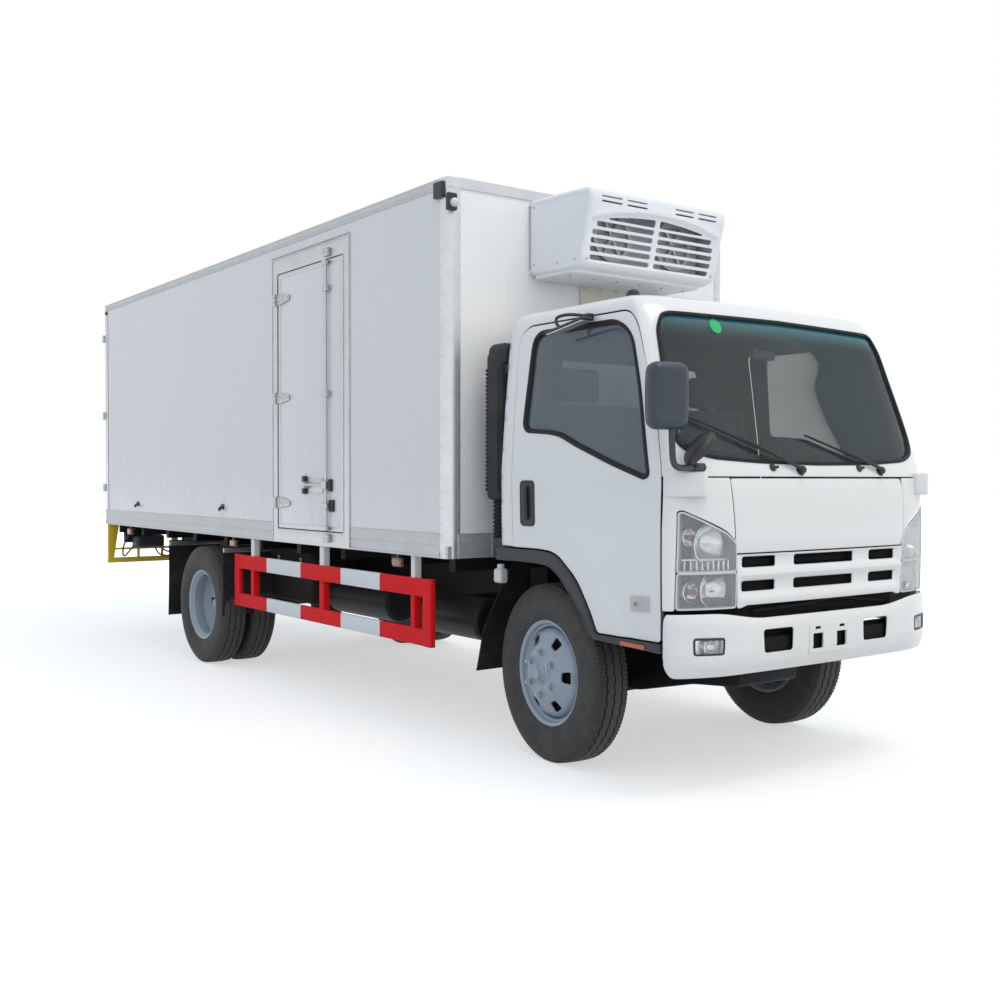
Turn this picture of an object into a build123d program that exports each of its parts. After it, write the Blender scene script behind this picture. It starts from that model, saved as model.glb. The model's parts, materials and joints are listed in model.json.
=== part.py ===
from build123d import *
import math
import os

# A light refrigerated truck: tilt cab, ladder frame, insulated box with a side door and two
# rear doors, and a cooling unit on the box front. Millimetres. +Z is up, the truck faces -Y,
# and -X is its right-hand side. While it is being built, y is measured from the front axle;
# the last step moves every piece so that the origin is the bottom centre of the whole truck.

# ---- driving dimensions -----------------------------------------------------------------
wheelbase = 4175
tyre_diameter = 935
tyre_width = 215
rim_diameter = 508
rim_flange_diameter = 568
rim_width = 175
front_rim_face_x = 917
rear_rim_face_x = 1132
twin_spacing = 250
kingpin_x = 742
rest_steer = 5.26

box_half_width = 1100
box_front_y = 675
box_rear_y = 6687
box_bottom_z = 1030
box_top_z = 3160
box_wall = 80
box_skirt_height = 140
box_rail_height = 60
box_post_width = 75

cab_wall = 45
cab_tilt_y = -890
cab_tilt_z = 860
tilt_pin_radius = 20

frame_half_width = 375
frame_height = 200
frame_flange = 65
frame_web = 8
frame_top_z = 860
frame_front_y = -928
frame_rear_y = 6600

running_gap = 6
seat_gap = 0.3
swing_gap = 5

wheel_z = tyre_diameter / 2
front_wheel_x = front_rim_face_x - rim_width / 2
rear_wheel_x = rear_rim_face_x - rim_width / 2
bumper_front_y = -1064
lock_rod_reach = 45
y_middle = (bumper_front_y + box_rear_y + lock_rod_reach) / 2

parts = {}


def block(x0, x1, y0, y1, z0, z1):
    """A box between two corners."""
    centre = Pos((x0 + x1) / 2, (y0 + y1) / 2, (z0 + z1) / 2)
    return centre * Box(abs(x1 - x0), abs(y1 - y0), abs(z1 - z0))


def prism_x(outline, x0, x1):
    """An outline of (y, z) points, carried along X from x0 to x1."""
    face = make_face(Polyline(*outline, close=True))
    return extrude(Plane.YZ.offset(x0) * face, x1 - x0)


def rod_x(radius, x0, x1, y, z):
    """A round bar along X."""
    return Pos((x0 + x1) / 2, y, z) * Rot(0, 90, 0) * Cylinder(radius, abs(x1 - x0))


def rod_y(radius, x, y0, y1, z):
    """A round bar along Y."""
    return Pos(x, (y0 + y1) / 2, z) * Rot(90, 0, 0) * Cylinder(radius, abs(y1 - y0))


def rod_z(radius, x, y, z0, z1):
    """A round bar along Z."""
    return Pos(x, y, (z0 + z1) / 2) * Cylinder(radius, abs(z1 - z0))


def other_side(shape):
    """The same piece on the other side of the truck."""
    return mirror(shape, Plane.YZ)


def both_sides(shape):
    """The piece on the right and its twin on the left, as solids that stay apart."""
    return Compound(children=[*shape.solids(), *other_side(shape).solids()])


def ring_x(profile, sign):
    """A turned part about the X axis: profile is (distance outwards, radius) points."""
    outline = [(sign * reach, radius) for reach, radius in profile]
    face = make_face(Polyline(*outline, close=True))
    return revolve(Plane.XY * face, Axis.X)


# ---- wheels -----------------------------------------------------------------------------
# Everything on a wheel is turned about its own X axis, with reach measured outwards from the
# middle plane of the tyre.

def tyre(sign):
    half = tyre_width / 2
    crown = tyre_diameter / 2
    bead = rim_diameter / 2
    bead_half = rim_width / 2 - 14.5
    flange = rim_flange_diameter / 2
    shoulder = crown - 22
    profile = [
        (-bead_half, bead + seat_gap),
        (-bead_half, flange + 6),
        (-half + 8, flange + 26),
        (-half, (crown + bead) / 2 + 8),
        (-half + 10, shoulder - 20),
        (-half + 26, shoulder + 10),
        (-half + 40, crown),
        (half - 40, crown),
        (half - 26, shoulder + 10),
        (half - 10, shoulder - 20),
        (half, (crown + bead) / 2 + 8),
        (half - 8, flange + 26),
        (bead_half, flange + 6),
        (bead_half, bead + seat_gap),
    ]
    return ring_x(profile, sign)


disc_reach = twin_spacing / 2
disc_thickness = 12
stud_circle = 222.25
stud_count = 6
hub_radius = 80
hand_hole_count = 6
hand_hole_radius = 26
hand_hole_circle = 185


def rim(sign):
    """A steel rim whose disc stands out by half the twin spacing."""
    well = rim_diameter / 2 - 14
    seat = rim_diameter / 2
    flange = rim_flange_diameter / 2
    half = rim_width / 2
    profile = [
        (-half, flange),
        (-half + 10, flange),
        (-half + 12, seat),
        (-40, seat),
        (-30, well),
        (half - 50, well),
        (half - 40, seat),
        (half - 12, seat),
        (half - 10, flange),
        (half, flange),
        (half - 2, seat - 12),
        (half - 38, well - 12),
        (-32, well - 12),
        (-half + 2, seat - 12),
    ]
    bowl = [
        (disc_reach, hub_radius),
        (disc_reach, 150),
        (disc_reach - 60, well - 30),
        (half - 60, well - 8),
        (half - 60 - disc_thickness, well - 8),
        (disc_reach - 60 - disc_thickness, well - 42),
        (disc_reach - disc_thickness, 144),
        (disc_reach - disc_thickness, hub_radius),
    ]
    wheel = ring_x(profile, sign) + ring_x(bowl, sign)
    hole = Rot(0, 90, 0) * Cylinder(hand_hole_radius, 120)
    for index in range(hand_hole_count):
        turn = Rot(360 / hand_hole_count * (index + 0.5), 0, 0)
        wheel -= turn * Pos(sign * (disc_reach - 40), 0, hand_hole_circle) * hole
    return wheel


def hub(sign, length_in, length_out, flange_reach):
    """Hub with its flange against the disc, its studs and a cap."""
    body = ring_x([(-length_in, 24.2), (-length_in, 58), (flange_reach - 14, 70), (flange_reach - 14, 138),
                   (flange_reach, 138), (flange_reach, hub_radius - 6), (flange_reach + 22, 58),
                   (flange_reach + length_out, 50), (flange_reach + length_out, 24.2)], sign)
    cap = ring_x([(flange_reach + length_out, 0), (flange_reach + length_out, 46),
                  (flange_reach + length_out + 8, 40), (flange_reach + length_out + 8, 0)], sign)
    return body + cap


def nuts(sign, reach):
    """A ring of wheel nuts that press the disc onto the hub."""
    pieces = []
    for index in range(stud_count):
        turn = Rot(360 / stud_count * index, 0, 0)
        middle = Pos(sign * (reach + 12), 0, stud_circle / 2)
        pieces.append(turn * middle * Rot(0, 90, 0) * Cylinder(16, 24))
    return pieces


def fuse(pieces):
    whole = pieces[0]
    for piece in pieces[1:]:
        whole += piece
    return whole


front_turn = Rot(0, 0, -rest_steer)
stub_radius = 24
kingpin_radius = 20
eye_radius = 34
for side, sign in (("right", -1), ("left", 1)):
    kingpin = Pos(sign * kingpin_x, 0, 0) * front_turn
    wheel_place = kingpin * Pos(sign * (front_wheel_x - kingpin_x), 0, wheel_z)
    parts[f"front_tyre_{side}"] = wheel_place * tyre(sign)
    hub_piece = hub(sign, 10, 30, disc_reach - disc_thickness)
    parts[f"front_rim_{side}"] = wheel_place * fuse([rim(sign), hub_piece] + nuts(sign, disc_reach))
    stub_start = kingpin_x - front_wheel_x + 50
    stub = rod_x(stub_radius, sign * stub_start, sign * (disc_reach + 10), 0, 0)
    spindle_foot = rod_x(46, sign * stub_start, sign * (stub_start + 16), 0, 0)
    pin_reach = kingpin_x - front_wheel_x
    pin = rod_z(kingpin_radius, sign * pin_reach, 0, -118, 118)
    web = block(sign * (pin_reach - 26), sign * (pin_reach + 56), -46, 46, -96, 96)
    slot = block(sign * (pin_reach - 30), sign * (pin_reach + eye_radius + 4), -60, 60, -48, 48)
    carrier = wheel_place * (web - slot + pin + stub + spindle_foot)
    arm = kingpin * Pos(sign * -14, 0, 0) * block(-16, 16, 30, 190, wheel_z - 92, wheel_z - 66)
    parts[f"knuckle_{side}"] = carrier + arm

    twin = []
    twin_tyres = []
    for reach, facing in ((0, 1), (-twin_spacing, -1)):
        place = Pos(sign * (rear_wheel_x + reach), wheelbase, wheel_z)
        twin.append(place * rim(sign * -facing))
        twin_tyres.append(place * tyre(sign))
    middle = Pos(sign * (rear_wheel_x - twin_spacing / 2), wheelbase, wheel_z)
    rear_hub = ring_x([(-80, 52), (-80, 92), (-disc_thickness, 92), (-disc_thickness - 1, 138), (0, 138),
                       (disc_thickness, 78), (70, 72), (84, 50), (84, 0), (70, 0), (70, 52)], sign)
    rear_nuts = [middle * nut for nut in nuts(sign, disc_thickness)]
    parts[f"rear_rims_{side}"] = fuse(twin + [middle * rear_hub] + rear_nuts)
    parts[f"rear_tyres_{side}"] = Compound(children=[solid for one in twin_tyres for solid in one.solids()])

# ---- axles, springs and drive ------------------------------------------------------------
beam_half = kingpin_x - 20
beam_z = wheel_z - 30
beam_outline = [(-beam_half, wheel_z - 40), (-beam_half, wheel_z + 34), (-kingpin_x + 130, wheel_z + 34),
                (-frame_half_width - 60, beam_z - 20), (frame_half_width + 60, beam_z - 20),
                (kingpin_x - 130, wheel_z + 34), (beam_half, wheel_z + 34), (beam_half, wheel_z - 40),
                (kingpin_x - 130, wheel_z - 46), (frame_half_width + 60, beam_z - 110),
                (-frame_half_width - 60, beam_z - 110), (-kingpin_x + 130, wheel_z - 46)]
beam = extrude(Plane.XZ.offset(-38) * make_face(Polyline(*beam_outline, close=True)), 76)
for sign in (-1, 1):
    eye = rod_z(eye_radius, sign * kingpin_x, 0, wheel_z - 46, wheel_z + 46)
    bore = rod_z(kingpin_radius + 0.05, sign * kingpin_x, 0, wheel_z - 60, wheel_z + 60)
    beam = beam + eye - bore
parts["front_axle"] = beam

rear_tube_half = rear_wheel_x - twin_spacing / 2 + 60
case = ring_x([(-120, 0), (-120, 120), (-60, 180), (60, 180), (120, 120), (120, 0)], 1)
tube = rod_x(51.9, -rear_tube_half, rear_tube_half, 0, 0)
nose = rod_y(75, 0, -290, 0, 0)
parts["rear_axle"] = Pos(0, wheelbase, wheel_z) * (case + tube + nose)

spring_x = frame_half_width - frame_flange / 2
spring_width = 60


def leaf_spring(axle_y, half_length, seat_z, end_z, thickness):
    """One stack of leaves: thick at the axle, thin at its eyes, with a hanger at each end."""
    outline = [(axle_y - half_length, end_z), (axle_y - 90, seat_z), (axle_y + 90, seat_z),
               (axle_y + half_length, end_z), (axle_y + half_length, end_z + 14),
               (axle_y + 90, seat_z + thickness), (axle_y - 90, seat_z + thickness),
               (axle_y - half_length, end_z + 14)]
    x0 = -spring_x - spring_width / 2
    stack = prism_x(outline, x0, x0 + spring_width)
    foot = frame_top_z - frame_height
    for end in (axle_y - half_length, axle_y + half_length):
        stack += rod_x(26, x0, x0 + spring_width, end, end_z + 8)
        stack += block(x0 + 5, x0 + spring_width - 5, end - 34, end + 34, end_z + 8, foot)
    return stack


front_spring = leaf_spring(0, 620, beam_z - 20, 560, 50)
rear_spring = leaf_spring(wheelbase, 640, wheel_z + 52, 590, 70)
parts["leaf_springs"] = Compound(children=[solid for one in (front_spring, rear_spring)
                                           for solid in both_sides(one).solids()])

engine_front_y = -330
engine_rear_y = 560
engine_low_z = 520
engine_top_z = 1085
engine_half_width = 290
parts["engine_block"] = fillet(block(-engine_half_width, engine_half_width, engine_front_y, engine_rear_y,
                                     engine_low_z, engine_top_z).edges(), 20)

shaft_start = (engine_rear_y, 640)
shaft_end = (wheelbase - 290, wheel_z)
shaft_length = math.dist(shaft_start, shaft_end)
shaft_tilt = math.degrees(math.atan2(shaft_end[1] - shaft_start[1], shaft_end[0] - shaft_start[0]))
shaft = Pos(0, (shaft_start[0] + shaft_end[0]) / 2, (shaft_start[1] + shaft_end[1]) / 2)
shaft_tube = shaft * Rot(shaft_tilt, 0, 0) * Rot(90, 0, 0) * Cylinder(42, shaft_length - 20)
front_flange = rod_y(52, 0, shaft_start[0] + seat_gap, shaft_start[0] + 30, shaft_start[1])
rear_flange = rod_y(52, 0, shaft_end[0] - 30, shaft_end[0] - seat_gap, shaft_end[1])
parts["propshaft"] = fuse([shaft_tube, front_flange, rear_flange])

# ---- ladder frame -------------------------------------------------------------------------
rail_low = frame_top_z - frame_height
channel = [(0, 0), (frame_flange, 0), (frame_flange, frame_web), (frame_web, frame_web),
           (frame_web, frame_height - frame_web), (frame_flange, frame_height - frame_web),
           (frame_flange, frame_height), (0, frame_height)]
rail_face = make_face(Polyline(*[(x - frame_half_width, z + rail_low) for x, z in channel], close=True))
rail = extrude(Plane.XZ.offset(-frame_front_y) * rail_face, frame_front_y - frame_rear_y)
rail -= rod_x(tilt_pin_radius + seat_gap, -2 * frame_half_width, 0, cab_tilt_y, cab_tilt_z)
parts["frame_rails"] = both_sides(rail)

inner_x = frame_half_width - frame_web - seat_gap
cross_places = [(-770, 60), (1250, 90), (2350, 90), (3480, 90), (4800, 90), (5700, 90), (6500, 90)]
members = []
for place_y, depth in cross_places:
    web_height = frame_height - 2 * frame_web - 2 * seat_gap
    low = rail_low + frame_web + seat_gap
    member = block(-inner_x, inner_x, place_y - depth / 2, place_y + depth / 2, low, low + web_height)
    hollow = block(-inner_x + 70, inner_x - 70, place_y - depth / 2 + 8, place_y + depth, low + 8,
                   low + web_height - 8)
    members.append(member - hollow)
parts["cross_members"] = Compound(children=[solid for one in members for solid in one.solids()])

# ---- tanks, silencer, mudflaps, bumper ----------------------------------------------------
air_tank_x = 760
air_tank_radius = 125
air_tank_z = 660
air_tank_y = (720, 1330)
tank = rod_y(air_tank_radius, -air_tank_x, air_tank_y[0], air_tank_y[1], air_tank_z)
tank = fillet(tank.edges(), 35)
tank_arm = block(-air_tank_x, -frame_half_width - seat_gap, 980, 1060, air_tank_z + 60, air_tank_z + 120)
parts["air_tank"] = tank + tank_arm

fuel_tank = fillet(block(460, 925, 910, 1700, 430, 845).edges(), 60)
tank_bearers = [block(frame_half_width + seat_gap, 470, y, y + 60, 700, 800) for y in (1000, 1540)]
parts["fuel_tank"] = fuse([fuel_tank] + tank_bearers)

silencer = fillet(rod_y(125, -640, 1900, 2750, 640).edges(), 30)
silencer_arm = block(-600, -frame_half_width - seat_gap, 2280, 2340, 700, 750)
tail_pipe = rod_y(32, -640, 2740, 3150, 640)
parts["silencer"] = silencer + silencer_arm + tail_pipe

flap_thickness = 10
front_flap_outline = [(520, 1000), (520 + flap_thickness, 1000), (612, 400), (600, 400)]
front_flap = prism_x(front_flap_outline, -950, -frame_half_width - seat_gap)
front_flap -= block(-600, 0, 400, 700, 300, rail_low - 40)
rear_flap_y = wheelbase + 690
rear_flap = block(-1140, -640, rear_flap_y, rear_flap_y + flap_thickness, 330, 945)
flap_arm = block(-650, -frame_half_width - seat_gap, rear_flap_y - 20, rear_flap_y + 30, 740, 780)
parts["mudflaps"] = Compound(children=[solid for one in (front_flap, rear_flap + flap_arm)
                                       for solid in both_sides(one).solids()])

bumper_low = 575
bumper_top = 821
bumper_skin = 12
bumper_end_x = 985
bumper_end_y = -897
bumper_arc_x = 660
bumper_arc_y = -1050


def front_curve(front_y, arc_x, arc_y, end_x, end_y, bulge):
    """Half plan of the nose: a shallow arc, then a rounded corner to the side."""
    middle = ((arc_x + end_x) / 2 + bulge, (arc_y + end_y) / 2 - bulge)
    left = ThreePointArc((-end_x, end_y), (-middle[0], middle[1]), (-arc_x, arc_y))
    face = ThreePointArc((-arc_x, arc_y), (0, front_y), (arc_x, arc_y))
    right = ThreePointArc((arc_x, arc_y), middle, (end_x, end_y))
    return left, face, right


def nose_solid(front_y, arc_x, arc_y, end_x, end_y, bulge, back_y, z0, z1):
    """The nose curve closed by straight sides and a straight back."""
    left, face, right = front_curve(front_y, arc_x, arc_y, end_x, end_y, bulge)
    edges = [left, face, right,
             Line((end_x, end_y), (end_x, back_y)),
             Line((end_x, back_y), (-end_x, back_y)),
             Line((-end_x, back_y), (-end_x, end_y))]
    return extrude(Plane.XY.offset(z0) * make_face(edges), z1 - z0)


bumper_back_y = bumper_end_y
outer = nose_solid(bumper_front_y, bumper_arc_x, bumper_arc_y, bumper_end_x, bumper_end_y - 1, 34,
                   bumper_back_y, bumper_low, bumper_top)
inner = nose_solid(bumper_front_y + bumper_skin, bumper_arc_x - 4, bumper_arc_y + bumper_skin,
                   bumper_end_x - bumper_skin,
                   bumper_end_y - 1, 30, bumper_back_y + 40, bumper_low - 1, bumper_top + 1)
bumper = outer - inner
for low_x, high_x, low_z, high_z in ((278, 479, 690, 780), (690, 850, 670, 770)):
    for sign in (-1, 1):
        bumper -= block(sign * low_x, sign * high_x, bumper_front_y - 20, -900, low_z, high_z)
stay = block(-frame_half_width, -frame_half_width + 60, bumper_front_y + bumper_skin + 2, frame_front_y,
             690, 760)
bumper += stay + other_side(stay)
plate_hole_radius = 3.5
plate_hole_x = 89
plate_hole_z = 676
for sign in (-1, 1):
    bumper -= rod_y(plate_hole_radius, sign * plate_hole_x, bumper_front_y - 20, bumper_front_y + 60,
                    plate_hole_z)
beam_back = block(-frame_half_width, frame_half_width, bumper_front_y + bumper_skin,
                  bumper_front_y + bumper_skin + 30, 700, 750)
bumper += beam_back
parts["bumper"] = bumper

# hinge of the tilt cab: a pin let into the top of the frame, held by a round-topped cap on each rail
cap_radius = tilt_pin_radius + 5
cap_length = 60
cap_width = 40
hinge_caps = []
for sign in (-1, 1):
    inner_cap = frame_half_width - 20 - cap_width
    cap = rod_x(cap_radius, sign * inner_cap, sign * (inner_cap + cap_width), cab_tilt_y, cab_tilt_z)
    cap += block(sign * inner_cap, sign * (inner_cap + cap_width), cab_tilt_y, cab_tilt_y + cap_length,
                 frame_top_z, cab_tilt_z + cap_radius)
    cap -= block(sign * inner_cap, sign * (inner_cap + cap_width), cab_tilt_y - cap_length,
                 cab_tilt_y + cap_length, rail_low, frame_top_z)
    hinge_caps.append(cap)
pin_end = frame_half_width + 40
tilt_pin = rod_x(tilt_pin_radius, -pin_end, pin_end, cab_tilt_y, cab_tilt_z)
parts["cab_pivot"] = fuse([tilt_pin] + hinge_caps)


# ---- tilt cab -----------------------------------------------------------------------------
# The skin is a ruled loft through level sections. Each row: height, half width, front y on the
# centre line, end of the shallow front arc (x, y), start of the straight side (y), corner
# bulge, rear y.
cab_sections = [
    (690, 985, -1030, 650, -1016, -880, 30, 354),
    (1215, 990, -1041, 655, -1027, -882, 34, 360),
    (1486, 988, -1019, 660, -1005, -872, 34, 366),
    (1545, 984, -1000, 660, -982, -862, 34, 368),
    (1980, 938, -838, 690, -818, -745, 26, 384),
    (2290, 893, -722, 700, -706, -612, 24, 396),
    (2352, 872, -672, 680, -655, -565, 24, 380),
    (2378, 800, -590, 620, -574, -480, 22, 320),
    (2392, 640, -430, 480, -415, -320, 18, 200),
]
cab_roof_z = 2297
cab_floor_z = 890
door_gap = 7


def cab_skin(inset, top_drop):
    """The cab's outer form, taken in by inset all round and lowered by top_drop."""
    faces = []
    for height, half, front, arc_x, arc_y, side_y, bulge, rear in cab_sections:
        left, face, right = front_curve(front + inset, arc_x - inset * 0.5, arc_y + inset, half - inset,
                                        side_y + inset * 0.4, bulge - inset * 0.1)
        edges = [left, face, right,
                 Line((half - inset, side_y + inset * 0.4), (half - inset, rear - inset)),
                 Line((half - inset, rear - inset), (-half + inset, rear - inset)),
                 Line((-half + inset, rear - inset), (-half + inset, side_y + inset * 0.4))]
        level = height - top_drop if height > cab_roof_z else height
        faces.append(Plane.XY.offset(level) * make_face(edges))
    return loft(faces, ruled=True)


def skin_band(depth_out, depth_in):
    """The layer of the cab's form between two depths under its surface."""
    return cab_skin(depth_out, depth_out) - cab_skin(depth_in, depth_in)


def prism_y(outline, y0, y1):
    """An outline of (x, z) points, carried along Y from y0 to y1."""
    face = make_face(Polyline(*outline, close=True))
    return extrude(Plane.XZ.offset(-y0) * face, y0 - y1)


def mirrored(outline):
    """A half outline on +X, closed by its mirror image on -X."""
    return outline + [(-x, z) for x, z in reversed(outline)]


body_low = [(-893, cab_floor_z), (-893, 728), (-457, 728), (-405, 831), (-306, 980), (-173, 1081),
            (-117, 1104), (-11, 1112)]
below_body = prism_x([(-1200, cab_floor_z)] + body_low + [(500, 1112), (500, 500), (-1200, 500)], -1200, 1200)

door_outline = [(-886, 735), (-886, 1500), (-808, 1843), (-653, 2207), (-570, 2290), (205, 2290), (272, 2240),
                (246, 1686), (220, 1119), (-11, 1119), (-119, 1111), (-178, 1087), (-312, 984), (-411, 834),
                (-460, 735)]
window_outline = [(140, 2248), (-500, 2248), (-632, 2160), (-711, 1895), (-800, 1500), (-760, 1480),
                  (-540, 1548),
                  (-271, 1635), (-64, 1710), (130, 1736), (158, 1770)]
windscreen_half = [(740, 1562), (872, 1606), (900, 1680), (822, 2240), (785, 2280)]
rear_window_half = [(620, 1740), (620, 2160)]
lamp_half = [(632, 905), (640, 1185), (700, 1240), (925, 1330), (925, 880)]

door_face = make_face(Polyline(*door_outline, close=True))
door_face = fillet(door_face.vertices().filter_by(lambda v: abs(v.Z) > 2200 or abs(v.Y) > 2200), 60)
doorway_face = offset(door_face, door_gap, kind=Kind.INTERSECTION)
window_face = fillet(make_face(Polyline(*window_outline, close=True)).vertices(), 30)

shell = skin_band(0, cab_wall) - below_body
door_reach = cab_sections[1][1] + 60
door_depth = 230
door_prism = extrude(Plane.YZ.offset(-door_reach) * door_face, door_depth)
doorway_prism = extrude(Plane.YZ.offset(-door_reach - 1) * doorway_face, door_depth + 2)
window_prism = extrude(Plane.YZ.offset(-door_reach - 1) * window_face, door_depth + 2)

pane = skin_band(12, 18)
right_door = (shell & door_prism) - window_prism
glass_face = offset(window_face, -seat_gap)
right_glass = pane & extrude(Plane.YZ.offset(-door_reach) * glass_face, door_depth)
parts["cab_door_right"] = right_door
parts["cab_door_left"] = other_side(right_door)
parts["door_glass_right"] = right_glass
parts["door_glass_left"] = other_side(right_glass)

frame_shell = shell - doorway_prism - other_side(doorway_prism)
screen_prism = prism_y(mirrored(windscreen_half), -1200, -500)
rear_prism = prism_y(mirrored(rear_window_half), 100, 600)
frame_shell = frame_shell - screen_prism - rear_prism
windscreen = pane & prism_y(mirrored([(x - seat_gap, z + (seat_gap if z < 1700 else -seat_gap))
                                      for x, z in windscreen_half]), -1200, -500)
rear_window = pane & prism_y(mirrored([(x - seat_gap, z + (seat_gap if z < 1900 else -seat_gap))
                                       for x, z in rear_window_half]), 100, 600)
parts["cab_glass"] = Compound(children=[*windscreen.solids(), *rear_window.solids()])

split_y = -560
low_limit = 500
roof_space = block(-1200, 1200, -1200, 600, cab_roof_z - door_gap, 2500)
front_space = block(-1200, 1200, -1200, split_y, low_limit, cab_roof_z - door_gap)
back_space = block(-1200, 1200, 200, 600, low_limit, cab_roof_z - door_gap)
parts["cab_roof"] = frame_shell & roof_space
parts["cab_back"] = frame_shell & back_space

grille_prism = prism_y(mirrored([(575, 880), (600, 1108)]), -1200, -900)
panel_prism = prism_y(mirrored([(625, 1110), (636, 1300), (655, 1486)]), -1200, -900)
lamp_prism = prism_y(lamp_half, -1200, -800)
cowl = frame_shell & front_space
parts["grille"] = cowl & grille_prism
parts["front_panel"] = cowl & panel_prism
lamps = cowl & lamp_prism
for taken in (grille_prism, panel_prism, lamp_prism, other_side(lamp_prism)):
    cowl -= taken
# A moulded step at the top of each front corner is the mirrors' shelf.
step_low = 1398
step_top = 1514
step_plan = [(800, -950), (800, -1000), (850, -1040), (985, -948), (985, -893), (940, -893)]
step_face = Plane.XY.offset(step_low) * make_face(Polyline(*step_plan, close=True))
cowl += both_sides(extrude(step_face, step_top - step_low))

# Each door turns on two goosenecks, which reach round its front edge to its inner face.
hinge_x = cab_sections[1][1] - cab_wall
neck_depth = 66
neck_bar = 22
neck_tip = 26
neck_height = 60
neck_front_y = -925
neck_root_y = -900
neck_tip_gap = 3.5
door_axis_y = -860
neck_end_y = door_axis_y + 96
for low in (940, 1360):
    high = low + neck_height
    for sign in (-1, 1):
        inner_x = sign * (hinge_x - neck_depth)
        root = block(inner_x, sign * (hinge_x + 2), neck_front_y, neck_root_y, low, high)
        bar = block(inner_x, inner_x + sign * neck_bar, neck_front_y, neck_end_y, low, high)
        tip = block(inner_x, sign * (hinge_x - neck_tip_gap), neck_end_y - neck_tip, neck_end_y, low, high)
        cowl += root + bar + tip
    lamps -= block(hinge_x - neck_depth - seat_gap, hinge_x + neck_depth, neck_front_y - seat_gap,
                   door_axis_y, low - seat_gap, high + seat_gap)
parts["headlamps"] = both_sides(lamps)
parts["cab_cowl"] = cowl

floor_front_y = -1000
floor_rear_y = 354 - cab_wall
riser_y = -385
platform_z = 1130
floor_thickness = 40
floor_outline = [(floor_front_y, cab_floor_z), (riser_y, cab_floor_z), (riser_y, platform_z),
                 (floor_rear_y - seat_gap, platform_z),
                 (floor_rear_y - seat_gap, platform_z + floor_thickness),
                 (riser_y - floor_thickness, platform_z + floor_thickness),
                 (riser_y - floor_thickness, cab_floor_z + floor_thickness),
                 (floor_front_y, cab_floor_z + floor_thickness)]
cab_floor = prism_x(floor_outline, -box_half_width, box_half_width) & cab_skin(cab_wall + seat_gap, 0)
# The doors' front edges swing in past their hinges, so the floor's sides are cut back there.
door_swing_room = 38
ear_reach = 32
ear_length = 60
ear_outer_x = frame_half_width - frame_flange - swing_gap
ear_inner_x = ear_outer_x - 40
hinge_ears = []
for sign in (-1, 1):
    cab_floor -= block(sign * (hinge_x - door_swing_room), sign * box_half_width, -960, -780,
                       cab_floor_z - 1, cab_floor_z + floor_thickness + 1)
    ear = block(sign * ear_inner_x, sign * ear_outer_x, cab_tilt_y - ear_reach, cab_tilt_y + ear_length,
                cab_tilt_z - ear_reach, cab_floor_z + 1)
    hinge_ears.append(ear - rod_x(tilt_pin_radius + 0.05, -pin_end, pin_end, cab_tilt_y, cab_tilt_z))
parts["cab_floor"] = fuse([cab_floor] + hinge_ears)

flare_depth = (925, 1010)
flare_top = [(y, z - seat_gap) for y, z in [(354, body_low[-1][1])] + body_low[:0:-1]]
flare_low = [(-892, 686), (-440, 700), (-420, 714), (-350, 826), (-265, 915), (-154, 1012), (-24, 1050),
             (354, 1052)]
flare_outline = flare_top + flare_low
flare = prism_x(flare_outline, -flare_depth[1], -flare_depth[0])
parts["wheel_arches"] = both_sides(flare)

# seats, dashboard and steering wheel
seat_pieces = []
for low_x, high_x in ((230, 780), (-780, -80)):
    cushion = fillet(block(low_x, high_x, -230, 230, platform_z + floor_thickness, 1330).edges(), 30)
    rest_outline = [(130, 1300), (200, 1300), (300, 1880), (215, 1880)]
    rest = prism_x(rest_outline, low_x + 20, high_x - 20)
    middle = (low_x + high_x) / 2
    if high_x < 0:
        middle = low_x + 280
    head = fillet(block(middle - 130, middle + 130, 225, 300, 1905, 2090).edges(), 25)
    posts = [rod_z(8, middle + reach, 262, 1860, 1930) for reach in (-60, 60)]
    seat_pieces.append(fuse([cushion, rest, head] + posts))
parts["seats"] = Compound(children=[solid for one in seat_pieces for solid in one.solids()])

dash_outline = [(-930, 1250), (-690, 1210), (-640, 1290), (-650, 1410), (-740, 1475), (-900, 1490)]
dashboard = prism_x(dash_outline, -840, 840)
dash_feet = [block(sign * 800, sign * 840, -900, -800, cab_floor_z + floor_thickness, 1250)
             for sign in (-1, 1)]
parts["dashboard"] = fuse([dashboard] + dash_feet)

steering_x = 480
steering_radius = 215
column_tilt = 55
wheel_middle = Pos(steering_x, -455, 1500) * Rot(-column_tilt + 90, 0, 0)
steering_ring = Torus(steering_radius, 16)
boss = Cylinder(55, 40)
spokes = [Rot(0, 0, turn) * Pos(steering_radius / 2, 0, 0) * Box(steering_radius - 10, 34, 14)
          for turn in (-90, 20, 160)]
column = Pos(0, 0, -130) * Cylinder(30, 240)
parts["steering_wheel"] = wheel_middle * fuse([steering_ring, boss, column] + spokes)

# mirrors: a large head on a bent tube and a small tilted dish, on the right corner's step;
# the left corner's step carries none
head_low = 1698
head_high = 1994
head_x = -1048
head_width = 190
head_depth = 84
head_turn = -14
head_edge_radius = 28
arm_radius = 14
arm_x = -1030
arm_y = -1000
arm_lift = 2
arm_z = step_top + arm_radius + arm_lift
foot_x = (-890, -830)
foot_y = (-1020, -950)
dish_half_length = 100
dish_half_width = 60
dish_depth = 34
dish_lean = 45
dish_x = (foot_x[0] + foot_x[1]) / 2
dish_z = 1619
head = Pos(head_x, arm_y + arm_radius, (head_low + head_high) / 2)
head *= Rot(0, 0, head_turn) * Box(head_width, head_depth, head_high - head_low)
head = fillet(head.edges(), head_edge_radius)
arm = rod_x(arm_radius, arm_x, foot_x[1], arm_y, arm_z)
arm += Pos(arm_x, arm_y, arm_z) * Sphere(arm_radius)
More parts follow.
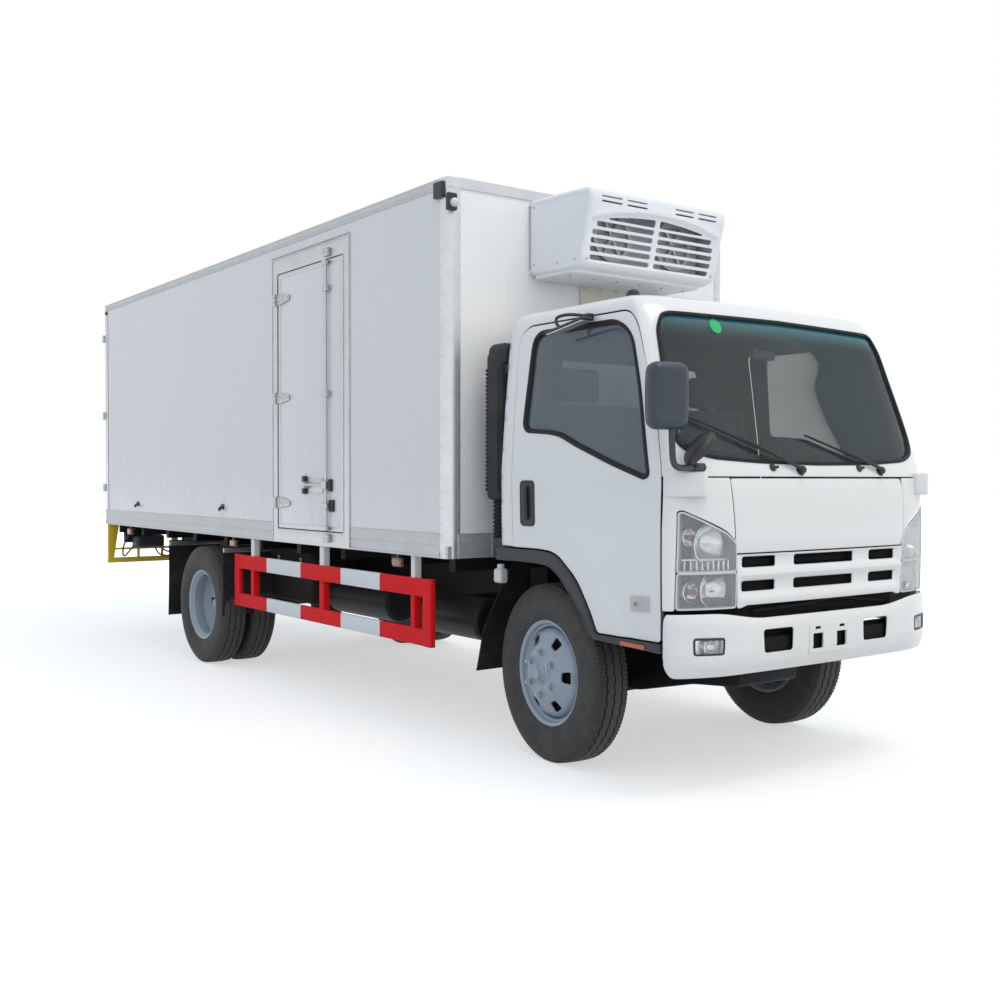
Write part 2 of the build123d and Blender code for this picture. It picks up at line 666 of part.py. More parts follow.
arm += rod_z(arm_radius, arm_x, arm_y, arm_z, head_low + head_depth / 2)
foot = block(foot_x[0], foot_x[1], foot_y[0], foot_y[1], step_top + seat_gap, arm_z + arm_radius + arm_lift)
dish_body = extrude(Ellipse(dish_half_length, dish_half_width), dish_depth / 2, both=True)
dish = Pos(dish_x, arm_y, dish_z) * Rot(0, -dish_lean, 0) * dish_body
dish_post = rod_z(arm_radius / 2, dish_x, arm_y, arm_z, dish_z)
cab_outside = cab_skin(-seat_gap, -seat_gap)
parts["mirrors"] = fuse([head, arm, foot, dish, dish_post]) - cab_outside

# air intake behind the cab, carried on its back wall
stack_x = (-930, -800)
stack_y = (425, 560)
stack_body = fillet(block(stack_x[0], stack_x[1], stack_y[0], stack_y[1], 1365, 2230).edges(), 25)
stack_legs = [block(-900, -840, 366, stack_y[0] + 10, z, z + 60) for z in (1500, 2050)]
bellows = rod_z(52, -860, 490, 1150, 1370)
parts["intake_stack"] = fuse([stack_body, bellows] + stack_legs) - cab_outside

# ---- insulated box ------------------------------------------------------------------------
inside_x = box_half_width - box_wall
floor_top = box_bottom_z + box_wall
ceiling_z = box_top_z - box_wall
front_inside_y = box_front_y + box_wall
rear_inside_y = box_rear_y - box_wall
# The floor's inner field stands up between the walls, which sit on the rebate round it.
wall_foot = floor_top - 10
floor_plate = block(-box_half_width, box_half_width, box_front_y, box_rear_y, box_bottom_z, wall_foot)
floor_field = block(-inside_x + seat_gap, inside_x - seat_gap, front_inside_y + seat_gap,
                    rear_inside_y - seat_gap,
                    wall_foot, floor_top)
parts["box_floor"] = floor_plate + floor_field
parts["box_roof"] = fillet(block(-box_half_width, box_half_width, box_front_y, box_rear_y, ceiling_z,
                                 box_top_z)
                           .edges().filter_by(Axis.Z), 45)
front_wall = block(-box_half_width, box_half_width, box_front_y, front_inside_y, wall_foot, ceiling_z)
corner_edges = front_wall.edges().filter_by(Axis.Z).filter_by(lambda e: e.center().Y < box_front_y + 1)
parts["box_front_wall"] = fillet(corner_edges, 45)

side_door_y = (1880, 2820)
side_door_sill = 103
side_door_head = 252
side_door_z = (box_bottom_z + side_door_sill, box_top_z - side_door_head)
right_wall = block(-box_half_width, -inside_x, front_inside_y, rear_inside_y, wall_foot, ceiling_z)
left_wall = other_side(right_wall)
doorway = block(-box_half_width - 1, -inside_x + 1, side_door_y[0] - door_gap, side_door_y[1] + door_gap,
                side_door_z[0] - door_gap, side_door_z[1] + door_gap)
parts["box_right_wall"] = right_wall - doorway
parts["box_left_wall"] = left_wall

rail_proud = 4
rails = []
for low_z, high_z in ((box_bottom_z, box_bottom_z + box_skirt_height),
                      (box_top_z - box_rail_height, box_top_z)):
    rails.append(block(-box_half_width - rail_proud, -box_half_width, box_front_y + box_post_width,
                       box_rear_y,
                       low_z, high_z))
surround = 92
rails[0] -= block(-1200, -1000, side_door_y[0] - surround, side_door_y[1] + surround, 1000, 1300)
left_rails = [block(box_half_width, box_half_width + rail_proud, box_front_y + box_post_width, box_rear_y,
                    low, high)
              for low, high in ((box_bottom_z, box_bottom_z + box_skirt_height),
                                (box_top_z - box_rail_height, box_top_z))]
parts["box_rails"] = Compound(children=[solid for one in rails + left_rails for solid in one.solids()])

rear_post = 70
rear_ring = block(-box_half_width, box_half_width, rear_inside_y, box_rear_y, wall_foot, ceiling_z)
rear_opening = block(-box_half_width + rear_post, box_half_width - rear_post, rear_inside_y - 1,
                     box_rear_y + 1,
                     floor_top + 20, ceiling_z - 20)
parts["rear_frame"] = rear_ring - rear_opening

hinge_out = 15
rear_axis_x = box_half_width + hinge_out
rear_axis_y = box_rear_y + hinge_out
box_middle_z = (box_bottom_z + box_top_z) / 2
strap_heights = (box_bottom_z + 320, box_middle_z - 45, box_top_z - 360)
keeper_heights = (box_bottom_z + 270, box_middle_z - 95, box_top_z - 460)
door_edge_x = box_half_width - rear_post - running_gap
rear_leaf = block(-door_edge_x, -running_gap / 2, rear_inside_y, box_rear_y, floor_top + 20 + running_gap,
                  ceiling_z - 20 - running_gap)
for height in strap_heights:
    rear_leaf += block(-rear_axis_x, -door_edge_x + 160, box_rear_y, box_rear_y + 10, height, height + 70)
    rear_leaf += rod_z(9, -rear_axis_x, rear_axis_y, height, height + 70)
lock_radius = 13
for lock_x in (-190, -620):
    rear_leaf += rod_z(lock_radius, lock_x, box_rear_y + 26, floor_top + 40, ceiling_z - 40)
    for height in keeper_heights:
        rear_leaf += block(lock_x - 40, lock_x + 40, box_rear_y, box_rear_y + lock_rod_reach, height,
                           height + 50)
parts["rear_door_right"] = rear_leaf
parts["rear_door_left"] = other_side(rear_leaf)

side_axis_x = -box_half_width - 18
side_axis_y = side_door_y[1] + 30
leaf = block(-box_half_width, -inside_x, side_door_y[0], side_door_y[1], side_door_z[0], side_door_z[1])
side_middle_z = sum(side_door_z) / 2
for height in (side_door_z[0] + 175, side_middle_z + 22.5, side_door_z[1] - 173):
    leaf += block(-box_half_width - 10, -box_half_width, side_door_y[1] - 190, side_axis_y, height - 34,
                  height + 34)
    leaf += rod_z(10, side_axis_x, side_axis_y, height - 34, height + 34)
lock_bar_y = 2075
leaf += rod_z(14, -box_half_width - 24, lock_bar_y, side_door_z[0] + 20, side_door_z[1] - 20)
for height in (side_door_z[0] + 167, side_middle_z + 11.5, side_door_z[1] - 128):
    leaf += block(-box_half_width - 38, -box_half_width, lock_bar_y - 32, lock_bar_y + 32, height - 25,
                  height + 25)
parts["side_door"] = leaf

# runners along the frame, and the bearers across them that carry the floor
runner_width = 70
runner_top = 950
runner = block(-frame_half_width, -frame_half_width + runner_width, box_front_y + 20, frame_rear_y,
               frame_top_z, runner_top)
parts["subframe"] = both_sides(runner)
bearer_count = 10
bearer_width = 60
bearer_reach = box_half_width - 90
bearer_first_y = box_front_y + 60
bearer_step = (box_rear_y - box_front_y - 220) / (bearer_count - 1)
bearers = []
for index in range(bearer_count):
    bearer_y = bearer_first_y + index * bearer_step
    bearers.append(block(-bearer_reach, bearer_reach, bearer_y, bearer_y + bearer_width, runner_top,
                         box_bottom_z))
parts["box_bearers"] = Compound(children=[solid for one in bearers for solid in one.solids()])

# ---- cooling unit -------------------------------------------------------------------------
unit_half = 533
unit_low = box_top_z - 508
unit_outline = [(box_front_y - seat_gap, unit_low + 20), (box_front_y - seat_gap, unit_low + 446),
                (160, unit_low + 432), (124, unit_low + 398), (218, unit_low + 10), (250, unit_low)]
unit_body = prism_x(unit_outline, -unit_half, unit_half)
unit_wall = 24
unit_hollow = [(box_front_y - unit_wall, unit_low + 46), (box_front_y - unit_wall, unit_low + 418),
               (172, unit_low + 406), (152, unit_low + 392), (240, unit_low + 40)]
unit_inside = prism_x(unit_hollow, -unit_half + unit_wall, unit_half - unit_wall)
unit = unit_body - unit_inside
slot_height = 26
for row in range(6):
    slot_z = unit_low + 60 + row * 50
    for low_x, high_x in ((-450, -30), (30, 450)):
        unit -= block(low_x, high_x, 60, 300, slot_z, slot_z + slot_height) & unit_body
parts["refrigeration_unit"] = unit
parts["unit_coil"] = block(-unit_half + unit_wall + 40, unit_half - unit_wall - 40, 330, 420,
                           unit_low + 42.9, unit_low + 388)

# ---- side guards, rear underrun and tail lamps --------------------------------------------
guard_y = (857, wheelbase - 560)
guard_middle_y = sum(guard_y) / 2
guard_z = (512, 900)
guard_x = (-1095, -1065)
top_rail = 104
low_rail = 96
guard = [block(guard_x[0], guard_x[1], guard_y[0], guard_y[1], guard_z[1] - top_rail, guard_z[1]),
         block(guard_x[0], guard_x[1], guard_y[0], guard_y[1], guard_z[0], guard_z[0] + low_rail)]
guard_end = 88
guard_uprights = [(guard_y[0], guard_y[0] + guard_end), (guard_y[0] + 213, guard_y[0] + 245),
                  (guard_middle_y - 21, guard_middle_y + 14), (guard_y[1] - 325, guard_y[1] - 285),
                  (guard_y[1] - guard_end, guard_y[1])]
guard_hangers = [(guard_y[0] + 125, guard_y[0] + 223), (guard_middle_y - 126, guard_middle_y - 6),
                 (guard_y[1] - 315, guard_y[1] - 265)]
hanger_depth = 50
for low_y, high_y in guard_uprights:
    guard.append(block(guard_x[0], guard_x[1], low_y, high_y, guard_z[0], guard_z[1]))
for low_y, high_y in guard_hangers:
    guard.append(block(guard_x[1], guard_x[1] + hanger_depth, low_y, high_y, guard_z[0] + 10, box_bottom_z))
parts["side_guard_right"] = fuse(guard)
parts["side_guard_left"] = other_side(parts["side_guard_right"])

under_y = (6630, 6670)
post_outline = [(-1100, box_bottom_z), (-994, box_bottom_z), (-1049, 650), (-1103, 650)]
outer_post = prism_y(post_outline, under_y[0], under_y[1])
inner_post = block(-461, -401, under_y[0], under_y[1], 650, box_bottom_z)
cross_bar = block(-1103, 1103, under_y[0], under_y[1], 650, 700)
parts["rear_underrun"] = fuse([cross_bar, outer_post, other_side(outer_post), inner_post,
                               other_side(inner_post)])

lamp_front_y = bearer_first_y + (bearer_count - 1) * bearer_step + bearer_width + 3
lamp_box = block(-950, -660, lamp_front_y, lamp_front_y + 60, 850, 980)
lamp_bracket = block(-850, -760, lamp_front_y, lamp_front_y + 10, 980, box_bottom_z)
parts["tail_lamps"] = both_sides(lamp_box + lamp_bracket)

os.makedirs("parts", exist_ok=True)
for name, shape in parts.items():
    export_step(Pos(0, -y_middle, 0) * shape, f"parts/{name}.step")
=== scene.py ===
"""Looks of a light refrigerated truck, laid out as a Blender add-on and run as a script.

Metres. +Z is up, the truck faces -Y and -X is its right-hand side. Shapes are worked out with y
measured from the front axle, and are moved into the frame's own place when a mesh is made.
"""

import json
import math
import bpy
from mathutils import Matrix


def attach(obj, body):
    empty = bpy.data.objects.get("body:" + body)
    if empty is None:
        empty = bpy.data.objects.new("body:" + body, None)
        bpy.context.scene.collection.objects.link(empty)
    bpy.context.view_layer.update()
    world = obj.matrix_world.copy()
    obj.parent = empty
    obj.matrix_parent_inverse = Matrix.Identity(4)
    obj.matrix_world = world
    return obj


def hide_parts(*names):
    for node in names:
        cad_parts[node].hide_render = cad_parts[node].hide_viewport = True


bl_info = {
    "name": "Refrigerated truck looks",
    "version": (1, 0, 0),
    "blender": (4, 5, 0),
    "location": "View3D > Sidebar > Truck",
    "description": "Builds the visible surfaces of a light refrigerated truck round its CAD frame",
    "category": "Object",
}

import bmesh
import bpy
import numpy as np
from mathutils import Euler, Matrix, Vector
from mathutils.geometry import delaunay_2d_cdt

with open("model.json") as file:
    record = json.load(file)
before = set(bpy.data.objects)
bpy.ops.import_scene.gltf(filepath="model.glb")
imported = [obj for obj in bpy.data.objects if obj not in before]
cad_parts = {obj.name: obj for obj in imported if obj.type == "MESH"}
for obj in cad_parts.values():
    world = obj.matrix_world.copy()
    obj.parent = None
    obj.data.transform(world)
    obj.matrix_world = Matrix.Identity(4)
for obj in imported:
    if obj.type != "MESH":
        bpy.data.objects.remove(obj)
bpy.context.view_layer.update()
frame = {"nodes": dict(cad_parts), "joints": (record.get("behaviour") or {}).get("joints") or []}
JOINT_AT = {joint["name"]: joint["pos_m"] for joint in frame["joints"]}
AXLE_Y = JOINT_AT["steer_right"][1]
SIDES = (("right", -1), ("left", 1))

# ---- numpy kit ---------------------------------------------------------------------------


def vec(*numbers):
    """One point or direction as an array."""
    return np.array(numbers, float)


def smooth_table(knots, values, at):
    """Monotone cubic interpolation: slopes are harmonic means of the neighbouring chords, so it
    never overshoots.
    """
    knots, values = np.asarray(knots, float), np.asarray(values, float)
    at = np.clip(at, knots[0], knots[-1])
    step = np.diff(knots)
    chord = np.diff(values) / step
    slope = np.zeros_like(values)
    same = chord[:-1] * chord[1:] > 0
    ahead, behind = 2 * step[1:] + step[:-1], step[1:] + 2 * step[:-1]
    with np.errstate(divide="ignore", invalid="ignore"):
        mean = (ahead + behind) / (ahead / chord[:-1] + behind / chord[1:])
    slope[1:-1] = np.where(same, mean, 0)
    slope[0], slope[-1] = chord[0], chord[-1]
    index = np.clip(np.searchsorted(knots, at, side="right") - 1, 0, len(step) - 1)
    t = (at - knots[index]) / step[index]
    width = step[index]
    low, high = values[index], values[index + 1]
    return (
        low * (1 + 2 * t) * (1 - t) ** 2
        + slope[index] * width * t * (1 - t) ** 2
        + high * t * t * (3 - 2 * t)
        + slope[index + 1] * width * t * t * (t - 1)
    )


def full_turn(count):
    """Evenly spaced angles of one turn, without the last, which is the first again."""
    return np.linspace(0, 2 * math.pi, count, endpoint=False)


def circle(radius, count):
    """Points of a flat circle about the origin."""
    turn = full_turn(count)
    return radius * np.column_stack([np.cos(turn), np.sin(turn)])


def unit(rows):
    """Rows scaled to length one."""
    return rows / np.maximum(np.linalg.norm(rows, axis=-1, keepdims=True), 1e-12)


def rounded(corners, radius, arc=6):
    """A closed outline whose corners are cut by quadratic arcs: each starts and ends one radius
    from its corner.
    """
    corners = np.asarray(corners, float)
    before, after = np.roll(corners, 1, axis=0), np.roll(corners, -1, axis=0)
    reach = np.broadcast_to(np.asarray(radius, float), (len(corners),))
    room_in = np.linalg.norm(before - corners, axis=1)
    room_out = np.linalg.norm(after - corners, axis=1)
    reach = np.minimum(reach, 0.48 * np.minimum(room_in, room_out))[:, None]
    start = corners + unit(before - corners) * reach
    end = corners + unit(after - corners) * reach
    t = np.linspace(0, 1, arc)[None, :, None]
    points = (
        (1 - t) ** 2 * start[:, None] + 2 * t * (1 - t) * corners[:, None] + t * t * end[:, None])
    return points.reshape(-1, corners.shape[1])


def resample(outline, spacing, closed=True):
    """Points about one spacing apart along an outline; every given point further off than that is
    kept.
    """
    outline = np.asarray(outline, float)
    ends = np.vstack([outline, outline[:1]]) if closed else outline
    lengths = np.linalg.norm(np.diff(ends, axis=0), axis=1)
    keep = lengths > 1e-6
    starts, stops, lengths = ends[:-1][keep], ends[1:][keep], lengths[keep]
    counts = np.maximum(1, np.round(lengths / spacing).astype(int))
    owner = np.repeat(np.arange(len(counts)), counts)
    within = np.arange(len(owner)) - np.repeat(np.cumsum(counts) - counts, counts)
    share = (within / counts[owner])[:, None]
    points = starts[owner] * (1 - share) + stops[owner] * share
    return points if closed else np.vstack([points, outline[-1:]])


def smooth_loop(corners, radius, spacing):
    """A closed outline with its corners rounded, as points about one spacing apart."""
    return resample(rounded(corners, radius), spacing)


def area_of(outline):
    """Signed area by the shoelace rule."""
    x, y = outline[:, 0], outline[:, 1]
    return 0.5 * np.sum(x * np.roll(y, -1) - y * np.roll(x, -1))


def inward(outline):
    """Unit normals of a flat closed outline that point inside, from the mean of both edges."""
    ahead = unit(np.roll(outline, -1, axis=0) - outline)
    behind = unit(outline - np.roll(outline, 1, axis=0))
    along = ahead + behind
    turn = np.column_stack([-along[:, 1], along[:, 0]])
    return unit(turn) * np.sign(area_of(outline))


def inside(points, outline):
    """Even and odd rule for many points at once."""
    x, y = points[:, 0][:, None], points[:, 1][:, None]
    x0, y0 = outline[:, 0][None], outline[:, 1][None]
    x1, y1 = np.roll(outline[:, 0], -1)[None], np.roll(outline[:, 1], -1)[None]
    crosses = (y0 > y) != (y1 > y)
    with np.errstate(divide="ignore", invalid="ignore"):
        at = x0 + (y - y0) * (x1 - x0) / (y1 - y0)
    return (np.sum(crosses & (x < at), axis=1) % 2) == 1


def distance_to(points, outline):
    """Distance of each point to the nearest outline vertex."""
    best = np.full(len(points), 1e9)
    for part in np.array_split(outline, max(1, len(outline) // 200)):
        apart = np.linalg.norm(points[:, None] - part[None], axis=2)
        best = np.minimum(best, apart.min(axis=1))
    return best


def grid_quads(rows, columns, close_rows, close_columns):
    """Corner numbers of the quads of a rows by columns grid, which may join up either way."""
    r = np.arange(rows if close_rows else rows - 1)
    c = np.arange(columns if close_columns else columns - 1)
    r, c = np.meshgrid(r, c, indexing="ij")
    r2, c2 = (r + 1) % rows, (c + 1) % columns
    quads = np.stack(
        [r * columns + c, r * columns + c2, r2 * columns + c2, r2 * columns + c], axis=-1)
    return quads.reshape(-1, 4)


class Shape:
    """Patches of one piece. Each patch has its own finish; all of them become one mesh."""

    def __init__(self):
        self.points, self.corners, self.sizes, self.finish = [], [], [], []
        self.count = 0

    def add(self, points, faces, finish=0):
        """Points and an array of faces with the same number of corners each."""
        faces = np.asarray(faces, int)
        self.points.append(np.asarray(points, float).reshape(-1, 3))
        self.corners.append((faces + self.count).ravel())
        self.sizes.append(np.full(len(faces), faces.shape[1]))
        self.finish.append(np.full(len(faces), finish))
        self.count += len(self.points[-1])
        return self

    def grid(self, points, finish=0, close_rows=False, close_columns=False):
        """A grid of points, rows by columns by three."""
        rows, columns = points.shape[:2]
        return self.add(points, grid_quads(rows, columns, close_rows, close_columns), finish)

    def tube(self, points, finish=0):
        """A grid whose columns join up, closed by a fan at each end."""
        self.grid(points, finish, close_columns=True)
        for ring in (points[0], points[-1]):
            count = len(ring)
            fan = np.stack(
                [np.arange(count), (np.arange(count) + 1) % count, np.full(count, count)], axis=1)
            self.add(np.vstack([ring, ring.mean(axis=0)]), fan, finish)
        return self

    def join(self, other, shift=0):
        """Takes over the patches of another shape; shift is added to their finish numbers."""
        for points, corners, sizes, finish in zip(
                other.points, other.corners, other.sizes, other.finish):
            self.points.append(points)
            self.corners.append(corners + self.count)
            self.sizes.append(sizes)
            self.finish.append(finish + shift)
        self.count += other.count
        return self

    def moved(self, change):
        """The same shape with its points put through a function."""
        other = Shape()
        other.points = [change(points) for points in self.points]
        other.corners, other.sizes, other.finish = (
            list(self.corners), list(self.sizes), list(self.finish))
        other.count = self.count
        return other

    def mirrored(self):
        """The same shape on the other side of the truck."""
        return self.moved(lambda points: points * vec(-1, 1, 1))

    def on(self, sign):
        """The shape as built for the left (+X), put on the side that sign names."""
        return self if sign > 0 else self.mirrored()

    def both(self):
        """The shape and its mirror image together."""
        return Shape().join(self).join(self.mirrored())

    def piece(self, name, body, slot, finishes, replaces=(), sharp=32, weld=2e-5):
        """Makes the mesh in the frame's place, welds it, turns its faces out and lets it ride."""
        mesh = bpy.data.meshes.new(name)
        points = np.vstack(self.points) + vec(0, AXLE_Y, 0)
        corners = np.concatenate(self.corners)
        sizes = np.concatenate(self.sizes)
        mesh.vertices.add(len(points))
        mesh.vertices.foreach_set("co", points.astype(np.float32).ravel())
        mesh.loops.add(len(corners))
        mesh.loops.foreach_set("vertex_index", corners.astype(np.int32))
        mesh.polygons.add(len(sizes))
        mesh.polygons.foreach_set("loop_start", (np.cumsum(sizes) - sizes).astype(np.int32))
        mesh.polygons.foreach_set("loop_total", sizes.astype(np.int32))
        mesh.polygons.foreach_set("material_index", np.concatenate(self.finish).astype(np.int32))
        mesh.polygons.foreach_set("use_smooth", np.ones(len(sizes), bool))
        mesh.update(calc_edges=True)
        work = bmesh.new()
        work.from_mesh(mesh)
        bmesh.ops.remove_doubles(work, verts=work.verts, dist=weld)
        bmesh.ops.dissolve_degenerate(work, edges=work.edges, dist=1e-6)
        bmesh.ops.recalc_face_normals(work, faces=work.faces)
        work.to_mesh(mesh)
        work.free()
        mesh.validate()
        mesh.set_sharp_from_angle(angle=math.radians(sharp))
        for finish in finishes:
            mesh.materials.append(FINISH[finish])
        thing = bpy.data.objects.new(name, mesh)
        bpy.context.scene.collection.objects.link(thing)
        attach(thing, body)
        if replaces:
            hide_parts(*replaces)
        return thing


def frames_along(path):
    """Two unit side vectors for each point of a path: the second is square to the path and to a
    fixed upright.
    """
    along = unit(np.gradient(path, axis=0))
    upright = np.tile(vec(0, 0, 1), (len(path), 1))
    steep = np.abs(along[:, 2]) > 0.92
    upright[steep] = vec(0, 1, 0)
    if steep.any() and not steep.all():
        upright[:] = unit(np.cross(path[-1] - path[0], vec(0.31, 0.52, 0.17)))
    first = unit(np.cross(upright, along))
    return first, unit(np.cross(along, first))


def rings_about(first, second, turn):
    """A unit circle for each pair of side vectors: first cos a + second sin a."""
    cos, sin = np.cos(turn)[None, :, None], np.sin(turn)[None, :, None]
    return cos * first[:, None] + sin * second[:, None]


def curved(points, count=24):
    """A smooth open path through a few points (Catmull-Rom)."""
    points = np.asarray(points, float)
    whole = np.vstack([2 * points[0] - points[1], points, 2 * points[-1] - points[-2]])
    at = np.linspace(0, len(points) - 1 - 1e-9, count)
    index, t = at.astype(int), (at % 1)[:, None]
    a, b, c, d = (whole[index + k] for k in range(4))
    return 0.5 * (
        2 * b + (c - a) * t + (2 * a - 5 * b + 4 * c - d) * t**2 + (3 * b - a - 3 * c + d) * t**3)


def bar(path, radius, around=14, finish=0, soften=0.25):
    """A round bar: a circle carried along a path, its radius drawn in over the last bit at both
    ends.
    """
    path = np.asarray(path, float)
    cut = radius * soften if np.isscalar(radius) else radius[0] * soften
    start = path[0] + unit(path[1] - path[0]) * cut
    stop = path[-1] - unit(path[-1] - path[-2]) * cut
    middle = np.vstack([path[:1], start, path[1:-1], stop, path[-1:]])
    size = np.broadcast_to(np.asarray(radius, float), (len(path),)).astype(float)
    size = np.concatenate(
        [size[:1] * (1 - soften), size[:1], size[1:-1], size[-1:], size[-1:] * (1 - soften)])
    first, second = frames_along(middle)
    turn = full_turn(around)
    ring = rings_about(first, second, turn)
    return Shape().tube(middle[:, None] + ring * size[:, None, None], finish)


def turned(profile, centre, axis, around=48, finish=0, turns=None):
    """A turned part: (reach, radius) pairs swept about the axis through the centre."""
    profile = np.asarray(profile, float)
    axis = unit(vec(*axis))
    helper = vec(0, 0, 1) if abs(axis[2]) < 0.9 else vec(0, 1, 0)
    first = unit(np.cross(axis, helper))
    second = np.cross(axis, first)
    turn = full_turn(around) if turns is None else turns
    ring = np.cos(turn)[:, None] * first + np.sin(turn)[:, None] * second
    points = (
        vec(*centre) + profile[:, 0][:, None, None] * axis
        + profile[:, 1][:, None, None] * ring[None])
    return Shape().grid(points, finish, close_columns=True)


def slab(outline, low, high, place, edge=0.004, finish=0):
    """A plate: a flat outline carried from low to high, with rounded edges and flat faces.

    place(u, v, w) turns outline coordinates and height into points in space.
    """
    outline = np.asarray(outline, float)
    normal = inward(outline)
    bends = np.linspace(0, math.pi / 2, 4)
    insets = np.concatenate([edge * (1 - np.sin(bends)), edge * (1 - np.sin(bends[::-1]))])
    heights = np.concatenate(
        [low + edge * (1 - np.cos(bends)), high - edge * (1 - np.cos(bends[::-1]))])
    flat = outline[None] + normal[None] * insets[:, None, None]
    level = np.broadcast_to(heights[:, None], flat.shape[:2])
    shape = Shape().grid(place(flat[..., 0], flat[..., 1], level), finish, close_columns=True)
    for ring, height in ((flat[0], low), (flat[-1], high)):
        points, triangles = fill([ring], None)
        w = np.full(len(points), height)
        shape.add(place(points[:, 0], points[:, 1], w), triangles, finish)
    return shape


def to_side(u, v, w):
    """Places an outline of Y and Z; its thickness goes along X."""
    return np.stack([w, u, v], axis=-1)


def to_rear(u, v, w):
    """Places an outline of X and Z; its thickness goes back along Y."""
    return np.stack([u, w, v], axis=-1)


def to_front(u, v, w):
    """Places an outline of X and Z; its thickness goes forward along -Y."""
    return np.stack([u, -w, v], axis=-1)


def points_at(x, y, z):
    """Rows of points from three columns, of which any may be one number for all the rows."""
    return np.column_stack(np.broadcast_arrays(x, y, z))


def oblong(low_u, high_u, low_v, high_v, radius):
    """A rectangle's outline with rounded corners."""
    return rounded([(low_u, low_v), (high_u, low_v), (high_u, high_v), (low_u, high_v)], radius)


def fill(loops, spacing):
    """Triangles that fill the first loop less the others, with a grid of inner points where a
    spacing is given.
    """
    points = np.vstack(loops)
    edges, start = [], 0
    for loop in loops:
        index = np.arange(len(loop))
        edges.append(np.stack([index, (index + 1) % len(loop)], axis=1) + start)
        start += len(loop)
    if spacing:
        low, high = loops[0].min(axis=0), loops[0].max(axis=0)
        u = np.arange(low[0] + spacing / 2, high[0], spacing)
        v = np.arange(low[1] + spacing / 2, high[1], spacing)
        inner = np.stack(np.meshgrid(u, v, indexing="ij"), axis=-1).reshape(-1, 2)
        kept = inside(inner, loops[0])
        for loop in loops[1:]:
            kept &= ~inside(inner, loop)
        inner = inner[kept]
        inner = inner[distance_to(inner, points) > 0.55 * spacing]
        points = np.vstack([points, inner])
    made = delaunay_2d_cdt(
        [Vector(p) for p in points], np.vstack(edges).tolist(), [], 0, 1e-7, False)
    flat = np.array([tuple(p) for p in made[0]])
    triangles = np.array([face for face in made[2] if len(face) == 3])
    middle = flat[triangles].mean(axis=1)
    kept = inside(middle, loops[0])
    for loop in loops[1:]:
        kept &= ~inside(middle, loop)
    return flat, triangles[kept]


def sheet_panel(loops, surface, depth, edge=0.004, spacing=0.04, finish=0, top=0.0, back=None):
    """A closed pressed panel on a surface: outer skin, rounded rims and inner skin.

    surface(u, v, depth) gives the point that lies that far under the outer form. The first loop is
    the rim and the others are openings. The walls and the inner skin may have their own finish.
    """
    back = finish if back is None else back
    loops = [np.asarray(loop, float) for loop in loops]
    ways = [inward(loop) * (1 if number == 0 else -1) for number, loop in enumerate(loops)]
    shape = Shape()
    for deep, inset, coat in ((top, edge, finish), (depth, edge * 0.5, back)):
        flat, triangles = fill([loop + way * inset for loop, way in zip(loops, ways)], spacing)
        shape.add(surface(flat[:, 0], flat[:, 1], np.full(len(flat), deep)), triangles, coat)
    insets = np.array([edge, edge * 0.45, edge * 0.12, 0, 0, edge * 0.5])
    deeps = top + np.array(
        [0, edge * 0.12, edge * 0.45, edge, depth - top - edge * 0.5, depth - top])
    for loop, way in zip(loops, ways):
        flat = loop[None] + way[None] * insets[:, None, None]
        deep = np.broadcast_to(deeps[:, None], flat.shape[:2])
        wall = surface(flat[..., 0], flat[..., 1], deep)
        shape.grid(wall[:4], finish, close_columns=True)
        shape.grid(wall[3:], back, close_columns=True)
    return shape


def bead(loop, surface, half_width, out, sink, finish=0, around=10):
    """A rubber strip along an outline on a surface: a flattened round section that stands out a
    little.
    """
    loop = np.asarray(loop, float)
    way = inward(loop)
    turn = full_turn(around)
    across = half_width * np.sign(np.cos(turn)) * np.abs(np.cos(turn)) ** 0.6
    up = np.sin(turn)
    deep = np.where(up > 0, -out * up**0.8, -sink * up)
    flat = loop[:, None] + way[:, None] * across[None, :, None]
    deep = np.broadcast_to(deep[None], flat.shape[:2])
    return Shape().grid(
        surface(flat[..., 0], flat[..., 1], deep), finish, close_rows=True, close_columns=True)


def soft_box(low, high, radius, bulge=0.0, finish=0, turn=0.0, about=None, lean=0.0):
    """A box with rounded edges: level rings of a rounded rectangle, drawn in towards both ends.

    bulge swells the sides in the middle of their height; turn (about Z) and lean (about X) are
    in degrees.
    """
    low, high = vec(*low), vec(*high)
    size = (high - low) / 2
    radius = min(radius, 0.98 * size.min())
    bends = np.linspace(0, math.pi / 2, 5)
    insets = np.concatenate(
        [radius * (1 - np.sin(bends)), np.zeros(5), radius * (1 - np.sin(bends[::-1]))])
    levels = np.concatenate([-size[2] + radius * (1 - np.cos(bends)),
                             np.linspace(-size[2] + radius, size[2] - radius, 7)[1:-1],
                             size[2] - radius * (1 - np.cos(bends[::-1]))])
    swell = bulge * (1 - (levels / size[2]) ** 2)
    corner = radius + 0.25 * (size[:2].min() - radius)
    outline = oblong(-size[0], size[0], -size[1], size[1], corner)
    outline = resample(outline, max(size[:2].max() / 5, 0.01))
    way = inward(outline)
    flat = outline[None] + way[None] * (insets - swell)[:, None, None]
    points = np.concatenate(
        [flat, np.broadcast_to(levels[:, None, None], flat.shape[:2] + (1,))], axis=2)
    centre = (low + high) / 2 if about is None else vec(*about)
    a, b = math.radians(turn), math.radians(lean)
    spin = np.array([[math.cos(a), -math.sin(a), 0], [math.sin(a), math.cos(a), 0], [0, 0, 1]])
    tip = np.array([[1, 0, 0], [0, math.cos(b), -math.sin(b)], [0, math.sin(b), math.cos(b)]])
    points = points + (low + high) / 2 - centre
    points = points @ (spin @ tip).T + centre
    return Shape().tube(points, finish)


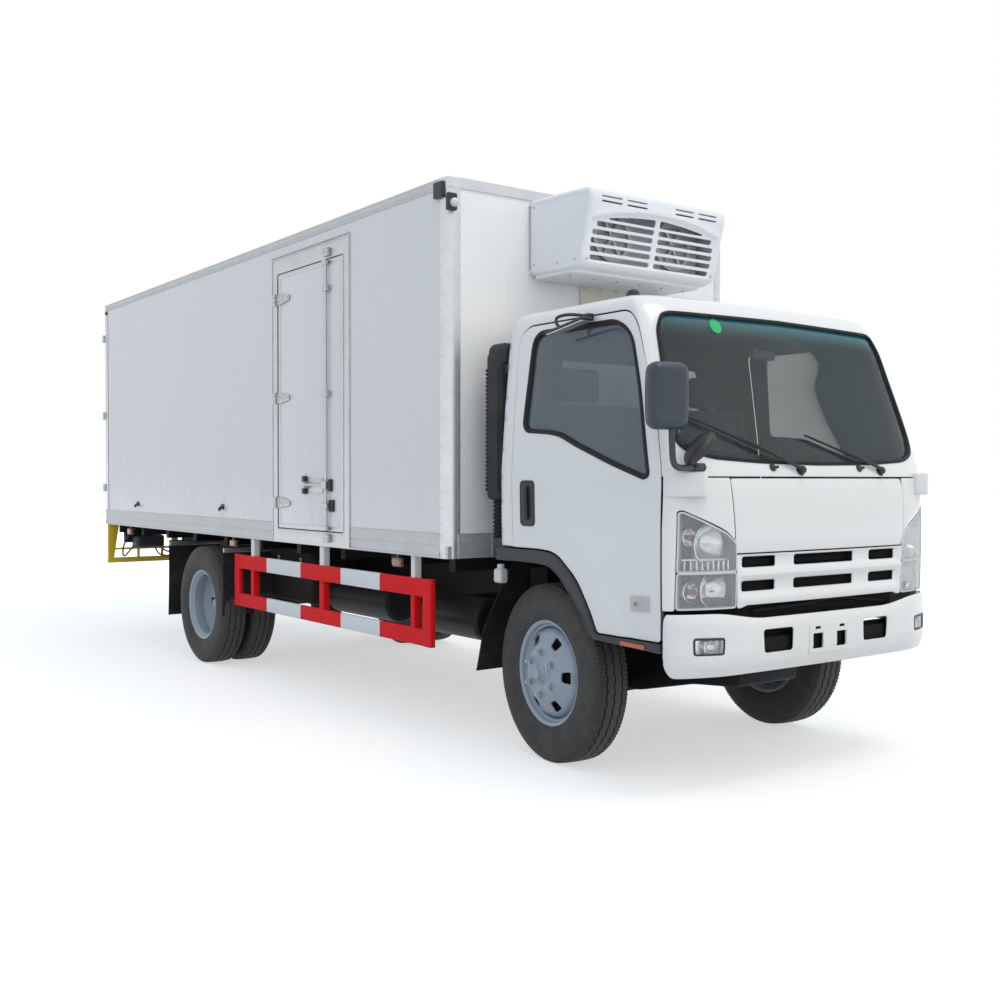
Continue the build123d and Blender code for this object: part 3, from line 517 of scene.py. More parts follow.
def studs(places, way, radius, height, finish=0, around=10):
    """Many small domed heads at once: each is a short turned cap on the given direction."""
    places, way = np.asarray(places, float), unit(
        np.broadcast_to(np.asarray(way, float), np.shape(places)))
    helper = np.where(np.abs(way[:, 2:3]) > 0.9, vec(0, 1, 0), vec(0, 0, 1))
    first = unit(np.cross(way, helper))
    second = np.cross(way, first)
    turn = full_turn(around)
    ring = rings_about(first, second, turn)
    profile = np.array([(-0.4, 1.0), (0.35, 1.0), (0.85, 0.7), (1.0, 0.0)])
    shape = Shape()
    reach = profile[:, 0][None, :, None, None] * height * way[:, None, None]
    out = profile[:, 1][None, :, None, None] * radius * ring[:, None]
    points = places[:, None, None] + reach + out
    count, rows, columns = points.shape[:3]
    quads = grid_quads(rows, columns, False, True)
    floor = np.stack(
        [np.arange(1, columns - 1), np.zeros(columns - 2, int), np.arange(2, columns)], axis=1)
    start = (np.arange(count) * rows * columns)[:, None, None]
    shape.add(points.reshape(-1, 3), (quads[None] + start).reshape(-1, 4), finish)
    shape.add(points.reshape(-1, 3), (floor[None] + start).reshape(-1, 3), finish)
    return shape

# ---- shader kit --------------------------------------------------------------------------


class Wire:
    """A value in a material. Python's operators add Math nodes to it."""

    def __init__(self, paint, socket):
        self.paint, self.socket = paint, socket

    def _maths(self, operation, first, second):
        return self.paint.node("ShaderNodeMath", {"operation": operation}, {0: first, 1: second})

    def __add__(self, other):
        return self._maths("ADD", self, other)

    def __sub__(self, other):
        return self._maths("SUBTRACT", self, other)

    def __rsub__(self, other):
        return self._maths("SUBTRACT", other, self)

    def __mul__(self, other):
        return self._maths("MULTIPLY", self, other)

    def __truediv__(self, other):
        return self._maths("DIVIDE", self, other)

    def __rtruediv__(self, other):
        return self._maths("DIVIDE", other, self)

    def __pow__(self, other):
        return self._maths("POWER", self, other)

    def __gt__(self, other):
        return self._maths("GREATER_THAN", self, other)

    def __lt__(self, other):
        return self._maths("LESS_THAN", self, other)

    __radd__, __rmul__ = __add__, __mul__

    def low(self, other):
        """The lesser of the two."""
        return self._maths("MINIMUM", self, other)

    def high(self, other):
        """The greater of the two."""
        return self._maths("MAXIMUM", self, other)

    def step(self, start, stop):
        """Nought before start and one after stop, smoothly."""
        ranges = {"interpolation_type": "SMOOTHSTEP"}
        return self.paint.node(
            "ShaderNodeMapRange", ranges, {"Value": self, "From Min": start, "From Max": stop})


class Paint:
    """One procedural material round a Principled shader."""

    def __init__(self, name):
        self.material = bpy.data.materials.new(name)
        self.material.use_nodes = True
        self.tree = self.material.node_tree
        self.tree.nodes.clear()
        self.out = self.tree.nodes.new("ShaderNodeOutputMaterial")
        self.place = self.node("ShaderNodeTexCoord", output="Object")

    def node(self, kind, settings=None, inputs=None, output=0):
        """Any node: its settings first, then its sockets' values or links. Gives one output."""
        made = self.tree.nodes.new(kind)
        for key, value in (settings or {}).items():
            if key == "stops":
                ramp = made.color_ramp
                while len(ramp.elements) < len(value):
                    ramp.elements.new(0.5)
                for element, (at, colour) in zip(ramp.elements, value):
                    element.position, element.color = at, (*colour[:3], 1)
            else:
                setattr(made, key, value)
        for key, value in (inputs or {}).items():
            socket = made.inputs[key]
            if isinstance(value, Wire):
                self.tree.links.new(value.socket, socket)
            elif socket.type == "RGBA" and len(value) == 3:
                socket.default_value = (*value, 1)
            else:
                socket.default_value = value
        return Wire(self, made.outputs[output])

    def stretched(self, scale):
        """Object coordinates, scaled apart in X, Y and Z."""
        return self.node(
            "ShaderNodeVectorMath", {"operation": "MULTIPLY"}, {0: self.place, 1: scale})

    def axis(self, name):
        """One object coordinate, in metres."""
        return self.node("ShaderNodeSeparateXYZ", None, {"Vector": self.place}, name)

    def noise(self, scale, detail=3.0, rough=0.5, stretch=None):
        """Noise from 0 to 1, of features about 1/scale metres across."""
        where = self.stretched(stretch) if stretch else self.place
        inputs = {"Vector": where, "Scale": scale, "Detail": detail, "Roughness": rough}
        return self.node("ShaderNodeTexNoise", None, inputs, "Fac")

    def mix(self, first, second, factor):
        """Colours mixed by a factor."""
        settings = {"data_type": "RGBA"}
        made = self.node("ShaderNodeMix", settings, {0: factor, 6: first, 7: second}, 2)
        return made

    def bump(self, height, distance, strength=1.0, under=None):
        """A Bump node for the Normal: distance is the height of one unit in metres."""
        inputs = {"Height": height, "Distance": distance, "Strength": strength}
        if under is not None:
            inputs["Normal"] = under
        return self.node("ShaderNodeBump", None, inputs, "Normal")

    def done(self, **sockets):
        """The Principled shader. Socket names are given with underscores for spaces."""
        named = {key.replace("_", " "): value for key, value in sockets.items()}
        shader = self.node("ShaderNodeBsdfPrincipled", None, named)
        self.tree.links.new(shader.socket, self.out.inputs["Surface"])
        return self.material


def shade(colour, amount):
    """A colour made lighter or darker by a share."""
    return tuple(min(1.0, channel * amount) for channel in colour)


def gloss_paint(name, colour, rough=0.2, coat=0.35, peel=0.00006, dust=0.05, wave=0.0):
    """Sprayed gloss paint: fine orange peel, faint film of dust that thickens towards the road."""
    paint = Paint(name)
    cloud = paint.noise(1.7, 4.0)
    speck = paint.noise(60.0, 3.0, 0.6)
    low = 1 - paint.axis("Z").step(0.35, 1.3)
    film = (low * 0.9 + 0.35) * cloud.step(0.35, 0.75) * dust + speck.step(0.62, 0.8) * (dust * 0.4)
    tint = paint.mix(colour, (0.42, 0.40, 0.36), film)
    height = paint.noise(420.0, 1.0) * 0.6 + paint.noise(150.0, 1.0) * 0.4
    normal = paint.bump(height, peel)
    if wave:
        normal = paint.bump(paint.noise(3.2, 1.0, stretch=(1, 1, 0.35)), wave, 1.0, normal)
    return paint.done(Base_Color=tint, Roughness=film * 1.2 + cloud * 0.06 + rough, Metallic=0.0,
                      Coat_Weight=coat, Coat_Roughness=0.05, Normal=normal)


def panel_skin(name, colour):
    """Glass-fibre sheet bonded to foam: long shallow ripples, upright rain streaks and a fine cloth
    grain.
    """
    paint = Paint(name)
    streak = paint.noise(2.2, 4.0, 0.6, stretch=(6, 6, 0.35))
    cloud = paint.noise(0.9, 3.0)
    height = paint.axis("Z")
    foot = 1 - height.step(1.1, 1.75)
    dirt = streak.step(0.5, 0.78) * (foot * 0.10 + 0.035) + cloud.step(0.45, 0.8) * 0.02
    tint = paint.mix(colour, (0.50, 0.49, 0.46), dirt)
    ripple = paint.bump(paint.noise(1.1, 1.0, stretch=(1, 1, 0.3)), 0.004)
    seam = paint.bump(paint.noise(4.5, 2.0, stretch=(1.6, 1.6, 0.25)), 0.0009, 1.0, ripple)
    cloth = paint.bump(paint.noise(700.0, 1.0), 0.00003, 1.0, seam)
    return paint.done(Base_Color=tint, Roughness=dirt * 1.5 + cloud * 0.08 + 0.22, Coat_Weight=0.25,
                      Coat_Roughness=0.12, Normal=cloth)


def worked_metal(name, colour, rough, stretch, metal=0.85, scratch=0.00006, spots=0.12):
    """Drawn or rolled metal: fine lines along one way, dull spots, slight change of tone."""
    paint = Paint(name)
    line = paint.noise(90.0, 3.0, 0.7, stretch=stretch)
    cloud = paint.noise(7.0, 4.0, 0.6)
    spot = paint.noise(45.0, 2.0).step(0.62, 0.8)
    tint = paint.mix(shade(colour, 0.82), shade(colour, 1.12), cloud)
    tint = paint.mix(tint, shade(colour, 0.6), spot * spots)
    return paint.done(Base_Color=tint, Roughness=line * 0.14 + cloud * 0.12 + spot * 0.1 + rough,
                      Metallic=metal, Normal=paint.bump(line, scratch))


def grained(name, colour, rough=0.5, grain=500.0, depth=0.00012, dust=0.25, wear=None):
    """Moulded plastic or rubber with a fine grain, a little grey dust lying on it."""
    paint = Paint(name)
    cell = paint.node(
        "ShaderNodeTexVoronoi", None, {"Vector": paint.place, "Scale": grain}, "Distance")
    cloud = paint.noise(5.0, 5.0, 0.65)
    low = 1 - paint.axis("Z").step(0.2, 1.4)
    film = cloud.step(0.42, 0.8) * (low * dust + dust * 0.35)
    tint = paint.mix(colour, (0.30, 0.28, 0.25), film)
    if wear:
        tint = paint.mix(tint, wear, paint.noise(22.0, 4.0, 0.7).step(0.66, 0.74) * 0.5)
    shine = 0.5 if rough < 0.45 else 0.22
    return paint.done(
        Base_Color=tint, Roughness=film * 0.5 + cloud * 0.1 + rough, Specular_IOR_Level=shine,
        Normal=paint.bump(cell, depth))


def tyre_rubber(name, centre_y, dust):
    """Black rubber: rings on the sidewall from the distance to the axle, dry road dust, worn grey
    tread.
    """
    paint = Paint(name)
    up = paint.axis("Z") - WHEEL_Z
    back = paint.axis("Y") - centre_y
    reach = (up * up + back * back) ** 0.5
    ring = paint.node("ShaderNodeMath", {"operation": "SINE"}, {0: reach * 900.0})
    groove = (ring * 0.5 + 0.5) * reach.step(0.40, 0.41) * (1 - reach.step(0.43, 0.436))
    cloud = paint.noise(9.0, 5.0, 0.7)
    tread = reach.step(0.452, 0.462)
    film = cloud.step(0.35, 0.8) * dust
    tint = paint.mix((0.020, 0.020, 0.021), (0.16, 0.145, 0.125), film)
    tint = paint.mix(tint, (0.075, 0.073, 0.07), tread * 0.6)
    normal = paint.bump(groove, 0.0005, 1.0, paint.bump(paint.noise(260.0, 2.0), 0.0003))
    return paint.done(Base_Color=tint, Roughness=cloud * 0.15 + 0.62, Normal=normal)


def clear_glass(name, tint, film, top_band=0.0):
    """Tinted safety glass: it lets a share of light through and the rest is gloss; a band at the
    top is deeper.
    """
    paint = Paint(name)
    cloud = paint.noise(6.0, 3.0)
    facing = paint.node("ShaderNodeLayerWeight", None, {"Blend": 0.16}, "Fresnel")
    share = film + cloud * 0.03
    colour = tint
    if top_band:
        band = paint.axis("Z").step(top_band, top_band + 0.10)
        share = share + band * 0.38
        colour = paint.mix(tint, (0.035, 0.20, 0.235), band)
    alpha = (share + facing * 0.75).low(1.0)
    return paint.done(Base_Color=colour, Roughness=cloud * 0.02 + 0.015, Alpha=alpha, IOR=1.52,
                      Specular_IOR_Level=0.9)


def lens_plastic(name, tint, film, rough=0.05):
    """Clear or coloured lamp plastic with faint upright flutes inside."""
    paint = Paint(name)
    flute = paint.node("ShaderNodeTexWave", {"bands_direction": "X"},
                       {"Vector": paint.place, "Scale": 28.0, "Distortion": 0.4}, "Fac")
    cloud = paint.noise(30.0, 3.0)
    facing = paint.node("ShaderNodeLayerWeight", None, {"Blend": 0.25}, "Fresnel")
    colour = paint.mix(tint, shade(tint, 0.8), cloud)
    return paint.done(
        Base_Color=colour, Roughness=cloud * 0.04 + rough, Alpha=(facing * 0.35 + film).low(1.0),
        IOR=1.49, Coat_Weight=0.5, Normal=paint.bump(flute, 0.0004))


def woven(name, colour, second):
    """Seat cloth: a plain weave of two close greys with a soft sheen."""
    paint = Paint(name)
    settings = {"wave_type": "BANDS", "bands_direction": "X"}
    warp = paint.node("ShaderNodeTexWave", settings, {"Vector": paint.place, "Scale": 160.0}, "Fac")
    weft = paint.node(
        "ShaderNodeTexWave", {"bands_direction": "Z"}, {"Vector": paint.place, "Scale": 160.0},
        "Fac")
    weave = warp * 0.5 + weft * 0.5
    cloud = paint.noise(8.0, 4.0)
    tint = paint.mix(colour, second, weave * 0.5 + cloud * 0.5)
    return paint.done(Base_Color=tint, Roughness=cloud * 0.1 + 0.82, Sheen_Weight=0.3,
                      Normal=paint.bump(weave, 0.0006))


def striped(name, edges, first, second):
    """Guard paint in upright bands of two colours; edges are the y places of the changes, front to
    back.
    """
    paint = Paint(name)
    back = paint.axis("Y")
    count = back > edges[0]
    for edge in edges[1:]:
        count = count + (back > edge)
    odd = paint.node("ShaderNodeMath", {"operation": "MODULO"}, {0: count + 0.001, 1: 2.0}) > 0.9
    cloud = paint.noise(9.0, 4.0, 0.6)
    chip = paint.noise(70.0, 3.0, 0.7).step(0.70, 0.74)
    tint = paint.mix(first, second, odd)
    tint = paint.mix(tint, (0.30, 0.27, 0.24), cloud.step(0.5, 0.9) * 0.04 + chip * 0.08)
    return paint.done(Base_Color=tint, Roughness=cloud * 0.2 + 0.52, Specular_IOR_Level=0.25,
                      Normal=paint.bump(paint.noise(160.0, 2.0), 0.0001))


def finned(name, colour, pitch):
    """A coil's thin upright fins in their own colour, with painted shade in the gaps between them.
    """
    paint = Paint(name)
    wave = paint.node(
        "ShaderNodeMath", {"operation": "SINE"}, {0: paint.axis("X") * (2 * math.pi / pitch)})
    tube = paint.node(
        "ShaderNodeMath", {"operation": "SINE"}, {0: paint.axis("Z") * (2 * math.pi / 0.026)})
    fin = wave * 0.5 + 0.5
    # painted shade: the gaps between the fins are the fin colour darkened to 35 per cent
    tint = paint.mix(shade(colour, 0.35), colour, fin)
    tint = paint.mix(tint, shade(colour, 0.55), (tube > 0.8) * 0.6)
    return paint.done(
        Base_Color=tint, Roughness=fin * 0.2 + 0.4, Metallic=0.6, Normal=paint.bump(fin, 0.001))


def dirty_black(name, colour, rough=0.55):
    """Chassis paint over rough castings: dust on top, oil-dark patches."""
    paint = Paint(name)
    cloud = paint.noise(6.0, 6.0, 0.7)
    grit = paint.noise(130.0, 3.0, 0.6)
    film = cloud.step(0.45, 0.8) * 0.10 + grit.step(0.6, 0.8) * 0.05
    tint = paint.mix(colour, (0.07, 0.065, 0.06), film)
    return paint.done(
        Base_Color=tint, Roughness=film * 0.5 + rough, Specular_IOR_Level=0.18,
        Normal=paint.bump(grit + cloud * 0.5, 0.0006))


FINISH = {}


def mix_finishes(colours):
    """Makes every finish of the truck, keyed by the word that the pieces use."""
    white, body, alloy = (
        tuple(colours.cab_white), tuple(colours.box_white), tuple(colours.aluminium))
    stripe_red, guard_white = tuple(colours.guard_red), (0.80, 0.81, 0.82)
    edges = [AXLE_Y + at for at in (1.435, 1.930, 2.505, 3.045)]
    FINISH.update(
        {
            "cab": gloss_paint("cab_gloss_white", white),
            "bumper": gloss_paint("bumper_gloss_white", shade(white, 0.985), 0.24, 0.25, dust=0.08),
            "box": panel_skin("box_panel_white", body),
            # painted light: the front wall is the same panel as the sides, given 0.90 against 0.79
            # to stand in for the sun on its face
            "front_wall": panel_skin("front_wall_white", (0.90, 0.90, 0.905)),
            "door": panel_skin("door_panel_white", shade(body, 1.01)),
            "unit": gloss_paint(
                "cooler_moulded_white", (0.84, 0.86, 0.885), 0.36, 0.06, 0.0001, 0.02),
            "cream": gloss_paint("service_plate_cream", (0.72, 0.70, 0.60), 0.4, 0.1, dust=0.06),
            "alloy_up": worked_metal("aluminium_drawn_upright", alloy, 0.26, (6, 6, 0.15)),
            "alloy_frame": worked_metal(
                "aluminium_door_frame", shade(alloy, 0.86), 0.24, (6, 6, 0.15), 0.9),
            "alloy_long": worked_metal(
                "aluminium_drawn_lengthwise", shade(alloy, 0.74), 0.34, (6, 0.15, 6)),
            "alloy_across": worked_metal("aluminium_drawn_across", alloy, 0.26, (0.15, 6, 6)),
            "alloy_dull": worked_metal(
                "aluminium_dull", shade(alloy, 0.86), 0.42, (2, 0.3, 2), 0.6),
            "zinc": worked_metal(
                "zinc_plated_steel", (0.50, 0.51, 0.52), 0.20, (1, 1, 1), 0.9, 0.0001, 0.3),
            "chrome": worked_metal(
                "lamp_chrome", (0.86, 0.87, 0.88), 0.06, (1, 1, 1), 1.0, 0.00001, 0.05),
            "mirror": worked_metal(
                "mirror_silvering", (0.80, 0.82, 0.83), 0.02, (1, 1, 1), 1.0, 0.0, 0.02),
            "plastic": grained("black_grained_plastic", (0.016, 0.018, 0.022), 0.38, dust=0.08),
            # painted reflection: black housing plastic given a lighter, bluer colour than the other
            # black plastic, standing in for the sky on it
            "mirror_back": grained(
                "mirror_housing_plastic", (0.030, 0.044, 0.066), 0.30, dust=0.05),
            "rubber": grained("black_rubber", (0.010, 0.010, 0.012), 0.5, 300.0, 0.00008, 0.08),
            "flap": grained("flap_rubber", (0.010, 0.010, 0.012), 0.6, 180.0, 0.0003, 0.12),
            "hose": grained("intake_plastic", (0.03, 0.031, 0.034), 0.45, 350.0, 0.00015, 0.3),
            "trim": grained("cabin_trim_grey", (0.21, 0.215, 0.22), 0.6, 420.0, 0.0002, 0.05),
            "lining": grained("cabin_lining_grey", (0.15, 0.15, 0.148), 0.8, 300.0, 0.0002, 0.05),
            "bottle": grained("washer_bottle_white", (0.72, 0.73, 0.72), 0.35, 200.0, 0.00005, 0.2),
            "front_tyre": tyre_rubber("front_tyre_rubber", AXLE_Y, 0.30),
            "rear_tyre": tyre_rubber(
                "rear_tyre_rubber", JOINT_AT["rear_wheels_right_spin"][1], 0.32),
            "wheel": gloss_paint("wheel_silver", (0.31, 0.37, 0.435), 0.34, 0.2, 0.00015, 0.14),
            "nut": worked_metal(
                "wheel_nut_steel", (0.40, 0.45, 0.50), 0.35, (1, 1, 1), 0.8, 0.0001, 0.3),
            "chassis": dirty_black("chassis_black", (0.008, 0.008, 0.009)),
            "axle": dirty_black("cast_black", (0.010, 0.010, 0.011), 0.65),
            "tank": dirty_black("tank_dark_grey", (0.011, 0.0115, 0.012), 0.42),
            "glass": clear_glass("door_glass_tint", (0.165, 0.215, 0.255), 0.40),
            "screen": clear_glass("windscreen_tint", (0.06, 0.085, 0.09), 0.24, 2.17),
            "lens": lens_plastic("clear_lens", (0.72, 0.76, 0.78), 0.16),
            "tray": worked_metal(
                "lamp_tray_grey", (0.74, 0.76, 0.78), 0.24, (1, 1, 1), 0.2, 0.00003, 0.1),
            "amber": lens_plastic("amber_lens", (0.75, 0.22, 0.03), 0.85),
            "marker": lens_plastic("marker_lens_dull_orange", (0.30, 0.125, 0.055), 0.92),
            "red": lens_plastic("red_lens", (0.55, 0.02, 0.02), 0.92),
            "white_lamp": lens_plastic("white_marker_lens", (0.78, 0.79, 0.80), 0.95),
            "reflector": lens_plastic("orange_reflector", (0.62, 0.10, 0.04), 0.97, 0.2),
            "stripes": striped("guard_red_and_white", edges, stripe_red, guard_white),
            "post_white": gloss_paint("guard_post_white", guard_white, 0.35, 0.1, dust=0.12),
            "yellow": gloss_paint(
                "underrun_yellow", tuple(colours.guard_yellow), 0.42, 0.1, 0.0002, 0.08),
            "cloth": woven("seat_cloth_grey", (0.085, 0.09, 0.10), (0.14, 0.145, 0.155)),
            "coil": finned("coil_fins", (0.80, 0.82, 0.86), 0.0042),
            "sticker": gloss_paint("plain_green_disc", (0.02, 0.50, 0.16), 0.5, 0.0),
            # near-black: the real duct, core and trays, and also painted shade on the inner walls
            # of the grille's slots and the bumper's openings
            "dark": grained("dark_inside", (0.008, 0.008, 0.009), 0.8, 100.0, 0.0001, 0.02),})


# The frame's own pieces that stay in sight, and the finish of each.
FRAME_FINISH = {
    # the box's front wall takes the lighter front_wall finish, which is painted sunlight
    "box_roof": "box", "box_front_wall": "front_wall", "box_right_wall": "box",
    "box_left_wall": "box", "box_floor": "alloy_dull", "frame_rails": "chassis",
    "cross_members": "chassis", "subframe": "chassis", "cab_pivot": "chassis", "front_axle": "axle",
    "rear_axle": "axle", "leaf_springs": "axle", "propshaft": "axle", "engine_block": "axle",
    "knuckle_right": "axle", "knuckle_left": "axle", "air_tank": "tank", "fuel_tank": "tank",
    "silencer": "tank", "cab_floor": "lining", "box_bearers": "chassis",}

# ---- the cab's form ----------------------------------------------------------------------
# Each row: climb (a length up the surface), height, half width, front y on the centre line, end
# of the shallow front arc (x, y), start of the straight side (y), rear y.
CAB_ROWS = np.array([
    (0.690, 0.690, 0.985, -1.030, 0.650, -1.016, -0.880, 0.354),
    (1.215, 1.215, 0.990, -1.041, 0.655, -1.027, -0.882, 0.360),
    (1.486, 1.486, 0.988, -1.019, 0.660, -1.005, -0.872, 0.366),
    (1.545, 1.545, 0.984, -1.000, 0.660, -0.982, -0.862, 0.368),
    (1.980, 1.980, 0.938, -0.838, 0.680, -0.818, -0.745, 0.384),
    (2.290, 2.290, 0.893, -0.722, 0.680, -0.706, -0.612, 0.394),
    (2.352, 2.350, 0.870, -0.672, 0.670, -0.655, -0.565, 0.378),
    (2.440, 2.378, 0.800, -0.590, 0.620, -0.574, -0.480, 0.320),
    (2.600, 2.392, 0.640, -0.430, 0.480, -0.415, -0.320, 0.200),
])
WAY_ROUND = (0.0, 0.655, 1.045, 2.225, 2.320, 3.250)
REAR_CENTRE = WAY_ROUND[-1]
CORNER_PULL = 0.45
REAR_CORNER = 0.06


def cab_fields(climb, depth):
    """The plan's sizes at a climb, taken in by depth."""
    height, half, front, arc_x, arc_y, side_y, rear = (
        smooth_table(CAB_ROWS[:, 0], CAB_ROWS[:, column], climb) for column in range(1, 8))
    over = smooth_step(climb, 2.30, 2.44)
    height = height - depth * over
    return (height, half - depth, front + depth, arc_x - depth / 2, arc_y + depth,
            side_y + 0.4 * depth, rear - depth)


def smooth_step(at, start, stop):
    """Nought before start, one after stop, with level ends."""
    t = np.clip((np.asarray(at, float) - start) / (stop - start), 0, 1)
    return t * t * (3 - 2 * t)


def corner_at(t, half, front, arc_x, arc_y, side_y):
    """The rounded front corner: a rational quadratic curve between the front arc and the side."""
    pull_y = arc_y + 2 * (arc_y - front) / arc_x * (half - arc_x)
    first, middle, last = (1 - t) ** 2, 2 * CORNER_PULL * t * (1 - t), t * t
    total = first + middle + last
    x = (first * arc_x + middle * half + last * half) / total
    y = (first * arc_y + middle * pull_y + last * side_y) / total
    return x, y


def cab_skin(way, climb, depth=0.0):
    """A point of the cab: way is a length round it from the front centre (+ to the left), climb a
    length up it.
    """
    way, climb, depth = np.broadcast_arrays(np.asarray(way, float), climb, depth)
    height, half, front, arc_x, arc_y, side_y, rear = cab_fields(climb, depth)
    part = np.interp(np.abs(way), WAY_ROUND, range(6))
    t = np.clip(part, 0, 1)
    x0, y0 = arc_x * t, front + (arc_y - front) * t * t
    x1, y1 = corner_at(np.clip(part - 1, 0, 1), half, front, arc_x, arc_y, side_y)
    t = np.clip(part - 2, 0, 1)
    y2 = side_y + (rear - REAR_CORNER - side_y) * t
    t = np.clip(part - 3, 0, 1) * math.pi / 2
    x3, y3 = half - REAR_CORNER * (1 - np.cos(t)), rear - REAR_CORNER * (1 - np.sin(t))
    x4 = (half - REAR_CORNER) * (1 - np.clip(part - 4, 0, 1))
    places = [part <= 1, part <= 2, part <= 3, part <= 4]
    x = np.select(places, [x0, x1, half, x3], x4)
    y = np.select(places, [y0, y1, y2, y3], rear)
    return np.stack([x * np.sign(way + 1e-12), y, height], axis=-1)


def solve(function, goal):
    """Bisection for many values at once: function rises or falls steadily from t = 0 to 1."""
    low, high = np.zeros_like(goal), np.ones_like(goal)
    rising = function(high) > function(low)
    for _ in range(24):
        middle = (low + high) / 2
        under = (function(middle) < goal) == rising
        low, high = np.where(under, middle, low), np.where(under, high, middle)
    return (low + high) / 2


def on_side(points):
    """(way, climb) of points given as (y, z) on the cab's left side or its front corner."""
    points = np.asarray(points, float)
    y, z = points[:, 0], points[:, 1]
    _, half, front, arc_x, arc_y, side_y, rear = cab_fields(z, 0.0)
    t = solve(lambda t: corner_at(t, half, front, arc_x, arc_y, side_y)[1], y)
    part = np.where(y >= side_y, 2 + (y - side_y) / (rear - REAR_CORNER - side_y), 1 + t)
    return np.column_stack([np.interp(part, range(6), WAY_ROUND), z])


def on_front(points):
    """(way, climb) of points given as (x, z) on the cab's front."""
    points = np.asarray(points, float)
    x, z = np.abs(points[:, 0]), points[:, 1]
    _, half, front, arc_x, arc_y, side_y, _ = cab_fields(z, 0.0)
    t = solve(lambda t: corner_at(t, half, front, arc_x, arc_y, side_y)[0], np.clip(x, arc_x, half))
    part = np.where(x <= arc_x, x / arc_x, 1 + t)
    return np.column_stack(
        [np.interp(part, range(6), WAY_ROUND) * np.sign(points[:, 0] + 1e-12), z])


def mirrored_loop(half):
    """A half outline on the left, closed by its mirror image."""
    half = np.asarray(half, float)
    return np.vstack([half, half[::-1] * vec(-1, 1)])


def grown(loop, amount):
    """An outline moved outwards."""
    return loop - inward(loop) * amount


DOOR_YZ = np.array(
    [
        (-886, 735), (-886, 1500), (-808, 1843), (-653, 2207), (-578, 2288), (205, 2288),
        (272, 2236), (246, 1686), (220, 1119), (-11, 1119), (-119, 1111), (-178, 1087), (-312, 984),
        (-411, 834), (-460, 735)]) / 1000
WINDOW_YZ = np.array(
    [
        (140, 2248), (-500, 2248), (-618, 2170), (-711, 1895), (-806, 1500), (-776, 1484),
        (-540, 1556), (-271, 1650), (-150, 1700), (-64, 1716), (130, 1730), (158, 1765)]) / 1000
SCREEN_XZ = np.array(
    [
        (0, 1556), (420, 1562), (740, 1580), (872, 1622), (906, 1690), (846, 2190), (800, 2262),
        (760, 2274), (0, 2284)]) / 1000
DOOR_SEAM = 0.0035


def door_loop():
    """The door's rim as (way, climb)."""
    reach = [0.02, 0.05, 0.1, 0.1, 0.09, 0.07, 0.05, 0.05, 0.02, 0.02, 0.03, 0.03, 0.06, 0.05, 0.02]
    return on_side(smooth_loop(DOOR_YZ, reach, 0.03))


def window_loop():
    """The door window's rim as (way, climb)."""
    reach = [0.08, 0.1, 0.1, 0.1, 0.04, 0.03, 0.05, 0.05, 0.06, 0.05, 0.03, 0.05]
    return on_side(smooth_loop(WINDOW_YZ, reach, 0.025))


def screen_loop():
    """The windscreen's rim as (way, climb)."""
    half = smooth_loop(
        np.vstack([SCREEN_XZ, SCREEN_XZ[::-1][1:-1] * vec(-1, 1)]),
        [
            0.02, 0.1, 0.1, 0.07, 0.08, 0.1, 0.05, 0.05, 0.02
        ] + [0.05, 0.05, 0.1, 0.08, 0.07, 0.1, 0.1],
        0.04)
    return on_front(half)


def rear_skin(across, climb, depth=0.0):
    """The cab's back: across is a length from its rear centre (+ to the left)."""
    side = np.where(np.asarray(across) >= 0, 1.0, -1.0)
    return cab_skin(side * (REAR_CENTRE - np.abs(across)), climb, depth)


def door_lip(way, climb, depth):
    """The door skin with a raised lip that follows the wheel arch, and a soft crease under the
    window.
    """
    base = cab_skin(way, climb, 0.0)
    back, up = base[..., 1], base[..., 2]
    arch = np.hypot(back - 0.02, (up - 0.45) * 1.0)
    lip = 0.007 * (1 - smooth_step(arch, 0.705, 0.745))
    return cab_skin(way, climb, depth - lip * (depth < 0.02))


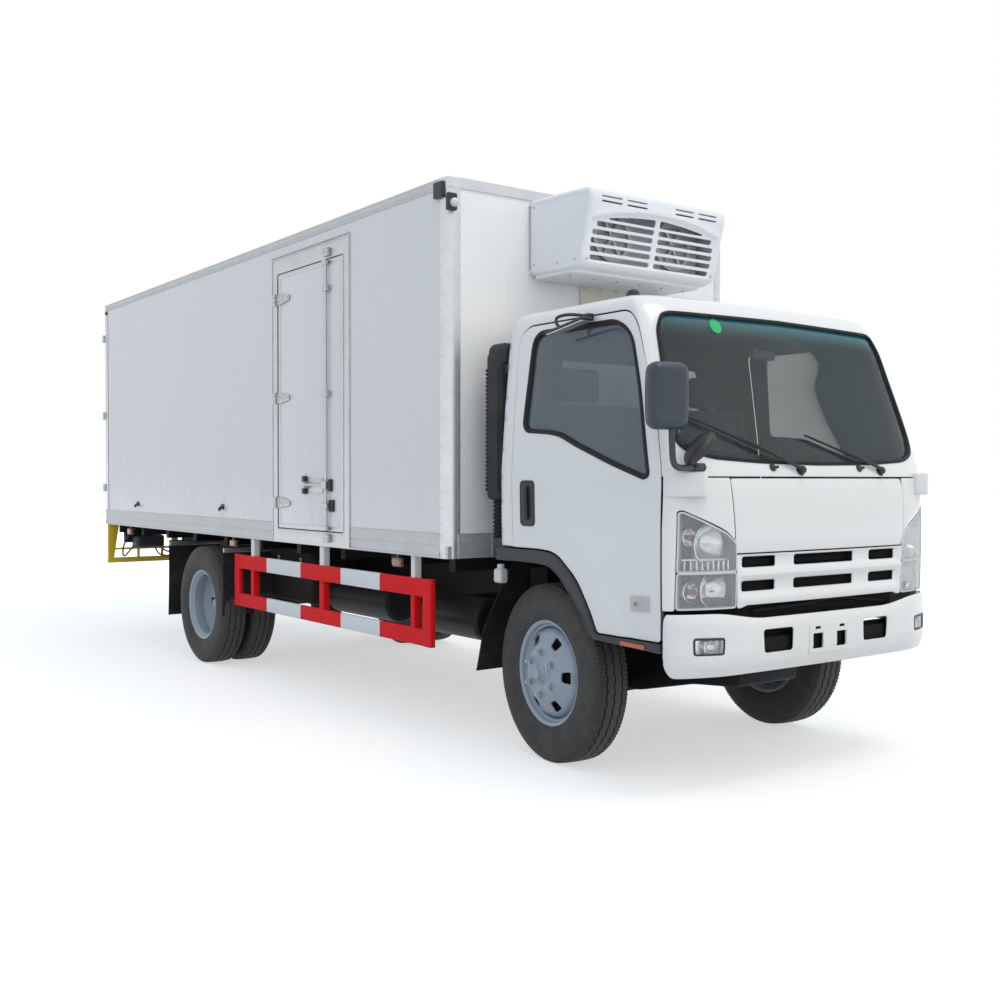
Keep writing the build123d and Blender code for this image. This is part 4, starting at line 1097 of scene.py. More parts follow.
def build_cab_shell():
    """Pillars, windscreen frame and roof sides in one pressing, the back wall, and the roof's
    crown.
    """
    seam = grown(door_loop(), DOOR_SEAM * 2)
    front_low, rear_low = 1.492, 1.118
    split_way = 2.268
    # the seam from the front edge at the cowl's base, over the door, to its lower rear corner
    start = np.argmin(np.abs(seam[:, 1] - front_low) + 10 * (seam[:, 0] > 1.3))
    ring = np.roll(seam, -start, axis=0)
    if ring[3, 1] < ring[0, 1]:
        ring = np.roll(ring[::-1], 1, axis=0)
    stop = np.argmin(np.abs(ring[:, 1] - rear_low - 0.004) + 10 * (ring[:, 0] < 1.9))
    over = ring[: stop + 1]
    over[0, 1] = front_low
    tail = [(split_way, over[-1, 1]), (split_way, 2.60)]
    half = np.vstack([over, tail])
    outline = resample(np.vstack([half, half[::-1] * vec(-1, 1)]), 0.04)
    shell = sheet_panel([outline, screen_loop()], cab_skin, 0.040, 0.004, 0.035, back=1)
    back_half = [
        (REAR_CENTRE - split_way - 0.002, rear_low), (REAR_CENTRE - split_way - 0.002, 2.60)]
    back_outline = resample(mirrored_loop(back_half)[[0, 1, 2, 3]], 0.05)
    window = rounded(mirrored_loop([(0.62, 1.74), (0.62, 2.16)]), 0.06)
    shell.join(
        sheet_panel([back_outline, resample(window, 0.04)], rear_skin, 0.040, 0.004, 0.05, back=1))
    ways = np.concatenate([np.linspace(-REAR_CENTRE, REAR_CENTRE, 121)[:-1]])
    rows = np.concatenate([[0.040, 0.003, 0.0005], np.zeros(7)])
    shrink = np.concatenate([[0.004, 0.004, 0.006], np.linspace(0.012, 1, 7)])
    rim = cab_skin(ways, 2.60, 0.0)
    middle = vec(0, -0.115, 0)
    crown = middle + (rim - middle) * (1 - shrink)[:, None, None]
    crown[..., 2] = (2.392 - rows)[:, None] + 0.008 * (1 - (1 - shrink) ** 2)[:, None]
    under = crown[::-1] - vec(0, 0, 0.038)
    under[-1] = crown[0]
    shell.grid(crown, 0, close_columns=True)
    return shell.grid(np.concatenate([crown[-1:], under]), 1, close_columns=True)


def gasket(loop, surface, half_width=0.014, out=0.006):
    """The rubber round a pane."""
    return bead(loop, surface, half_width, out, 0.014)


def build_screen_rubber():
    """Windscreen rubber, the dark printed border behind it, and the rear window's rubber."""
    loop = screen_loop()
    shape = gasket(loop, cab_skin, 0.009, 0.006)
    border = sheet_panel([loop, grown(loop, -0.030)], cab_skin, 0.0175, 0.001, 0.03, top=0.0165)
    shape.join(border)
    window = smooth_loop(mirrored_loop([(0.62, 1.74), (0.62, 2.16)]), 0.06, 0.03)
    return shape.join(gasket(window, rear_skin))


def build_panes():
    """Windscreen and rear window, each a thin curved sheet."""
    shape = sheet_panel([grown(screen_loop(), 0.004)], cab_skin, 0.0155, 0.001, 0.05, top=0.0105)
    window = smooth_loop(mirrored_loop([(0.624, 1.736), (0.624, 2.164)]), 0.06, 0.03)
    return shape.join(sheet_panel([window], rear_skin, 0.0155, 0.001, 0.08, top=0.0105))


def front_point(x, z, depth):
    """The point of the cab's front at (x, z), so far under its skin."""
    return cab_skin(on_front([(x, z)])[:, 0], z, depth)[0]


def front_line(xs, zs, depth):
    """A row of such points."""
    return cab_skin(on_front(np.column_stack([xs, zs]))[:, 0], zs, depth)


def side_point(y, z, depth):
    """The point of the cab's left side at (y, z), so far under its skin."""
    return cab_skin(on_side([(y, z)])[:, 0], z, depth)[0]


LAMP_XZ = (
    np.array([(632, 884), (640, 1186), (700, 1236), (912, 1334), (934, 1330), (940, 880)]) / 1000)
LAMP_SPLIT = 1.052
CORNER_TOP = 1.486
PANEL_TOP, PANEL_LOW = 1.484, 1.136


STEP_PLAN = np.array(
    [(800, -940), (800, -1000), (847, -1042), (968, -932), (984, -893), (930, -893)]) / 1000
STEP_HEIGHTS = (1.398, 1.514)


def build_front_corners():
    """The fixed corner panels with the lamps' places cut out, each with the step that mirrors stand
    on.
    """
    shape = Shape()
    edge = on_side([(-0.8935, z) for z in (0.880, 1.05, 1.25, CORNER_TOP)])
    edge[-1, 1] = CORNER_TOP
    inner = on_front([(0.660, CORNER_TOP), (0.646, 1.20)])
    strip = on_front([(0.944, 0.880)])
    top_line = on_front(grown(LAMP_XZ, 0.004)[1:5])
    outline = np.vstack(
        [strip, edge, inner[:1], on_front([(0.648, 1.20)]), top_line + vec(0, 0.001)])
    outline = smooth_loop(outline, 0.012, 0.02)
    panel = sheet_panel([outline], cab_skin, 0.030, 0.004, 0.03, back=1)
    plan = smooth_loop(STEP_PLAN, [0.005, 0.01, 0.022, 0.03, 0.01, 0.005], 0.012)
    step = slab(plan, *STEP_HEIGHTS, lambda u, v, w: np.stack([u, v, w], axis=-1), 0.009)
    return shape.join(panel).join(step).both()


def front_relief(way, climb, depth):
    """The front panel: a shallow raised field that rolls back at its top and lower edges."""
    edge = np.minimum(climb - PANEL_LOW, PANEL_TOP - climb)
    roll = 0.006 * (1 - smooth_step(edge, 0.0, 0.05))
    return cab_skin(way, climb, depth + roll)


def build_front_panel():
    """The plain front panel; its badge places are left bare."""
    outline = on_front(mirrored_loop([(0.640, PANEL_LOW), (0.656, PANEL_TOP)]))
    return sheet_panel([smooth_loop(outline, 0.018, 0.03)], front_relief, 0.030, 0.005, 0.03)


SLOT_ROWS = ((0.956, 1.004), (1.068, 1.118))
SLOT_ENDS = ((-0.592, -0.366), (-0.230, 0.230), (0.366, 0.592))


def grille_relief(way, climb, depth):
    """The grille: full round bars between the two rows of slots, and a lip at the foot."""
    middle = [(low + high) / 2 for low, high in SLOT_ROWS]
    sunk = sum(0.016 * np.exp(-(((climb - at) / 0.036) ** 4)) for at in middle)
    bar_lift = 0.006 * np.exp(-(((climb - 1.036) / 0.022) ** 2))
    lip_lift = 0.007 * np.exp(-(((climb - 0.918) / 0.02) ** 2))
    ends = 1 - smooth_step(np.abs(way), 0.602, 0.626)
    return cab_skin(way, climb, depth + (sunk - (bar_lift + lip_lift)) * ends)


def build_grille():
    """White grille: one moulding with two rows of three slots."""
    outline = on_front(
        mirrored_loop([(0.560, 0.892), (0.602, 0.880), (0.626, 0.880), (0.636, PANEL_LOW - 0.006)]))
    outline = smooth_loop(outline, 0.012, 0.025)
    loops = [outline]
    for low, high in SLOT_ROWS:
        for start, end in SLOT_ENDS:
            loops.append(on_front(resample(oblong(start, end, low, high, 0.012), 0.02)))
    # painted shade: the slots' inner walls and the moulding's back take the near-black finish
    return sheet_panel(loops, grille_relief, 0.034, 0.005, 0.014, back=1)


def build_grille_back():
    """The dark duct and core behind the grille's slots and in the gap under it."""
    shape = soft_box((-0.60, -0.985, 0.80), (0.60, -0.945, 1.12), 0.01)
    for level in np.linspace(0.84, 1.10, 12):
        shape.join(bar([(-0.56, -0.990, level), (0.56, -0.990, level)], 0.004, 6))
    pipe = curved(
        [(-0.50, -1.0, 0.86), (-0.1, -1.01, 0.875), (0.12, -1.01, 0.89), (0.5, -1.0, 0.85)])
    return shape.join(bar(pipe, 0.008, 8))


def bowl(centre, radius, deep, finish=0):
    """A lamp's reflector: a parabola turned about Y with its wall, open to the front."""
    t = np.linspace(0, 1, 9)
    inner = np.column_stack([-deep * (1 - t**2), radius * (0.12 + 0.88 * t)])
    lip = [(0.004, radius + 0.002), (0.002, radius + 0.006)]
    outer = np.column_stack(
        [-deep * (1 - t[::-1] ** 2) - 0.006, radius * (0.12 + 0.88 * t[::-1]) + 0.006])
    profile = np.vstack([[(-deep, 0.0)], inner, lip, outer, [(-deep - 0.006, 0.0)]])
    return turned(profile, centre, (0, -1, 0), 40, finish)


def lamp_tiers():
    """The outlines of the upper and lower lens as (x, z)."""
    upper = np.array(
        [
            (0.638, LAMP_SPLIT + 0.003), (0.641, 1.183), (0.700, 1.231), (0.912, 1.329),
            (0.930, 1.325), (0.936, LAMP_SPLIT + 0.003)])
    lower = np.array(
        [(0.636, 0.887), (0.638, LAMP_SPLIT - 0.003), (0.936, LAMP_SPLIT - 0.003), (0.937, 0.887)])
    return upper, lower


def build_lamp_bodies():
    """Headlamp insides: chrome trays, round reflectors, bulbs and amber turn lamps."""
    shape = Shape()
    for tier in lamp_tiers():
        outline = on_front(smooth_loop(grown(tier, -0.003), 0.012, 0.025))
        shape.join(sheet_panel([outline], cab_skin, 0.112, 0.002, 0.05, finish=2, top=0.100))
        rows = np.array([0.006, 0.03, 0.07, 0.104])[:, None]
        out, small = (cab_skin(loop[None, :, 0], loop[None, :, 1], rows)
                      for loop in (grown(outline, 0.0), grown(outline, -0.002)))
        shape.grid(np.concatenate([out, small[::-1]]), 2, close_rows=True, close_columns=True)
    for x, z, radius in (
            (0.790, 1.180, 0.088), (0.888, 1.212, 0.036), (0.760, 0.968, 0.080),
            (0.880, 0.962, 0.042)):
        centre = front_point(x, z, 0.040)
        shape.join(bowl(centre, radius, 0.055, 0))
        bulb = [(-0.04, 0.0), (-0.04, 0.009), (-0.01, 0.011), (0.004, 0.007), (0.008, 0.0)]
        shape.join(
            turned(bulb, centre - vec(0, 0.005, 0), (0, -1, 0), 16, 1 if radius < 0.05 else 0))
    for x in np.linspace(0.67, 0.91, 9):
        foot = front_point(x, 1.08, 0.04)
        shape.join(bar([foot + vec(0, 0, -0.024), foot + vec(0, 0, 0.024)], 0.005, 8, 0))
    shelf = cab_skin(on_front([(x, 1.11) for x in np.linspace(0.65, 0.925, 12)])[:, 0], 1.11, 0.035)
    shape.join(bar(shelf, 0.006, 8, 0))
    return shape.both()


def build_lamp_lenses():
    """Headlamp lenses in two tiers."""
    shape = Shape()
    for tier in lamp_tiers():
        outline = on_front(smooth_loop(tier, 0.014, 0.02))
        shape.join(sheet_panel([outline], cab_skin, 0.006, 0.0015, 0.04, 0, 0.001))
    return shape.both()


def build_lamp_frames():
    """Thin grey frame strips that part and edge the lenses."""
    shape = Shape()
    for tier in lamp_tiers():
        outline = on_front(smooth_loop(tier, 0.014, 0.02))
        shape.join(bead(outline, cab_skin, 0.0045, 0.0015, 0.012))
    return shape.both()


# ---- bumper ------------------------------------------------------------------------------
BUMPER_LOW, BUMPER_TOP = 0.552, 0.828
BUMPER_WAYS = (0.0, 0.660, 1.030)
BUMPER_HALF, BUMPER_TURN, TURN_Y, BUMPER_SIDE_Y = 0.985, 0.66, -1.050, -0.900


def bumper_skin(way, height, depth=0.0):
    """The bumper's form: a shallow arc with rounded corners, rolled in at the top, tucked under,
    higher at its ends.
    """
    way, height, depth = np.broadcast_arrays(np.asarray(way, float), height, depth)
    over = smooth_step(height, 0.785, BUMPER_TOP + 0.004)
    under = 1 - smooth_step(height, BUMPER_LOW - 0.01, 0.665)
    groove = 0.005 * np.exp(-(((height - 0.652) / 0.008) ** 2))
    deep = depth + 0.020 * over**1.5 + 0.034 * under**1.3 + groove
    part = np.interp(np.abs(way), BUMPER_WAYS, (0, 1, 2))
    t = np.clip(part, 0, 1)
    half, front = BUMPER_HALF - deep * 0.8, -1.0602 + deep
    arc_x, arc_y = BUMPER_TURN - deep / 2, TURN_Y + deep
    x0, y0 = arc_x * t, front + (arc_y - front) * t * t
    x1, y1 = corner_at(np.clip(part - 1, 0, 1), half, front, arc_x, arc_y, BUMPER_SIDE_Y)
    x = np.where(part <= 1, x0, x1)
    rise = 0.036 * smooth_step(np.abs(way), 0.45, 0.80) * smooth_step(height, 0.70, BUMPER_TOP)
    return np.stack([x * np.sign(way + 1e-12), np.where(part <= 1, y0, y1), height + rise], axis=-1)


def on_bumper(points):
    """(way, height) of points given as (x, z) on the bumper."""
    points = np.asarray(points, float)
    x = np.abs(points[:, 0])
    def corner_x(t):
        return corner_at(t, BUMPER_HALF, -1.064, BUMPER_TURN, TURN_Y, BUMPER_SIDE_Y)[0]

    t = solve(corner_x, np.clip(x, BUMPER_TURN, BUMPER_HALF))
    part = np.where(x <= BUMPER_TURN, x / BUMPER_TURN, 1 + t)
    way = np.interp(part, (0, 1, 2), BUMPER_WAYS) * np.sign(points[:, 0] + 1e-12)
    return np.column_stack([way, points[:, 1]])


OPENING_XZ = np.array([(0.274, 0.664), (0.470, 0.664), (0.478, 0.774), (0.270, 0.774)])
FOG_XZ = np.array([(0.732, 0.678), (0.878, 0.680), (0.880, 0.746), (0.728, 0.744)])
POCKET_XZ = np.array([(0.052, 0.655), (0.128, 0.655), (0.128, 0.730), (0.052, 0.730)])
SLIT_XZ = np.array([(0.072, 0.750), (0.112, 0.750), (0.112, 0.763), (0.072, 0.763)])


def build_bumper():
    """White bumper with two openings, two lamp recesses and the pockets for a plate holder."""
    outline = mirrored_loop(
        [
            (0.975, BUMPER_LOW + 0.02), (1.030, BUMPER_LOW + 0.075), (1.030, BUMPER_TOP - 0.015),
            (1.018, BUMPER_TOP)])
    outline = smooth_loop(outline, [0.06, 0.05, 0.02, 0.02, 0.02, 0.02, 0.05, 0.06], 0.03)
    loops = [outline]
    for corners, reach in ((OPENING_XZ, 0.018), (FOG_XZ, 0.012), (POCKET_XZ, 0.005)):
        loop = smooth_loop(corners, reach, 0.02 if corners is not POCKET_XZ else 0.012)
        loops += [on_bumper(loop), on_bumper(loop * vec(-1, 1))]
    # painted shade: the inner walls of the openings and the bumper's back take the near-black
    # finish
    shape = sheet_panel(loops, bumper_skin, 0.012, 0.005, 0.02, back=1)
    plate = resample(oblong(-0.155, 0.155, 0.632, 0.776, 0.008), 0.02)
    holes = [
        smooth_loop(corners * vec(side, 1), 0.003, 0.012) for side in (1, -1)
        for corners in (POCKET_XZ, SLIT_XZ)]
    shape.join(sheet_panel([plate, *holes], bumper_skin, 0.002, 0.002, 0.02, top=-0.0035))
    for side in (1, -1):
        cover = smooth_loop(SLIT_XZ * vec(side, 1), 0.003, 0.012)
        shape.join(sheet_panel([cover], bumper_skin, 0.002, 0.0005, 0.02, 1, -0.0008))
    return shape


def build_bumper_back():
    """Dark trays behind the bumper's openings, and the black strip low behind its top edge."""
    shape = soft_box((-0.50, -1.033, 0.640), (0.50, -1.010, 0.735), 0.006)
    strip = np.linspace(-1.02, 1.02, 41)
    path = bumper_skin(strip, 0.720, 0.060)
    rows = np.array([(-0.03, 0.0), (-0.03, 0.014), (0.03, 0.014), (0.03, 0.0)])
    grid = path[:, None] + np.stack([np.zeros(4), rows[:, 1], rows[:, 0]], axis=1)[None]
    return shape.tube(grid)


def build_fog_lamps():
    """Fog lamps: reflector, then a clear lens flush with the bumper."""
    tray = on_bumper(smooth_loop(grown(FOG_XZ, -0.003), 0.010, 0.02))
    shape = sheet_panel([tray], bumper_skin, 0.052, 0.002, 0.03, 0, 0.044)
    shape.join(bead(tray, bumper_skin, 0.004, 0.0015, 0.01, 2))
    rows = np.array([0.006, 0.046])
    out, small = tray, grown(tray, -0.002)
    wall = [bumper_skin(ring[None, :, 0], ring[None, :, 1], rows[:, None]) for ring in (out, small)]
    shape.grid(np.concatenate([wall[0], wall[1][::-1]]), 0, close_rows=True, close_columns=True)
    centre = bumper_skin(on_bumper([(0.805, 0.712)])[:, 0], 0.712, 0.022)[0]
    shape.join(bowl(centre, 0.030, 0.02, 0))
    lens = sheet_panel([tray], bumper_skin, 0.008, 0.0015, 0.03, 1, 0.003)
    return shape.join(lens).both()


# ---- doors -------------------------------------------------------------------------------


def build_door():
    """A cab door for the left side: pressed skin with its window opening."""
    rim = grown(door_loop(), -0.0005)
    hole = window_loop()
    return sheet_panel([rim, hole], door_lip, 0.044, 0.004, 0.03, back=1)


def build_door_rubber():
    """Window rubber: wider along the foot, where the glass goes down into the door."""
    return gasket(grown(window_loop(), -0.002), cab_skin, 0.012, 0.005)


def build_door_pane():
    """The door's glass."""
    return sheet_panel([grown(window_loop(), 0.003)], cab_skin, 0.0155, 0.001, 0.06, top=0.0105)


def build_sticker():
    """A plain disc stuck inside the windscreen's upper corner."""
    def on_screen(u, v, depth):
        return cab_skin(u, v, depth + 0.009)

    disc = on_front([(-0.478, 2.226)])[0] + circle(0.037, 24)
    return sheet_panel([disc], on_screen, 0.001, 0.0002, 0.03)


def build_door_handle():
    """Black pull handle in its rounded recess."""
    plate = on_side(
        smooth_loop([(0.036, 1.238), (0.142, 1.238), (0.150, 1.466), (0.044, 1.466)], 0.024, 0.012))
    shape = sheet_panel([plate], cab_skin, 0.004, 0.003, 0.03, 0, -0.003)
    shape.join(bead(plate, cab_skin, 0.006, 0.006, 0.004))
    low, high = side_point(0.094, 1.27, -0.004), side_point(0.1, 1.44, -0.004)
    middle = (low + high) / 2 + vec(0.008, 0, 0)
    path = curved([low, low + vec(0.007, 0.0, 0.02), middle, high + vec(0.007, 0, -0.02), high], 16)
    handle = bar(path, 0.016, 14)
    return shape.join(handle)


def build_repeater():
    """Side turn lamp low on the door: a clear lens with an amber bulb on a plain base."""
    base = on_side(
        smooth_loop(
            [(-0.822, 0.866), (-0.694, 0.860), (-0.690, 0.936), (-0.818, 0.944)], 0.012, 0.01))
    shape = sheet_panel([base], cab_skin, 0.004, 0.002, 0.03, 0, -0.004)
    lens = grown(base, -0.006)
    shape.join(sheet_panel([lens], cab_skin, -0.003, 0.003, 0.03, 1, -0.013))
    centre = side_point(-0.725, 0.897, -0.006)
    shape.join(studs([centre], (1, 0, 0), 0.011, 0.004, 2))
    return shape


# ---- flares, mirrors, wipers and small cab pieces ----------------------------------------
FLARE_TOP = np.array(
    [
        (354, 1112), (-11, 1112), (-117, 1104), (-173, 1081), (-306, 980), (-405, 831), (-457, 729),
        (-893, 729)]) / 1000
FLARE_LOW = np.array(
    [
        (-892, 686), (-440, 700), (-420, 714), (-350, 826), (-265, 915), (-154, 1012), (-24, 1050),
        (354, 1052)]) / 1000


def build_flares():
    """Black arch flares with a rounded lip, and the sill strip ahead of each wheel."""
    outline = np.vstack([FLARE_TOP, FLARE_LOW])
    reach = [
        0.01, 0.08, 0.05, 0.08, 0.1, 0.08, 0.02, 0.01, 0.01, 0.03, 0.03, 0.08, 0.08, 0.08, 0.08,
        0.01]
    outline = smooth_loop(outline, reach, 0.03)

    shape = slab(outline, 0.925, 1.004, to_side, 0.010)
    lip = curved([(0.998, y, z) for y, z in FLARE_LOW[2:][::-1]], 40)
    return shape.join(bar(lip, 0.009, 8)).both()


def build_reflectors():
    """Orange reflector strip on each sill."""
    strip = smooth_loop(
        [(-0.800, 0.694), (-0.640, 0.698), (-0.640, 0.718), (-0.800, 0.714)], 0.004, 0.01)

    return slab(strip, 1.000, 1.008, to_side, 0.002).both()


def build_main_mirror():
    """The large mirror of the right front corner: its housing, its glass and its bent tube on the
    step.
    """
    centre = vec(1.048, -0.985, 1.848)
    size, yaw = vec(0.095, 0.045, 0.150), 12.0
    head = soft_box(centre - size, centre + size, 0.042, 0.007, 0, yaw)
    for level in (-0.055, 0.055):
        head.join(
            bar([centre + vec(-0.05, -0.052, level), centre + vec(0.03, -0.040, level)], 0.003, 6))
    path = curved(
        [
            (0.852, -0.990, 1.532), (0.93, -0.995, 1.530), (0.992, -0.998, 1.533),
            (1.020, -0.998, 1.560), (1.024, -0.994, 1.63), (1.024, -0.990, 1.72)],
        36)
    head.join(bar(path, 0.0145, 14))
    head.join(soft_box((0.826, -1.020, 1.514), (0.893, -0.950, 1.552), 0.012))
    head.join(studs([(0.88, -1.018, 1.535), (0.84, -1.018, 1.532)], (0, -1, 0), 0.008, 0.006))
    turn = math.radians(yaw)
    across, out = vec(math.cos(turn), math.sin(turn), 0), vec(-math.sin(turn), math.cos(turn), 0)
    face = centre + out * 0.046

    def place(u, v, w):
        return face + u[..., None] * across + v[..., None] * vec(0, 0, 1) + w[..., None] * out

    outline = resample(oblong(-0.078, 0.078, -0.132, 0.132, 0.03), 0.02)
    return head.join(slab(outline, -0.004, 0.003, place, 0.002, 1)).mirrored()


def build_front_mirror():
    """The small oval mirror of the right front corner: a shallow dish that leans inwards.

    A point of the dish is c + long r(t) cos(a) + wide r(t) sin(a) + out h(t).
    """
    centre = vec(0.858, -1.000, 1.621)
    lean = math.radians(45.0)
    long, wide = vec(-math.cos(lean), 0, math.sin(lean)) * 0.104, vec(0, 0.062, 0)
    out = vec(-math.sin(lean), 0, -math.cos(lean))
    turn = full_turn(36)
    around = np.cos(turn)[:, None] * long + np.sin(turn)[:, None] * wide

    def dish(profile, finish):
        profile = np.asarray(profile)
        rings = centre + around[None] * profile[:, 0, None, None] + out * profile[:, 1, None, None]
        return Shape().grid(rings, finish, close_columns=True)

    bend = np.linspace(0, math.pi / 2, 8)
    back = np.column_stack([np.sin(bend), -0.034 * np.cos(bend)])
    shape = dish(np.vstack([back, [(1.02, 0.004), (1.0, 0.008), (0.95, 0.008)]]), 0)
    shape.join(dish([(0.95, 0.008), (0.93, 0.006), (0.5, 0.009), (0.0, 0.010)], 1))
    foot = vec(0.868, -0.990, 1.540)
    shape.join(
        bar(
            curved([foot, foot + vec(0.012, -0.002, 0.012), centre + vec(0.062, 0.0, -0.048)], 8),
            0.011, 12, 0))
    shape.join(bar([foot + vec(0.0, -0.022, 0.004), foot + vec(0, 0.022, 0.004)], 0.008, 10, 2))
    shape.join(
        bar([foot + vec(0.030, -0.016, 0.012), foot + vec(0.030, 0.016, 0.012)], 0.006, 10, 2))
    return shape.mirrored()


def build_over_door_mirror():
    """The small mirror over the right door: a thin plate on a bent tube with its black block."""
    shape = soft_box((0.905, -0.335, 2.262), (0.945, -0.262, 2.298), 0.008)
    path = curved(
        [
            (0.930, -0.300, 2.288), (0.968, -0.215, 2.300), (0.990, -0.150, 2.292),
            (0.998, -0.150, 2.262), (1.000, -0.185, 2.238), (1.000, -0.230, 2.236)],
        30)
    shape.join(bar(path, 0.0080, 10))
    centre = vec(1.000, -0.243, 2.236)
    size, lean = vec(0.036, 0.150, 0.0085), -9.0
    plate = soft_box(centre - size, centre + size, 0.0070, lean=lean)
    low, high = centre - vec(0.031, 0.142, 0.011), centre + vec(0.031, 0.142, -0.006)
    glass = soft_box(low, high, 0.002, finish=1, about=centre, lean=lean)
    return shape.join(plate).join(glass).on(-1)


def build_wipers():
    """Two wipers: pivots with their caps, flat arms, and bow-backed blades that lie on the screen.
    """
    shape = Shape()
    for start_x, tip_x, tip_z in ((-0.165, -0.790, 1.762), (0.470, -0.060, 1.690)):
        start = front_point(start_x, 1.528, -0.012)
        tip = front_point(tip_x, tip_z, -0.020)
        share = np.linspace(0, 1, 22)
        xs = start[0] + (tip[0] - start[0]) * share
        zs = start[2] + (tip[2] - start[2]) * share + 0.012 * np.sin(math.pi * share)
        on_glass = front_line(xs, zs, -0.020)
        on_glass[0] = start
        shape.join(bar(on_glass[:13], np.linspace(0.010, 0.006, 13), 10))
        blade = 0.62 + np.linspace(-0.30, 0.42, 20) * 0.95
        bx = start[0] + (tip[0] - start[0]) * blade
        bz = start[2] + (tip[2] - start[2]) * blade + 0.004
        for height, radius in ((-0.006, 0.0045), (-0.018, 0.0035)):
            shape.join(bar(front_line(bx, bz, height), radius, 8))
        for at in (3, 8, 12, 16):
            line = front_line(bx, bz, -0.006)[at]
            shape.join(bar([line, line + vec(0, -0.013, 0.004)], 0.005, 6))
        shape.join(studs([start + vec(0, -0.004, -0.002)], (0, -0.9, 0.4), 0.020, 0.016, 0, 20))
        shape.join(studs([start + vec(0, 0.012, -0.006)], (0, -0.9, 0.4), 0.028, 0.010, 0, 20))
    for knob_x in (-0.36, 0.30):
        place = front_point(knob_x, 1.535, 0.0)
        shape.join(studs([place], (0, -0.9, 0.4), 0.020, 0.012, 0, 20))
        shape.join(bar([place, place + vec(0.03, -0.012, 0.004)], 0.007, 8))
    return shape


def build_dome():
    """Aerial dome on the right of the roof's front: a round black cap on a wider foot."""
    centre = (-0.757, -0.451, 2.345)
    foot = [(-0.012, 0.0), (-0.012, 0.0435), (0.016, 0.0435), (0.022, 0.038), (0.022, 0.0)]
    cap = [
        (0.020, 0.0), (0.020, 0.037), (0.044, 0.0355), (0.060, 0.029), (0.069, 0.016), (0.072, 0.0)]
    return turned(foot, centre, (0, 0, 1), 32).join(turned(cap, centre, (0, 0, 1), 32))


def build_intake():
    """Air intake behind the cab: tall moulded duct with a corrugated edge, gauze slots and bellows
    under it.
    """
    shape = soft_box((-0.930, 0.425, 1.362), (-0.800, 0.560, 2.180), 0.030, 0.004)
    shape.join(soft_box((-0.925, 0.400, 2.100), (-0.800, 0.560, 2.228), 0.045))
    heights = np.arange(1.42, 2.10, 0.022)
    for y in (0.440, 0.545):
        shape.join(studs(points_at(-0.926, y, heights), (-1, 0, 0), 0.008, 0.010, 0, 8))
    ribs = np.linspace(0, 1, 61)
    profile = np.column_stack(
        [1.150 + 0.22 * ribs, 0.050 + 0.007 * np.cos(ribs * 2 * math.pi * 10)])
    profile = np.vstack([[(1.150, 0.0)], profile, [(1.370, 0.0)]])
    shape.join(turned(profile, (-0.860, 0.490, 0.0), (0, 0, 1), 28))
    for height in (1.53, 2.08):
        shape.join(soft_box((-0.900, 0.372, height - 0.03), (-0.840, 0.432, height + 0.03), 0.008))
    return shape


def build_washer_bottle():
    """White washer bottle with its round cap, low behind the cab."""
    shape = soft_box((-0.930, 0.415, 0.905), (-0.870, 0.485, 0.985), 0.016)
    shape.join(
        turned(
            [(0.0, 0.0), (0.0, 0.020), (0.020, 0.020), (0.024, 0.016), (0.024, 0.0)],
            (-0.9, 0.45, 0.985), (0, 0, 1), 20))
    return shape

# ---- cooling unit ------------------------------------------------------------------------
# Each row: distance down the front profile, y, z. The profile runs over the top, down the front and
# under.
UNIT_HALF = 0.533
UNIT_PROFILE = np.array(
    [
        (0.0, 0.674, 3.098), (0.44, 0.236, 3.087), (0.50, 0.176, 3.083), (0.552, 0.131, 3.064),
        (0.60, 0.124, 3.024), (0.70, 0.148, 2.928), (0.80, 0.172, 2.832), (0.90, 0.196, 2.736),
        (0.955, 0.213, 2.684), (0.995, 0.245, 2.660), (1.06, 0.310, 2.652), (1.42, 0.674, 2.664)])


def unit_skin(across, down, depth=0.0):
    """The cooler's shell: its profile carried across, a brow arched over the openings, ends rounded
    back.
    """
    across, down, depth = np.broadcast_arrays(np.asarray(across, float), down, depth)
    y = smooth_table(UNIT_PROFILE[:, 0], UNIT_PROFILE[:, 1], down)
    z = smooth_table(UNIT_PROFILE[:, 0], UNIT_PROFILE[:, 2], down)
    step, end_round = 0.004, 0.022
    ahead = smooth_table(UNIT_PROFILE[:, 0], UNIT_PROFILE[:, 1], down + step) - y
    under = smooth_table(UNIT_PROFILE[:, 0], UNIT_PROFILE[:, 2], down + step) - z
    way = unit(np.stack([ahead, under], axis=-1))
    arch = 0.648 + 0.060 * (across / 0.47) ** 2
    front = smooth_step(down, 0.56, 0.60) * (1 - smooth_step(down, 0.93, 0.96))
    inside = 1 - smooth_step(np.abs(across), 0.488, 0.506)
    brow = 0.010 * np.exp(-(((down - arch + 0.012) / 0.018) ** 2)) * inside
    sunk = 0.010 * smooth_step(down, arch - 0.004, arch + 0.014) * inside
    deep = depth - brow * front + sunk * front
    rim = np.clip((np.abs(across) - (UNIT_HALF - end_round)) / end_round, 0, 1)
    deep = deep + end_round * (1 - np.sqrt(np.maximum(1 - rim**2, 0)))
    return np.stack([across, y - way[..., 1] * deep, z + way[..., 0] * deep], axis=-1)


